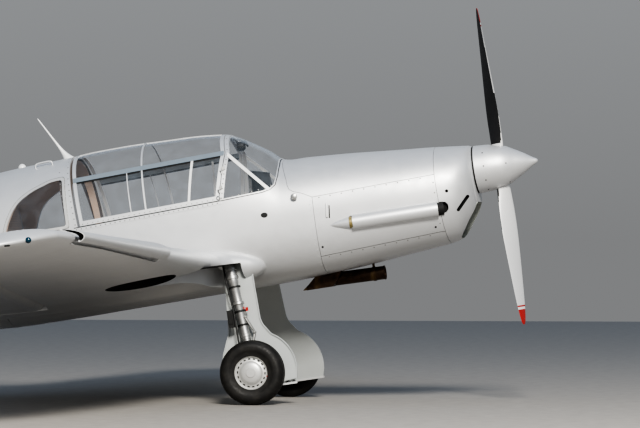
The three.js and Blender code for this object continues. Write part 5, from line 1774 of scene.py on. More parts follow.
def box_on(name: str, place: Spot, ways: Sequence[np.ndarray], low: Spot, high: Spot) -> Piece:
    """A box along three directions of its own.

    Args:
        name: The object's name.
        place: The datum point that its sizes start from.
        ways: Its three unit directions.
        low: Its least reach along each of them.
        high: Its greatest.

    Returns:
        The closed box.
    """
    start = np.array(place, float)

    def corner(i: int, j: int, k: int) -> np.ndarray:
        """One corner of the box."""
        pick = [(low, high)[n][axis] for axis, n in enumerate((i, j, k))]
        return start + sum(way * size for way, size in zip(ways, pick))

    rings = [np.array([corner(i, 0, 0), corner(i, 1, 0), corner(i, 1, 1), corner(i, 0, 1)])
             for i in (0, 1)]
    return loft(name, rings)


@dataclass
class Surface:
    """A control surface: where it lies on its wing, and its hinge."""

    name: str
    start: float
    stop: float
    # part of the wing's chord at which the hinge line lies
    chord: float
    # how much longer the bay is than the surface, at its inner and outer end
    room: tuple[float, float]
    gap: float = 6.0
    lug_width: float = 14.0
    # parts of the hinge line at which the lugs sit
    shares: tuple[float, ...] = (0.15, 0.85)

    def between(self, ends: Sequence[tuple[np.ndarray, float]], ahead: Callable[[float], float],
                inner: float = 0.0, outer: float = 0.0) -> Piece:
        """The plan prism behind the hinge line.

        Args:
            ends: Both ends of the hinge line, each with the half thickness there.
            ahead: How far the prism starts behind the hinge, from the half thickness.
            inner: Room at the inner end.
            outer: Room at the outer end.

        Returns:
            The prism.
        """
        (a, ra), (b, rb) = ends
        return prism("between", [(a[0] + ahead(ra), a[1] + inner), (b[0] + ahead(rb), b[1] - outer),
                                 (b[0] + FAR, b[1] - outer), (a[0] + FAR, a[1] + inner)],
                     -1500, 1500, Plane.PLAN)

    def cut_from(self, wing: Piece, foil: Foil) -> tuple[Piece, Piece, list[Piece]]:
        """Takes the surface out of a wing.

        Args:
            wing: The whole wing.
            foil: Its form.

        Returns:
            The moving piece, the cutter for its bay, and the wing's hinge lugs.
        """
        ends = [foil.hinge(self.start, self.chord), foil.hinge(self.stop, self.chord)]
        (a, ra), (b, rb) = ends
        moving = work_on(copied(wing, f"{self.name}_right"), Cut.COMMON,
                         self.between(ends, lambda r: 0))
        nose = work_on(rod("nose", a, b, ra, rb, 64), Cut.COMMON, self.between(ends, lambda r: -300))
        work_on(moving, Cut.JOINED, nose)
        along = (b - a) / np.linalg.norm(b - a)
        fore = np.array((-1.0, 0, 0)) + along * along[0]
        fore /= np.linalg.norm(fore)
        ways = (along, fore, np.cross(along, fore))
        boss = min(ra, rb) * 0.42
        reach = ra + self.gap + 12
        lugs = []
        for share in self.shares:
            middle = a + (b - a) * share
            half = self.lug_width / 2
            lug = rod("lug", middle - along * half, middle + along * half, boss, sides=28)
            work_on(lug, Cut.JOINED, box_on("arm", middle, ways, (1 - half, 0, -boss / 2),
                                            (half - 1, reach, boss / 2)))
            lugs.append(lug)
            slot = box_on("slot", middle, ways, (-half - 0.3, -boss - 4, -3 * ra),
                          (half + 0.3, reach, 3 * ra))
            work_on(moving, Cut.AWAY, slot)
        bay = self.between(ends, lambda r: -r - self.gap, *self.room)
        return moving, bay, lugs


@dataclass
class Wing:
    """One wing with its slat, aileron, flap, wheel well and leg bay, made to starboard."""

    foil: Foil = field(default_factory=lambda: Foil(WING))
    flap: Surface = field(default_factory=lambda: Surface("flap", 640, 2680, 0.72, (12, 21)))
    aileron: Surface = field(default_factory=lambda: Surface("aileron", 2730, 4740, 0.76, (10, 13)))
    slat: tuple[float, float] = (2200, 4400)
    slat_out: float = 63.0
    slat_skin: float = 30.0
    slat_step: float = 62.0
    bay_height: float = -432.0
    tracks: tuple[float, ...] = (0.2, 0.8)
    # s, y and radius
    well: tuple[float, float, float] = (2860, -1240, 262)
    well_roof: float = -345.0
    light_y: float = 5046.0
    eye_y: float = 5158.0

    def slat_zone(self, extra: float, margin: float, forward: float = 0.0) -> Piece:
        """The room ahead of the line where the slat parts from the wing."""
        rings = []
        for y in (self.slat[0] - margin, self.slat[1] + margin):
            up, down = self.foil.point(y, 0.13, False), self.foil.point(y, 0.035, True)
            lean = (up[0] - down[0]) / (up[2] - down[2])
            rings.append(np.array([
                (up[0] + extra + lean * 150, -y, up[2] + 150),
                (down[0] + extra - lean * 150, -y, down[2] - 150),
                (down[0] - 500, -y, down[2] - 150), (down[0] - 500, -y, up[2] + 150)])
                - (forward, 0, 0))
        return loft("slat_zone", rings)

    def track(self, share: float, size: float, ahead: float, behind: float) -> Piece:
        """One bar that carries the slat, or the pocket for it."""
        y = self.slat[0] + (self.slat[1] - self.slat[0]) * share
        s, _, z = self.foil.point(y, 0, False)
        return block("track", (s - ahead, -y - size / 2 - 1, z - size / 2),
                     (s + behind, -y + size / 2 + 1, z + size / 2))

    def slat_piece(self) -> Piece:
        """The slat, standing forward of the wing on its tracks."""
        nose = self.foil.solid("slat_right_skin", *self.slat, shift=-self.slat_out)
        inner = self.foil.solid("inner", self.slat[0] - 50, self.slat[1] + 50,
                                shift=self.slat_skin - self.slat_out)
        work_on(nose, Cut.COMMON, self.slat_zone(0, 0, self.slat_out))
        work_on(nose, Cut.AWAY, inner)
        for share in self.tracks:
            work_on(nose, Cut.JOINED, self.track(share, 14, self.slat_out - 10, self.slat_step + 60))
        pocket = self.foil.solid("pocket", self.slat[1] - 62, self.slat[1] + 50, shift=7 - self.slat_out)
        work_on(pocket, Cut.COMMON, self.slat_zone(-14, 60, self.slat_out))
        return work_on(nose, Cut.AWAY, pocket)

    def slat_ribs(self) -> Piece:
        """The black ribs that close both ends of the slat, a little way in: painted shade inside its ends."""
        ribs = []
        for y, reach in ((self.slat[0] + 9, 3), (self.slat[1] - 60, 56)):
            rib = self.foil.solid("rib", y, y + reach, shift=8.5 - self.slat_out)
            work_on(rib, Cut.COMMON, self.slat_zone(-15, 0, self.slat_out))
            if reach > 3:
                hollow = self.foil.solid("hollow", y + 3, y + 90, shift=11 - self.slat_out)
                work_on(rib, Cut.AWAY, hollow)
            behind = self.foil.solid("behind", y - 60, y + reach + 60, shift=54 - self.slat_out)
            ribs.append(work_on(rib, Cut.AWAY, behind))
        return joined("slat_ribs", *ribs)

    @staticmethod
    def leg_slot() -> list[tuple[float, float]]:
        """The plan outline of the bay for the folded leg."""
        return rounded([(2215, -470), (2400, -470), (2960, -1080), (2760, -1330), (2240, -680)], 26)

    def panels(self) -> dict[str, Piece]:
        """Cuts the whole wing into its pieces.

        Returns:
            The fixed wing, slat, aileron and flap by name.
        """
        whole = self.foil.solid("wing_right_skin", WING[0][0], WING[-1][0])
        aileron, aileron_bay, aileron_lugs = self.aileron.cut_from(whole, self.foil)
        flap, flap_bay, flap_lugs = self.flap.cut_from(whole, self.foil)
        step = self.foil.solid("step", self.slat[0] - 12, self.slat[1] + 12, shift=self.slat_step)
        work_on(step, Cut.COMMON, self.slat_zone(12, 12))
        work_on(whole, Cut.AWAY, self.slat_zone(6, 6))
        work_on(whole, Cut.JOINED, step)
        for share in self.tracks:
            work_on(whole, Cut.AWAY, self.track(share, 18, 0, self.slat_step + 130))
        work_on(whole, Cut.AWAY, aileron_bay, flap_bay)
        work_on(whole, Cut.JOINED, *aileron_lugs, *flap_lugs)
        s, y, radius = self.well
        well = rod("well", (s, y, -1000), (s, y, self.well_roof), radius, sides=96)
        slot = prism("leg_slot", self.leg_slot(), -1000, self.bay_height, Plane.PLAN)
        work_on(whole, Cut.AWAY, well, slot, HULL.solid(-0.4, 1500, 5000))
        return {"wing": whole, "slat": self.slat_piece(), "aileron": aileron, "flap": flap}

    def bay_lining(self) -> Piece:
        """Black walls and roof inside the leg bay and the wheel well: painted shade in these recesses."""
        s, y, radius = self.well
        low = -560.0
        roof = prism("bay_lining_right", drawn_in(self.leg_slot(), 1.0), self.bay_height - 6,
                     self.bay_height - 1, Plane.PLAN)
        cup = turned("cup", [(radius - 1, 0), (radius - 1, 190), (1, 190), (1, 186),
                             (radius - 5, 186), (radius - 5, 0)],
                     (s, y, self.well_roof - 191), (s, y, self.well_roof), 96)
        under = self.foil.solid("under", WING[0][0], 2000)
        lower = work_on(under, Cut.COMMON, block("low", (1500, -FAR * 2, low), (5000, 0, 0)))
        work_on(cup, Cut.COMMON, lower)
        return joined("bay_lining_right", roof, cup)

    def lights(self, dresser: Dresser, side: Side) -> None:
        """The coloured light and the small black eye at one wing tip."""
        sign = side.value
        s, y, z = self.foil.point(self.light_y, 0.0, False)
        ball = [(1, -20.5), (8, -19), (14.5, -14.5), (19, -8), (20.5, 0), (19, 8), (14.5, 14.5), (8, 19),
                (1, 20.5)]
        lens = turned(f"tip_light_{side.word}", ball, (s - 5, y * -sign, z - 3),
                      (s - 4, y * -sign, z - 3), 32)
        dresser.place(lens, GREEN_LENS if side is Side.RIGHT else RED_LENS)
        s, y, z = self.foil.point(self.eye_y, 0.0, False)
        eye = rod(f"tip_eye_{side.word}", (s + 12, -sign * (y - 24), z - 14),
                  (s - 8, -sign * (y + 20), z - 14), 6, sides=20, rim=2)
        dresser.place(eye, BLACK)

    def build(self, dresser: Dresser) -> None:
        """Makes and places both wings."""
        pieces = self.panels()
        # the bays' black lining and the slat's black end ribs are painted shade
        lining = self.bay_lining()
        ribs = self.slat_ribs()
        for side in Side:
            for part, piece in pieces.items():
                body = "airframe" if part == "wing" else f"{part}_{side.word}"
                dresser.place(for_side(side, piece, f"{part}_skin_{side.word}"), SILVER, body,
                              f"{part}_{side.word}")
            dresser.place(for_side(side, lining, f"bay_lining_{side.letter}"), SHADE_BLACK)
            dresser.place(for_side(side, ribs, f"slat_ribs_{side.letter}"), SHADE_BLACK, f"slat_{side.word}")
            self.lights(dresser, side)
        discard(lining, ribs, *pieces.values())


# Tail


@dataclass
class TailUnit:
    """Fin, rudder, strutted tailplane and elevator."""

    foil: Foil = field(default_factory=lambda: Foil(TAILPLANE, camber=0.0, count=32))
    rudder_s: float = 7625.0
    rudder_span: tuple[float, float] = (-170, 830)
    elevator_s: float = 7545.0
    height: float = 262.0
    inner: float = 70.0
    # where the elevator's hinge lugs sit, from the middle
    lugs: tuple[float, ...] = (480, 1380)

    def fin_solid(self) -> Piece:
        """Fin and rudder as one form."""
        shares = self.foil.shares
        rings = []
        for z in sorted({*stations(FIN[0][0], FIN[-1][0], 30), *(r[0] for r in FIN)}):
            _, lead, trail, thick = smooth_row(FIN, z)
            chord = trail - lead
            half = [(self.foil.heights(x, thick / chord)[0]) * chord + 2 * x for x in shares]
            there = [(lead + x * chord, h, z) for x, h in zip(shares[::-1], half[::-1])]
            back = [(lead + x * chord, -h, z) for x, h in zip(shares[1:], half[1:])]
            rings.append(np.array(there + back))
        kept = [r for i, r in enumerate(rings) if i == 0 or r[0][2] - rings[i - 1][0][2] > 2]
        return loft("fin_solid", kept)

    def tail_solid(self, name: str) -> Piece:
        """The whole tailplane, from tip to tip."""
        half = self.foil.solid(name, TAILPLANE[0][0], TAILPLANE[-1][0])
        return work_on(half, Cut.JOINED, mirrored(half, "other"))

    def rudder_lugs(self) -> list[tuple[Piece, Piece]]:
        """Each hinge lug of the rudder with the slot for it."""
        made = []
        s = self.rudder_s
        low, high = self.rudder_span
        for share in (0.1, 0.55, 0.9):
            z = low + (high - low) * share
            lug = rod("lug", (s, 0, z - 7), (s, 0, z + 7), 10, sides=28)
            work_on(lug, Cut.JOINED, block("arm", (s - 62, -5, z - 6.5), (s, 5, z + 6.5)))
            made.append((lug, block("slot", (s - 62, -120, z - 7.3), (s + 14, 120, z + 7.3))))
        return made

    def build_fin(self, dresser: Dresser) -> None:
        """Makes and places the fin and the rudder."""
        whole = self.fin_solid()
        lugs = self.rudder_lugs()
        rudder = work_on(copied(whole, "rudder_skin"), Cut.COMMON,
                         block("behind", (self.rudder_s, -300, -FAR), (9000, 300, FAR + 100)))
        low, high = self.rudder_span
        nose = rod("nose", (self.rudder_s, 0, low), (self.rudder_s, 0, high), 30, 17, sides=48)
        work_on(rudder, Cut.JOINED, nose)
        work_on(rudder, Cut.AWAY, *[slot for _, slot in lugs])
        dresser.place(rudder, SILVER, "rudder", "rudder")
        work_on(whole, Cut.COMMON, block("front", (6500, -200, 100), (self.rudder_s - 36, 200, FAR + 100)))
        tube = rod("tube", (self.elevator_s, -100, self.height), (self.elevator_s, 100, self.height), 26)
        work_on(whole, Cut.AWAY, HULL.solid(-0.3, 6500, 7590), tube)
        work_on(whole, Cut.JOINED, lugs[1][0], lugs[2][0])
        dresser.place(whole, SILVER, "airframe", "fin")
        dresser.place(lugs[0][0], SILVER)

    def elevator_half(self, whole: Piece, side: Side) -> Piece:
        """One half of the elevator, with a round nose and a slot for each lug."""
        sign = side.value
        s, height = self.elevator_s, self.height
        behind = prism("behind", [(s, sign * self.inner), (s, sign * 1800), (8200, sign * 1800),
                                  (8200, sign * 440)], plane=Plane.PLAN)
        half = work_on(copied(whole, f"half_{side.word}"), Cut.COMMON, behind)
        nose = rod("nose", (s, sign * self.inner, height), (s, sign * 1660, height), 28, 18, sides=48)
        work_on(half, Cut.JOINED, nose)
        slots = [block("slot", (s - 60, sign * y - 7.3, height - 90), (s + 13, sign * y + 7.3, height + 90))
                 for y in self.lugs]
        return work_on(half, Cut.AWAY, *slots)

    def build_tailplane(self, dresser: Dresser) -> None:
        """Makes and places the tailplane and the elevator."""
        whole = self.tail_solid("tailplane_skin")
        s, height = self.elevator_s, self.height
        right, left = (self.elevator_half(whole, side) for side in Side)
        elevator = work_on(right, Cut.JOINED, left)
        work_on(elevator, Cut.JOINED, rod("tube", (s, -110, height), (s, 110, height), 18))
        elevator.name = "elevator_skin"
        dresser.place(elevator, SILVER, "elevator", "elevator")
        work_on(whole, Cut.COMMON, block("ahead", (6500, -2000, -FAR), (s - 34, 2000, FAR)))
        for y in [side.value * lug for side in Side for lug in self.lugs]:
            lug = rod("lug", (s, y - 7, height), (s, y + 7, height), 9, sides=24)
            arm = block("arm", (s - 50, y - 6.5, height - 5), (s, y + 6.5, height + 5))
            work_on(whole, Cut.JOINED, work_on(lug, Cut.JOINED, arm))
        work_on(whole, Cut.AWAY, HULL.solid(-0.3, 6400, 7590))
        dresser.place(whole, SILVER, "airframe", "tailplane")

    def build(self, dresser: Dresser) -> None:
        """Makes and places the whole tail."""
        self.build_fin(dresser)
        self.build_tailplane(dresser)
        for side in Side:
            self.strut(dresser, side)

    def strut(self, dresser: Dresser, side: Side) -> None:
        """One streamlined strut under the tailplane."""
        sign = side.value
        start = np.array((7060, sign * 60, -120))
        end = np.array((7080, sign * 820, self.height - 20))
        along, _, across = basis(start, end, (1, 0, 0))
        chordwise = np.cross(across, along)
        angles = np.arange(28) * 2 * math.pi / 28
        rings = []
        for t in np.linspace(0, 1, 14):
            taper = 1 - 0.25 * max(0.0, (abs(t - 0.5) - 0.35) / 0.15)
            rings.append(start + (end - start) * t + np.outer(np.cos(angles) * 13 * taper, chordwise)
                         + np.outer(np.sin(angles) * 7.5 * taper, across))
        piece = loft(f"tail_strut_form_{side.word}", rings)
        work_on(piece, Cut.AWAY, HULL.solid(-0.3, 6400, 7590))
        dresser.place(piece, SILVER, "airframe", f"tail_strut_{side.word}")


# Main gear, tail wheel and propeller


@dataclass
class Wheel:
    """A tyre on its hub."""

    radius: float
    width: float
    rim: float
    grooves: tuple[float, ...] = (-0.42, -0.14, 0.14, 0.42)

    @property
    def hub_half(self) -> float:
        """Half the hub's width, which is narrower than the tyre."""
        return self.width / 2 * 0.62

    def tyre(self, name: str, start: Spot, end: Spot) -> Piece:
        """The tyre, with round shoulders, grooves in the tread and ribs on the walls."""
        height = self.radius - self.rim
        half = self.width / 2
        rows: list[tuple[float, float]] = []
        steps = 44
        for i in range(steps + 1):
            angle = math.pi * (i / steps) * 1.28 - math.pi * 0.14
            c, d = math.cos(angle), math.sin(angle)
            across = -math.copysign(abs(c) ** 0.82, c)
            up = 0.5 + 0.5 * math.copysign(abs(d) ** 0.8, d)
            rows.append((self.rim + height * up, half * across))
        line: list[tuple[float, float]] = []
        for radius, across in rows:
            depth = 0.0
            if radius > self.rim + height * 0.9:
                depth = 3.2 * max(0.0, 1 - min(abs(across / half - g) for g in self.grooves) / 0.05)
            elif self.rim + height * 0.55 < radius < self.rim + height * 0.62:
                depth = -1.0
            line.append((radius - depth, across))
        fine = self.resampled(line)
        floor = [(self.rim, line[-1][1] * 0.98), (self.rim, line[0][1] * 0.98)]
        return turned(name, [*fine, *floor], start, end, 96, around=True)

    def resampled(self, line: Sequence[Flat]) -> list[tuple[float, float]]:
        """Adds the square edges of the grooves to the section."""
        half = self.width / 2
        out: list[tuple[float, float]] = []
        for a, b in zip(line[:-1], line[1:]):
            out.append(tuple(a))
            for g in self.grooves:
                middle = g * half
                if a[1] < middle <= b[1] and a[0] > self.rim + 0.85 * (self.radius - self.rim):
                    top = max(a[0], b[0])
                    for across, deep in ((-3.2, 0), (-2.4, 4.2), (2.4, 4.2), (3.2, 0)):
                        out.append((top - deep, middle + across))
        out.append(tuple(line[-1]))
        return out


@dataclass
class MainGear:
    """One main leg with its cover plate and wheel, made to starboard."""

    top: tuple[float, float, float] = (2322, -552, -430)
    knee: tuple[float, float, float] = (2262, -622, -1000)
    foot: tuple[float, float, float] = (2232, -655, -1262)
    centre: tuple[float, float, float] = (2223, -800, -1247)
    casing: float = 38.0
    inboard: float = 62.0
    arc: float = 300.0
    bottom: float = -1372.0
    wheel: Wheel = field(default_factory=lambda: Wheel(238, 165, 125))

    def along(self, share: float) -> np.ndarray:
        """A point of the casing's middle line, from its top to the knee."""
        return np.array(self.top) + (np.array(self.knee) - self.top) * share

    def leg(self) -> Piece:
        """The casing with its collars and clamps."""
        length = float(np.linalg.norm(np.subtract(self.knee, self.top)))
        r = self.casing
        profile = [(r - 8, 0), (r, 6), (r, 30), (r + 7, 33), (r + 7, 52), (r, 55), (r, 92), (r + 7, 95),
                   (r + 7, 116), (r + 1, 119), (r, 150), (r - 3, 156), (r - 3, length * 0.50),
                   (r, length * 0.505), (r + 6, length * 0.51), (r + 6, length * 0.54),
                   (r - 2, length * 0.545), (r - 5, length * 0.56), (r - 5, length * 0.93),
                   (r, length * 0.935), (r, length * 0.965), (r - 4, length * 0.97), (r - 4, length),
                   (1, length)]
        casing = turned("leg_casing_right", [(1, 0), *profile], self.top, self.knee, 56)
        fork_length = float(np.linalg.norm(np.subtract(self.foot, self.knee)))
        lower = turned("fork", [(1, -6), (28, -6), (30, 0), (30, 40), (27, 60), (31, fork_length - 60),
                                (36, fork_length - 40), (36, fork_length + 16), (30, fork_length + 24),
                                (1, fork_length + 24)], self.knee, self.foot, 48)
        work_on(casing, Cut.JOINED, lower)
        s, _, z = self.centre
        axle = turned("axle", [(1, -6), (40, -6), (44, -2), (44, 40), (40, 44), (24, 46), (21.5, 50),
                               (21.5, 178), (18, 182), (1, 182)],
                      (s, self.foot[1] + 4, z), (s, self.foot[1] - 60, z), 48)
        work_on(casing, Cut.JOINED, axle)
        return work_on(casing, Cut.AWAY, self.ceiling(-432.5))

    @staticmethod
    def ceiling(height: float) -> Piece:
        """Everything over the leg bay's roof."""
        return block("ceiling", (2000, -900, height), (2600, -300, -300))

    def links(self) -> Piece:
        """The two torque links ahead of the leg."""
        parts = []
        for z0, z1, s_out in ((-835, -955, 70), (-1075, -955, 70)):
            for dy in (-20, 20):
                a = self.point_at(z0, 26, dy)
                b = self.point_at(z1, s_out, dy * 0.4)
                parts.append(rod("link", a, b, 8, 7, 16, 1.5))
        for name, z, ahead, reach, radius in (("pin", -955, 70, 24, 9), ("lug", -835, 26, 28, 11),
                                              ("lug", -1075, 26, 28, 11)):
            parts.append(rod(name, self.point_at(z, ahead, -reach), self.point_at(z, ahead, reach), radius,
                             sides=20, rim=1.5))
        return joined("leg_links_right", *parts)

    def point_at(self, z: float, ahead: float, aside: float) -> np.ndarray:
        """A point beside the leg's middle line at one height."""
        share = (z - self.top[2]) / (self.foot[2] - self.top[2])
        s = self.top[0] + (self.foot[0] - self.top[0]) * share
        y = self.top[1] + (self.foot[1] - self.top[1]) * share
        return np.array((s - ahead, y + aside, z))

    def hose(self) -> Piece:
        """The brake hose that runs down the leg to the wheel."""
        route = ((-440, -48, -10), (-600, -50, -22), (-760, -46, -20), (-900, -54, -24),
                 (-1040, -62, -20), (-1150, -52, -14), (-1225, -36, -20), (-1246, -20, -34))
        return swept("brake_hose_right", smooth_path([self.point_at(*spot) for spot in route], 8), 6.5, 14)

    def cover_outline(self) -> list[tuple[float, float]]:
        """The cover plate's side view: a strut above a disc that hides the wheel."""
        s, _, z = self.centre
        arc = []
        for angle in np.arange(118, -25, -4.0):
            turn = math.radians(float(angle))
            point = (s - self.arc * math.cos(turn), z + self.arc * math.sin(turn))
            if point[0] < 2090:
                arc.append(point)
        front = [(2168, -440), (2160, -640), (2150, -860), (2136, -905)]
        rear = [(1937, self.bottom), (2300, self.bottom), (2462, -1190), (2474, -1140), (2462, -1085),
                (2400, -930), (2386, -640), (2386, -440)]
        return rounded([*front, *arc, *rear], 16, 3)

    def leaned(self, piece: Piece) -> Piece:
        """Leans a piece drawn at y = 0 so that it runs beside the leg."""
        lean = (self.foot[1] - self.top[1]) / (self.foot[2] - self.top[2])
        start = self.top[1] + self.inboard - lean * self.top[2]
        for vertex in piece.data.vertices:
            vertex.co.y += (start + lean * vertex.co.z / MM) * MM
        return piece

    def cover(self) -> Piece:
        """The cover plate, with a rolled edge, a flange and its brackets."""
        outline = self.cover_outline()
        plate = self.leaned(prism("leg_cover_plate_right", outline, -3, 3))
        rim = work_on(prism("rim", outline, -13, 3), Cut.AWAY,
                      prism("inside", drawn_in(outline, 7), -30, 30))
        self.leaned(rim)
        work_on(plate, Cut.JOINED, rim)
        for z in (-720, -940):
            low, high = self.point_at(z, 14, 0), self.point_at(z, -14, self.inboard)
            arm = block("arm", (low[0], low[1], z - 11), (high[0], high[1] + 1, z + 11))
            work_on(plate, Cut.JOINED, arm)
        clear = rod("clear", self.top, self.knee, self.casing + 8.5, sides=40)
        lower = rod("clear", self.knee, self.foot, 37.2, sides=40)
        work_on(plate, Cut.AWAY, clear, lower)
        return work_on(plate, Cut.AWAY, self.ceiling(-433))

    def bevel_strip(self) -> Piece:
        """The light strip along the cover's bottom edge."""
        top = self.bottom + 14
        outline = [(1938, self.bottom), (2300, self.bottom), (2310, top), (1936, top)]
        return self.leaned(prism("cover_strip_right", outline, -15, 7))

    def hub(self) -> Piece:
        """The wheel's outer face: rim ring, disc, dome and boss; hub_slots cuts the disc's slots."""
        half = self.wheel.hub_half
        s, y, z = self.centre
        profile = [(22.3, 50), (50, 50), (56, 46), (108, half - 6), (118, half), (124.6, half + 6),
                   (124.6, half), (124.6, -half), (124.6, -half - 7), (121, -half - 9), (117, -half - 6),
                   (112, -half + 2), (92, -half - 1), (86, -half - 4), (84, -half - 9), (78, -half - 17),
                   (64, -half - 23), (46, -half - 27), (36, -half - 28), (35, -half - 31),
                   (33, -half - 33), (10, -half - 34), (1, -half - 34), (1, -half - 12), (22.3, -half - 12)]
        return turned("hub_body_right", profile, (s, y, z), (s, y + 1, z), 96, around=True)

    def slot_floor(self) -> Piece:
        """The black ring seen through the hub's slots: painted shade."""
        half = self.wheel.hub_half
        s, y, z = self.centre
        ring = [(93, -half + 3), (110, -half + 3), (110, -half + 7), (93, -half + 7)]
        return turned("slot_floor_right", ring, (s, y, z), (s, y + 1, z), 72, around=True)

    def rim_mark(self) -> Piece:
        """The small red mark across rim and tyre that shows a slipped tyre."""
        half = self.wheel.hub_half
        s, y, z = self.centre
        angle = math.radians(-20)
        c, d = math.cos(angle), math.sin(angle)
        ways = (np.array((0.0, 1.0, 0.0)), np.array((-c, 0.0, d)), np.array((d, 0.0, c)))
        return box_on("rim_mark_right", (s, y, z), ways, (-half - 11, 117, -5), (-half - 3, 133, 5))

    def leg_fittings(self) -> Piece:
        """The black switch box behind the leg and its cable clamps."""
        plate = block("leg_switch_right", (2330, -672, -900), (2372, -640, -770))
        work_on(plate, Cut.JOINED, block("step", (2338, -680, -870), (2364, -668, -800)))
        rims = []
        for share in (0.3, 0.62, 0.8):
            start = self.along(share)
            way = self.along(share + 0.022) - start
            rims.append(turned("clamp", [(36, 0), (44, 0), (45, 3), (45, 9), (44, 12), (36, 12)],
                               tuple(start), tuple(start + way), 40, around=True))
        return joined("leg_fittings_right", plate, *rims)

    def placard(self) -> Piece:
        """The two small plates ahead of the leg."""
        parts = [block("plate", (2222, -604, -792), (2242, -598, -764)),
                 block("plate", (2248, -604, -786), (2266, -598, -758))]
        return joined("leg_plates_right", *parts)

    def hub_slots(self, hub: Piece, count: int = 18) -> Piece:
        """Cuts the ring of slots round the hub's disc, from one repeated cutter."""
        half = self.wheel.hub_half
        s, y, z = self.centre
        cutters = []
        for i in range(count):
            angle = (i + 0.5) * 2 * math.pi / count
            c, d = math.cos(angle), math.sin(angle)
            ways = (np.array((0.0, 1.0, 0.0)), np.array((c, 0.0, d)), np.array((-d, 0.0, c)))
            cutters.append(box_on("slot", (s, y, z), ways, (-half - 20, 97, -9), (-half + 4, 107, 9)))
        return work_on(hub, Cut.AWAY, joined("slots", *cutters))

    def build(self, dresser: Dresser) -> None:
        """Makes and places both legs with their wheels."""
        s, y, z = self.centre
        tyre = self.wheel.tyre("tyre_body_right", (s, y, z), (s, y + 1, z))
        parts = {
            "leg_casing": (self.leg(), BARE, "airframe", "gear_leg"),
            "leg_links": (self.links(), CAST, "airframe", ""),
            "brake_hose": (self.hose(), BLACK, "airframe", ""),
            "leg_cover_plate": (self.cover(), COVER_GREY, "airframe", "gear_cover"),
            "cover_strip": (self.bevel_strip(), SILVER, "airframe", ""),
            "leg_fittings": (self.leg_fittings(), BLACK, "airframe", ""),
            "leg_plates": (self.placard(), TIP_RED, "airframe", ""),
            "hub_body": (self.hub_slots(self.hub()), HUB_SILVER, "wheel", "wheel_hub"),
            "slot_floor": (self.slot_floor(), SHADE_BLACK, "wheel", ""),
            "rim_mark": (self.rim_mark(), TIP_RED, "wheel", ""),
            "tyre_body": (tyre, RUBBER, "wheel", "tyre"),
        }
        for name, (piece, finish, body, node) in parts.items():
            for side in Side:
                carrier = f"wheel_{side.word}" if body == "wheel" else body
                nodes = [f"{node}_{side.word}"] if node else []
                dresser.place(for_side(side, piece, f"{name}_{side.letter}"), finish, carrier, *nodes)
            discard(piece)


@dataclass
class TailWheel:
    """The swivelling tail wheel in its fork."""

    s: float = 7370.0
    z: float = -577.82
    wheel: Wheel = field(default_factory=lambda: Wheel(130, 76, 70, (-0.2, 0.2)))

    def fork(self) -> Piece:
        """Post, bridge and two arms."""
        foot = tail_post(0)
        half = self.wheel.width / 2
        post = rod("tail_fork_form", (foot[0], 0, foot[2] - 8), tail_post(210), 18, sides=48, rim=1.5)
        outline = rounded([(foot[0] - 26, foot[2] - 16), (foot[0] - 22, foot[2] + 10),
                           (foot[0] + 22, foot[2] + 10), (foot[0] + 28, foot[2] - 16)], 8)
        bridge = prism("bridge", outline, -half - 32, half + 32)
        work_on(post, Cut.JOINED, bridge)
        for sign in (-1, 1):
            y = sign * (half + 20)
            arm = rod("arm", (self.s, y, self.z), (foot[0], y, foot[2] - 4), 13, 16, sides=32)
            boss = rod("boss", (self.s, y - 9, self.z), (self.s, y + 9, self.z), 20, sides=36, rim=2)
            work_on(post, Cut.JOINED, arm, boss)
        pin = rod("pin", (self.s, -half - 26, self.z), (self.s, half + 26, self.z), 10, sides=28)
        return work_on(post, Cut.JOINED, pin)

    def build(self, dresser: Dresser) -> None:
        """Makes and places fork, hub and tyre."""
        dresser.place(self.fork(), COVER_GREY, "tail_fork", "tail_fork")
        start, end = (self.s, 0, self.z), (self.s, 1, self.z)
        half = self.wheel.hub_half
        profile = [(10.3, -half - 6), (22, -half - 6), (24, -half + 2), (54, -half + 4), (60, -half - 1),
                   (69.6, -half - 3), (69.6, half + 3), (60, half + 1), (54, half - 4), (24, half - 2),
                   (22, half + 6), (10.3, half + 6)]
        hub = turned("tail_hub_form", profile, start, end, 64, around=True)
        dresser.place(hub, BARE, "tail_wheel", "tail_hub")
        dresser.place(self.wheel.tyre("tail_tyre_form", start, end), RUBBER, "tail_wheel", "tail_tyre")


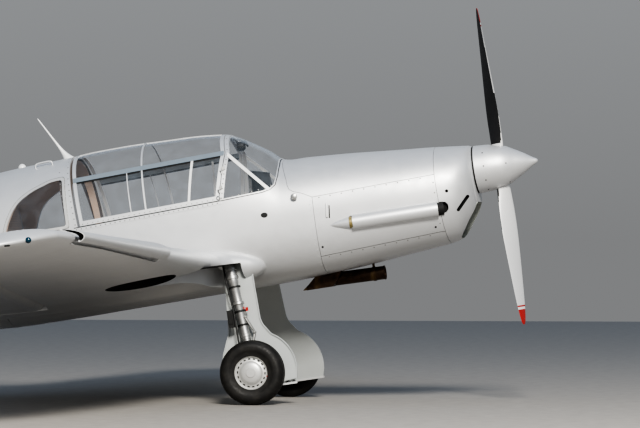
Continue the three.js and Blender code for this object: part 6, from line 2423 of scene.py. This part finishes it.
@dataclass
class Propeller:
    """Spinner and two blades that stand upright."""

    s: float = PROPELLER_S
    base: float = 463.0
    tip_from: float = 1060.0
    outline: tuple[tuple[float, float], ...] = (
        (0, 0), (4, 10), (22, 22), (55, 42), (100, 72), (160, 106), (247, 151), (340, 170), (420, 176),
        (459, 178))
    # out from the hub, chord, thickness, angle to the disc in degrees
    blade: tuple[tuple[float, ...], ...] = (
        (61.5, 68, 68, 60), (110, 90, 64, 59), (165, 108, 52, 57), (240, 124, 42, 51),
        (360, 146, 30, 44), (560, 165, 20, 34), (780, 156, 14, 27), (980, 130, 10, 23),
        (1100, 100, 8, 21), (1165, 66, 6, 20), (1186, 40, 5, 20), (1193, 13, 3, 20))

    def spinner(self) -> Piece:
        """The pointed shell with a hole for each blade."""
        outer = [(radius, s) for s, radius in self.dense()]
        inner = [(172, self.base - 8), (164, 340), (144, 247), (60, 100), (1, 60)]
        shell = turned("spinner_shell", [*outer, (175, self.base), (172, self.base), *inner],
                       (0, 0, 0), (1, 0, 0), 112)
        holes = rod("holes", (self.s, 0, -190), (self.s, 0, 190), 60, sides=48)
        plate = rod("plate", (self.base - 8, 0, 0), (self.base, 0, 0), 174, sides=112)
        work_on(shell, Cut.JOINED, plate)
        shaft = rod("shaft", (self.base - 20, 0, 0), (self.base + 20, 0, 0), 46.3, sides=40)
        return work_on(shell, Cut.AWAY, holes, shaft)

    def screws(self) -> Piece:
        """Two rings of sunk screws in the spinner."""
        heads = []
        for s, radius, count in ((389.0, 173.2, 10), (225.0, 140.5, 5)):
            for i in range(count):
                angle = math.radians(4.3 + 360 * i / count)
                way = np.array((0.0, -math.cos(angle), math.sin(angle)))
                if abs(way[2]) > 0.96:
                    continue
                seat = np.array((s, 0.0, 0.0)) + way * radius
                heads.append(rod("head", seat - way * 4, seat + way * 2.4, 6.5, 5.5, 16, 1))
        return joined("spinner_screws", *heads)

    def dense(self) -> list[tuple[float, float]]:
        """The shell's outline with smooth steps between its corners."""
        line = smooth_path([(s, radius, 0) for s, radius in self.outline[2:]], 6)
        nose = [(0.0, 0.5), (1.5, 6.0), (6.0, 12.5), (13.0, 17.6)]
        return [*nose, *[(float(p[0]), float(p[1])) for p in line]]

    def blade_form(self, sign: int) -> Piece:
        """One twisted blade, with a flat rear face and a curved front."""
        rings = []
        for out in [*stations(61.5, 240, 18), *stations(265, 1030, 34), *stations(1042, 1193, 6)]:
            _, chord, thick, angle = smooth_row(self.blade, out)
            turn = -math.radians(angle) * sign
            flat = min(1.0, max(0.0, (out - 130) / 140))
            ring = []
            for i in range(36):
                around = i / 36 * 2 * math.pi
                u = math.cos(around)
                v = math.sin(around)
                wide = u * chord / 2
                deep = v * thick / 2 * (1 - flat * (0.35 if v < 0 else 0.0))
                deep *= 1 - flat * 0.25 * u * u
                disc = wide * math.cos(turn) - deep * math.sin(turn)
                fore = wide * math.sin(turn) + deep * math.cos(turn)
                ring.append((self.s - fore, disc, out * sign))
            rings.append(np.array(ring))
        return loft("blade_form", rings)

    def painted(self, piece: Piece, sign: int) -> None:
        """Paints a blade's rear face black and its tip red with a white line."""
        mesh = piece.data
        mesh.materials.clear()
        for finish in (BLADE_FRONT, BLADE_BACK, TIP_RED, TIP_WHITE):
            mesh.materials.append(finish.material())
        for face in mesh.polygons:
            out = face.center.z * sign / MM
            _, chord, _, angle = smooth_row(self.blade, out)
            fore = self.s + face.center.x / MM
            edge = chord / 2 * math.sin(math.radians(angle)) - (7 if out > 560 else 0)
            if face.normal.x < 0 and out > 170 and fore < edge:
                face.material_index = 1
            elif out > self.tip_from + 16:
                face.material_index = 2
            elif self.tip_from - 9 < out < self.tip_from:
                face.material_index = 2
            elif out >= self.tip_from:
                face.material_index = 3
            else:
                face.material_index = 0

    def build(self, dresser: Dresser) -> None:
        """Makes and places the propeller."""
        dresser.place(self.spinner(), SILVER, "propeller", "spinner")
        dresser.place(self.screws(), BLACK, "propeller")
        # a black ring in the gap between spinner and cowl: painted shade
        ring = turned("gap_ring", [(62, 467), (173, 467), (174, 469), (174, 475), (62, 475)],
                      (0, 0, 0), (1, 0, 0), 112, around=True)
        dresser.place(ring, SHADE_BLACK)
        for sign, word in ((1, "upper"), (-1, "lower")):
            blade = self.blade_form(sign)
            blade.name = f"blade_form_{word}"
            self.painted(blade, sign)
            dresser.place(blade, BLADE_FRONT, "propeller", f"blade_{word}", painted=True)
            collar = [(37, 118), (44, 120), (46, 128), (46, 140), (40, 146), (37, 146)]
            cuff = turned(f"blade_cuff_{word}", collar, (self.s, 0, 0), (self.s, 0, sign), 56, around=True)
            dresser.place(cuff, SILVER, "propeller")


# Interior


@dataclass
class Pad:
    """One padded cushion, given by its side view and its reach across."""

    name: str
    outline: tuple[Flat, ...]
    low: float
    high: float
    swell: float = 14.0
    voxel: float = 9.0
    frames: int = 20
    channel: float = 5.0
    channel_width: float = 9.0
    rows: int = 4
    quick_coarser: float = 1.6

    def blank(self) -> Piece:
        """The slack form that the padding swells from."""
        outline = rounded(drawn_in(self.outline, 9), 22, 4)
        piece = prism(self.name, outline, self.low + 9, self.high - 9)
        remesh = piece.modifiers.new("remesh", "REMESH")
        remesh.mode = "VOXEL"
        remesh.voxel_size = self.voxel * 1 * MM
        return apply_modifiers(piece)

    def filled(self, piece: Piece) -> None:
        """Blows the form up like a filled cover, and holds each point near its start."""
        start = np.array([v.co[:] for v in piece.data.vertices])
        cloth = piece.modifiers.new("filling", "CLOTH")
        cloth.settings.use_pressure = True
        cloth.settings.uniform_pressure_force = 4
        cloth.settings.quality = 5
        cloth.settings.effector_weights.gravity = 0
        cloth.point_cache.frame_start = 1
        cloth.point_cache.frame_end = self.frames
        scene = bpy.context.scene
        for frame in range(1, self.frames + 1):
            scene.frame_set(frame)
        seen = piece.evaluated_get(bpy.context.evaluated_depsgraph_get())
        swollen = np.array([v.co[:] for v in seen.to_mesh().vertices])
        seen.to_mesh_clear()
        piece.modifiers.remove(cloth)
        scene.frame_set(1)
        move = swollen - start
        length = np.linalg.norm(move, axis=1, keepdims=True)
        kept = np.minimum(length, self.swell * MM) / np.maximum(length, 1e-9)
        for vertex, spot in zip(piece.data.vertices, start + move * kept):
            vertex.co = spot

    def stitched(self, piece: Piece, axis: Spot, top: Spot) -> None:
        """Draws the sewn channels into the upper face.

        Args:
            piece: The swollen pad, in the datum frame.
            axis: The direction that the channels follow each other in, as s, y and z.
            top: The direction that the upper face looks in.
        """
        along = Vector((-axis[0], axis[1], axis[2])).normalized()
        up = Vector((-top[0], top[1], top[2])).normalized()
        places = [v.co.dot(along) for v in piece.data.vertices]
        low, high = min(places), max(places)
        marks = [low + (high - low) * (i + 1) / (self.rows + 1) for i in range(self.rows)]
        normals = [v.normal.copy() for v in piece.data.vertices]
        for vertex, place, normal in zip(piece.data.vertices, places, normals):
            facing = max(0.0, normal.dot(up))
            near = min(abs(place - mark) for mark in marks) / (self.channel_width * MM)
            vertex.co -= normal * self.channel * MM * facing * math.exp(-near * near)

    def build(self, axis: Spot, top: Spot) -> Piece:
        """Makes the finished pad."""
        piece = self.blank()
        self.filled(piece)
        smooth = piece.modifiers.new("rounding", "SUBSURF")
        smooth.levels = 1
        smooth.render_levels = 1
        apply_modifiers(piece)
        self.stitched(piece, axis, top)
        return piece


@dataclass
class Seats:
    """Two front seats on tube frames and the bench behind them."""

    under: float = -345.0
    top: float = -240.0
    front_y: tuple[float, float] = (60, 480)
    back_y: tuple[float, float] = (80, 450)
    bench_half: float = 440.0

    def pads(self) -> list[tuple[Pad, Spot, Spot, str]]:
        """Each pad with its channels' direction, its upper side and its node."""
        out = []
        for side in Side:
            sign = side.value
            reach = sorted(sign * y for y in self.front_y)
            lean = sorted(sign * y for y in self.back_y)
            node = f"front_seat_{side.word}"
            out.append((Pad(f"seat_cushion_{side.word}", ((2560, self.under), (3000, self.under),
                                                         (3000, self.top), (2560, self.top)), *reach),
                        (0, 1, 0), (0, 0, 1), node))
            out.append((Pad(f"seat_back_{side.word}", ((3003, self.top + 4), (3072, self.top - 40),
                                                      (3140, -4), (3074, 4)), *lean),
                        (0, 1, 0), (-1, 0, 0.3), node))
        half = self.bench_half
        out.append((Pad("bench_cushion", ((3430, self.under), (3838, self.under), (3838, self.top),
                                          (3430, self.top)), -half, half, voxel=11, rows=7),
                    (0, 1, 0), (0, 0, 1), "rear_bench"))
        out.append((Pad("bench_back", ((3824, self.top + 4), (3890, self.top - 40), (3955, -4), (3890, 4)),
                        -half + 10, half - 10, voxel=11, rows=7), (0, 1, 0), (-1, 0, 0.3), "rear_bench"))
        return out

    def frame(self, side: Side) -> Piece:
        """One front seat's tube frame with its pan."""
        sign = side.value
        low, high = -424.0, self.under - 8
        y0, y1 = 112 * sign, 428 * sign
        corners = [(2612, y0), (2968, y0), (2968, y1), (2612, y1)]
        parts = []
        for level in (low, high):
            for a, b in zip(corners, corners[1:] + corners[:1]):
                parts.append(rod("rail", (*a, level), (*b, level), 9, sides=14))
        for s, y in corners:
            parts.append(rod("post", (s, y, low), (s, y, high), 9, sides=14))
        for y in (y0, y1):
            parts.append(rod("brace", (2612, y, low), (2968, y, high), 7, sides=12))
        parts.append(block("pan", (2600, min(y0, y1) - 8, high + 7), (2980, max(y0, y1) + 8, high + 10)))
        rise = [(2975, high), (3062, -230), (3122, -60)]
        bends = [(3144, y0 + 30 * sign, -14), (3144, y1 - 30 * sign, -14)]
        hoop = smooth_path([*[(s, y0, z) for s, z in rise], *bends, *[(s, y1, z) for s, z in rise[::-1]]], 6)
        parts.append(swept("hoop", hoop, 8, 12))
        return joined(f"seat_frame_{side.word}", *parts)

    def bench_box(self) -> Piece:
        """The cloth-covered box under the bench, with a rolled front edge."""
        outline = rounded([(3470, -428), (3838, -428), (3838, self.under - 1), (3452, self.under - 1)], 18)
        box = prism("bench_box", outline, -378, 378)
        recess = prism("recess", drawn_in(outline, 34))
        for sign in (-1, 1):
            end = block("end", (3400, sign * 378 - 6, -500), (3900, sign * 378 + 6, 0))
            work_on(box, Cut.AWAY, work_on(copied(recess, "cup"), Cut.COMMON, end))
        discard(recess)
        return box

    def build(self, dresser: Dresser) -> None:
        """Makes and places the seats."""
        for pad, axis, top, node in self.pads():
            piece = pad.build(axis, top)
            dresser.place(piece, SEAT, "airframe", node, sharp=math.pi)
        for side in Side:
            dresser.place(self.frame(side), CAST)
        dresser.place(self.bench_box(), LINING)


@dataclass
class Dial:
    """One round instrument: rim, face, ticks and pointer."""

    y: float
    z: float
    radius: float
    turn: float

    def rim(self, s: float) -> Piece:
        """The raised black rim."""
        r = self.radius
        return turned("dial_rim", [(r - 4, 0), (r + 3, 0), (r + 3, 5), (r, 8), (r - 3, 8), (r - 4, 5)],
                      (s, self.y, self.z), (s - 1, self.y, self.z), 32, around=True)

    def marks(self, s: float) -> Piece:
        """The pale ticks and the pointer."""
        parts = []
        away = np.array((-1.0, 0.0, 0.0))
        r = self.radius
        tick = ((0.6, r * 0.72, -0.9), (1.8, r * 0.88, 0.9))
        pointer = ((2.2, -r * 0.2, -1.1), (3.4, r * 0.7, 1.1))
        for turn, box in [*[(-130 + 260 * i / 9, tick) for i in range(10)], (self.turn, pointer)]:
            angle = math.radians(turn)
            c, d = math.sin(angle), math.cos(angle)
            ways = (away, np.array((0, c, d)), np.array((0, d, -c)))
            parts.append(box_on("mark", (s, self.y, self.z), ways, *box))
        return joined("dial_marks", *parts)


@dataclass
class Cockpit:
    """Instrument panel, sticks, compass and the cabin floor's mats."""

    front: float = 2110.0
    dials: tuple[Dial, ...] = (
        Dial(-330, 60, 40, 35), Dial(-235, 60, 40, -60), Dial(-330, -35, 30, 80), Dial(-235, -35, 30, 10),
        Dial(-150, 20, 30, -100), Dial(0, 75, 40, -30), Dial(-75, 90, 24, 60), Dial(75, 90, 24, -15),
        Dial(0, -20, 30, 110), Dial(-70, 0, 22, 20), Dial(70, 0, 22, -70), Dial(240, 60, 34, 45))

    def panel(self) -> Piece:
        """The panel's board, arched over the instruments and rolled at its top edge."""
        board = block("panel_board", (2087, -FAR, -110), (self.front, FAR, 235))
        shelf = prism("shelf", [(1936, 27), (2122, 27), (2127, 34), (2120, 40), (1936, 40)])
        lip = prism("lip", rounded([(2084, 222), (2124, 222), (2124, 237), (2084, 237)], 6))
        work_on(board, Cut.JOINED, shelf, lip)
        return work_on(board, Cut.COMMON, HULL.solid(31, 1900, 2200))

    def instruments(self, dresser: Dresser) -> None:
        """The dials, switches and knobs on the board."""
        rims = [dial.rim(self.front) for dial in self.dials]
        for i in range(9):
            y = -180 + 45 * i
            rims.append(turned("knob", [(1, 0), (8, 0), (9, 4), (6, 6), (6, 12), (9, 14), (9, 20), (1, 21)],
                               (self.front, y, -80), (self.front + 1, y, -80), 16))
        dresser.place(joined("panel_rims", *rims), BLACK)
        dresser.place(joined("panel_marks", *[dial.marks(self.front) for dial in self.dials]),
                      TIP_WHITE)
        lamp = turned("warning_lamp", [(1, 0), (9, 0), (9, 5), (5, 10), (1, 11)],
                      (self.front, -300, 130), (self.front + 1, -300, 130), 20)
        dresser.place(lamp, TIP_RED)

    def sticks(self, dresser: Dresser) -> None:
        """Both control columns with their grips and the cross shaft."""
        parts = [rod("shaft", (2430, -290, -400), (2430, 290, -400), 16, sides=28, rim=2)]
        grips = []
        for sign in (-1, 1):
            y = sign * 270
            path = smooth_path([(2430, y, -400), (2440, y, -250), (2480, y, -120), (2490, y, -20)], 8)
            parts.append(swept("column", path, 12.5, 20))
            parts.append(rod("foot", (2430, sign * 150, -430), (2430, sign * 150, -396), 15, 20, sides=24))
            grip = turned("grip", [(1, 0), (16, 0), (19, 6), (17, 14), (19, 24), (17, 34), (19, 44),
                                   (17, 54), (19, 64), (20, 78), (16, 92), (8, 98), (1, 99)],
                          (2488, y, -88), (2492, y, 11), 24)
            grips.append(grip)
        dresser.place(joined("column_tubes", *parts), CAST, "airframe", "control_columns")
        dresser.place(joined("column_grips", *grips), BLACK)

    def compass(self, dresser: Dresser) -> None:
        """The compass and the small mirror that hang from the front arch."""
        bowl = [(1, -32), (26, -32), (34, -24), (36, -8), (36, 16), (30, 26), (1, 28)]
        shell = turned("compass_bowl", bowl, (2205, -8, 446), (2206, -8, 446), 36)
        bracket = swept("bracket", smooth_path([(2222, -8, 470), (2232, -6, 494), (2252, -4, 512)], 6), 6, 12)
        stem = swept("stem", smooth_path([(2170, 30, 468), (2190, 26, 486), (2232, 20, 504)], 6), 4.5, 10)
        mirror = turned("mirror", [(1, -5), (24, -5), (27, -2), (27, 3), (24, 6), (1, 6)],
                        (2166, 30, 462), (2167, 30, 461.6), 32)
        dresser.place(joined("compass_and_mirror", shell, bracket, stem, mirror), BLACK)

    def mats(self) -> Piece:
        """Ribbed mats on the cabin floor."""
        parts = []
        for first, last in ((1720, 2540), (3010, 3440)):
            for sign in (-1, 1):
                outline = [(first, -430), (last, -430)]
                for s in reversed(stations(first + 4, last - 4, 14)):
                    outline += [(s + 3, -427), (s + 1.5, -424), (s - 1.5, -424), (s - 3, -427)]
                parts.append(prism("mat", outline, *sorted((sign * 60, sign * 430))))
        return joined("floor_mats", *parts)

    def build(self, dresser: Dresser) -> None:
        """Makes and places everything in the cockpit."""
        dresser.place(self.panel(), BLACK, "airframe", "instrument_panel")
        self.instruments(dresser)
        self.sticks(dresser)
        self.compass(dresser)
        dresser.place(self.mats(), BLACK)


@dataclass
class Fastenings:
    """The rivets and screws of the whole machine, row by row."""

    rivet: tuple[float, float] = (3.8, 1.6)
    screw: tuple[float, float] = (5.4, 2.2)
    pitch: float = 42.0

    def hull_rivets(self) -> Rivets:
        """Rows on the fuselage's skin."""
        rows = Rivets("hull_rivets", *self.rivet)
        rows.side_row(((1672, -60), (1679, -449), (1698, -680)), self.pitch)
        rows.side_row(((3000, -98), (2536, -202), (2282, -286)), 34)
        rows.side_row(moved_line(FIREWALL_SEAM, 16), 48)
        for s in TailCone().joints:
            for at in (s + 8, s + 19):
                rows.side_row(((at, -700), (at, 600)), 36, 1.4)
        for height in (170, -40):
            rows.side_row(((4150, height), (7400, height * 0.4)), 70)
        window = drawn_in(QUARTER_WINDOW, -15)
        rows.side_row([*window, window[0]], 40)
        return rows

    def seam_screws(self) -> Rivets:
        """Screws along the cowling's seams, the sills and the fixed arches."""
        rows = Rivets("seam_screws", *self.screw)
        rows.side_row(((752, -20), (751, -400)), 76)
        rows.side_row(((800, -12), (1640, -42)), 84)
        rows.side_row(((800, -438), (1640, -486)), 84)
        rows.side_row(((2330, 30), (2700, 18), (3449, -6)), 36, 2.6)
        rows.side_row(moved_line(REAR_ARCH, 14), 44)
        rows.side_row(((3486, -20), (3500, 60), (3546, 470)), 44)
        rows.side_row(FRONT_ARCH[:3], 34)
        rows.side_row(((1905, 240), (1910, 176), (1927, 118), (1962, 90), (2260, 62)), 44, 0.6)
        return rows

    def door_screws(self, side: Side) -> Rivets:
        """Screws of one door's eaves strip and lower rail."""
        rows = Rivets(f"door_screws_{side.word}", 4.2, 1.8)
        rows.side_row(((2290, 398), (3440, 364)), 36, 1.8, (side,))
        rows.side_row(((2360, 60), (3400, 28)), 40, 0, (side,))
        return rows

    def dark_screws(self) -> Rivets:
        """The quick fasteners of the cowling's sides."""
        rows = Rivets("quick_fasteners", 9, 2.4)
        for spot in ((787, -385), (1628, -407)):
            rows.side_row((spot, (spot[0] + 1, spot[1])), 1)
        return rows

    def wing_rivets(self, side: Side) -> Rivets:
        """Rows along the spars and ribs of one wing, above and below."""
        foil = Foil(WING)
        rows = Rivets(f"wing_rivets_{side.word}", *self.rivet)
        spots = [(y, x) for x in (0.2, 0.23, 0.6) for y in stations(760, 4700, 52)]
        spots += [(y, x) for y in (1000, 1700, 2450, 3100, 3750, 4350, 4820)
                  for x in stations(0.17, 0.68, 0.035)]
        for y, x in spots:
            for lower in (False, True):
                here = foil.point(y, x, lower)
                if lower and here[0] < 3160 and y < 1560:
                    continue
                along = foil.point(y, x + 0.01, lower) - foil.point(y, x - 0.01, lower)
                out = np.cross(along, foil.point(y + 9, x, lower) - foil.point(y - 9, x, lower))
                if (out[2] > 0) == lower:
                    out = -out
                here[1] *= -side.value
                out[1] *= -side.value
                rows.add(tuple(here), tuple(out))
        return rows

    def build(self, dresser: Dresser) -> None:
        """Makes and places every row."""
        self.hull_rivets().build(dresser, SILVER)
        self.seam_screws().build(dresser, CAST)
        self.dark_screws().build(dresser, BLACK)
        for side in Side:
            self.door_screws(side).build(dresser, CAST, f"door_{side.word}")
            self.wing_rivets(side).build(dresser, SILVER)


# The photograph's view


@dataclass
class PhotoCamera:
    """The camera that took the photograph."""

    place: tuple[float, float, float] = (7.49, -30.03, 1.209)
    heading: float = 9.46
    climb: float = 0.367
    lens: float = 228.15

    def build(self) -> None:
        """Makes the camera."""
        data = bpy.data.cameras.new("photo_camera")
        data.lens = self.lens
        data.sensor_width = 36
        data.clip_end = 400
        camera = bpy.data.objects.new("photo_camera", data)
        bpy.context.collection.objects.link(camera)
        camera.location = self.place
        camera.rotation_euler = (math.radians(90 + self.climb), 0, math.radians(self.heading))
        bpy.context.scene.camera = camera


@dataclass
class Stage:
    """The plain pale floor, the sky over it and one soft light."""

    floor_size: float = 60.0
    # height of the direction, and the sky's colour there
    sky: tuple[tuple[float, tuple[float, float, float]], ...] = (
        (0.0, (0.32, 0.325, 0.33)), (0.16, (0.50, 0.52, 0.54)), (0.42, (0.50, 0.56, 0.63)),
        (0.9, (0.36, 0.46, 0.64)))
    sky_strength: float = 0.64
    light_place: tuple[float, float, float] = (7.5, -17, 12)
    light_aim: tuple[float, float, float] = (1, 0, 1)
    light_size: float = 4.5
    light_power: float = 5600

    def floor(self) -> None:
        """The floor, which isn't part of the object."""
        half = self.floor_size / 2
        mesh = bpy.data.meshes.new("floor")
        mesh.from_pydata([(-half, -half, 0), (half, -half, 0), (half, half, 0), (-half, half, 0)],
                         [], [(0, 1, 2, 3)])
        piece = bpy.data.objects.new("floor", mesh)
        bpy.context.collection.objects.link(piece)
        finish = Finish("pale_floor", "grey_paint", (0.33, 0.31, 0.285), 0.9, 0.0)
        mesh.materials.append(finish.material())

    def world(self) -> None:
        """A pale sky that is bluer overhead."""
        world = bpy.data.worlds.new("sky")
        world.use_nodes = True
        bpy.context.scene.world = world
        tree = world.node_tree
        shade = tree.nodes["Background"]
        place = tree.nodes.new("ShaderNodeTexCoord")
        split = tree.nodes.new("ShaderNodeSeparateXYZ")
        ramp = tree.nodes.new("ShaderNodeValToRGB")
        elements = ramp.color_ramp.elements
        while len(elements) < len(self.sky):
            elements.new(0.5)
        for element, (height, colour) in zip(elements, self.sky):
            element.position = height
            element.color = (*colour, 1)
        tree.links.new(place.outputs["Generated"], split.inputs["Vector"])
        tree.links.new(split.outputs["Z"], ramp.inputs["Fac"])
        tree.links.new(ramp.outputs["Color"], shade.inputs["Color"])
        shade.inputs["Strength"].default_value = self.sky_strength

    def lamp(self) -> None:
        """The soft square light that points at the cabin."""
        data = bpy.data.lights.new("key_light", "AREA")
        data.size = self.light_size
        data.energy = self.light_power
        data.color = (1.0, 0.965, 0.90)
        lamp = bpy.data.objects.new("key_light", data)
        bpy.context.collection.objects.link(lamp)
        lamp.location = self.light_place
        way = Vector(self.light_aim) - Vector(self.light_place)
        lamp.rotation_euler = way.to_track_quat("-Z", "Y").to_euler()

    def build(self) -> None:
        """Makes floor, sky and light."""
        self.floor()
        self.world()
        self.lamp()
        bpy.context.scene.view_settings.look = "AgX - High Contrast"


def dress_nodes(frame: dict) -> None:
    """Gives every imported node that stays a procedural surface, through its own slots."""
    for piece in frame["nodes"].values():
        for slot in piece.material_slots:
            base = slot.material.name.split(".")[0] if slot.material else "grey_paint"
            slot.material = NODE_FINISHES.get(base, COVER_GREY).material()


def main() -> None:
    """Builds every sub-assembly in order."""
    logging.basicConfig(level=logging.INFO, format="%(name)s: %(message)s")
    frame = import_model()
    PhotoCamera().build()
    Stage().build()
    dress_nodes(frame)
    dresser = Dresser(Datum.from_joint(frame["joints"]))
    for part in (Cowling(), Exhaust(), Cabin(), Canopy(), TailCone(), Wing(), TailUnit(), MainGear(),
                 TailWheel(), Propeller(), Seats(), Cockpit(), Fastenings()):
        LOG.info("building %s", type(part).__name__)
        part.build(dresser)


if __name__ == "__main__":
    main()
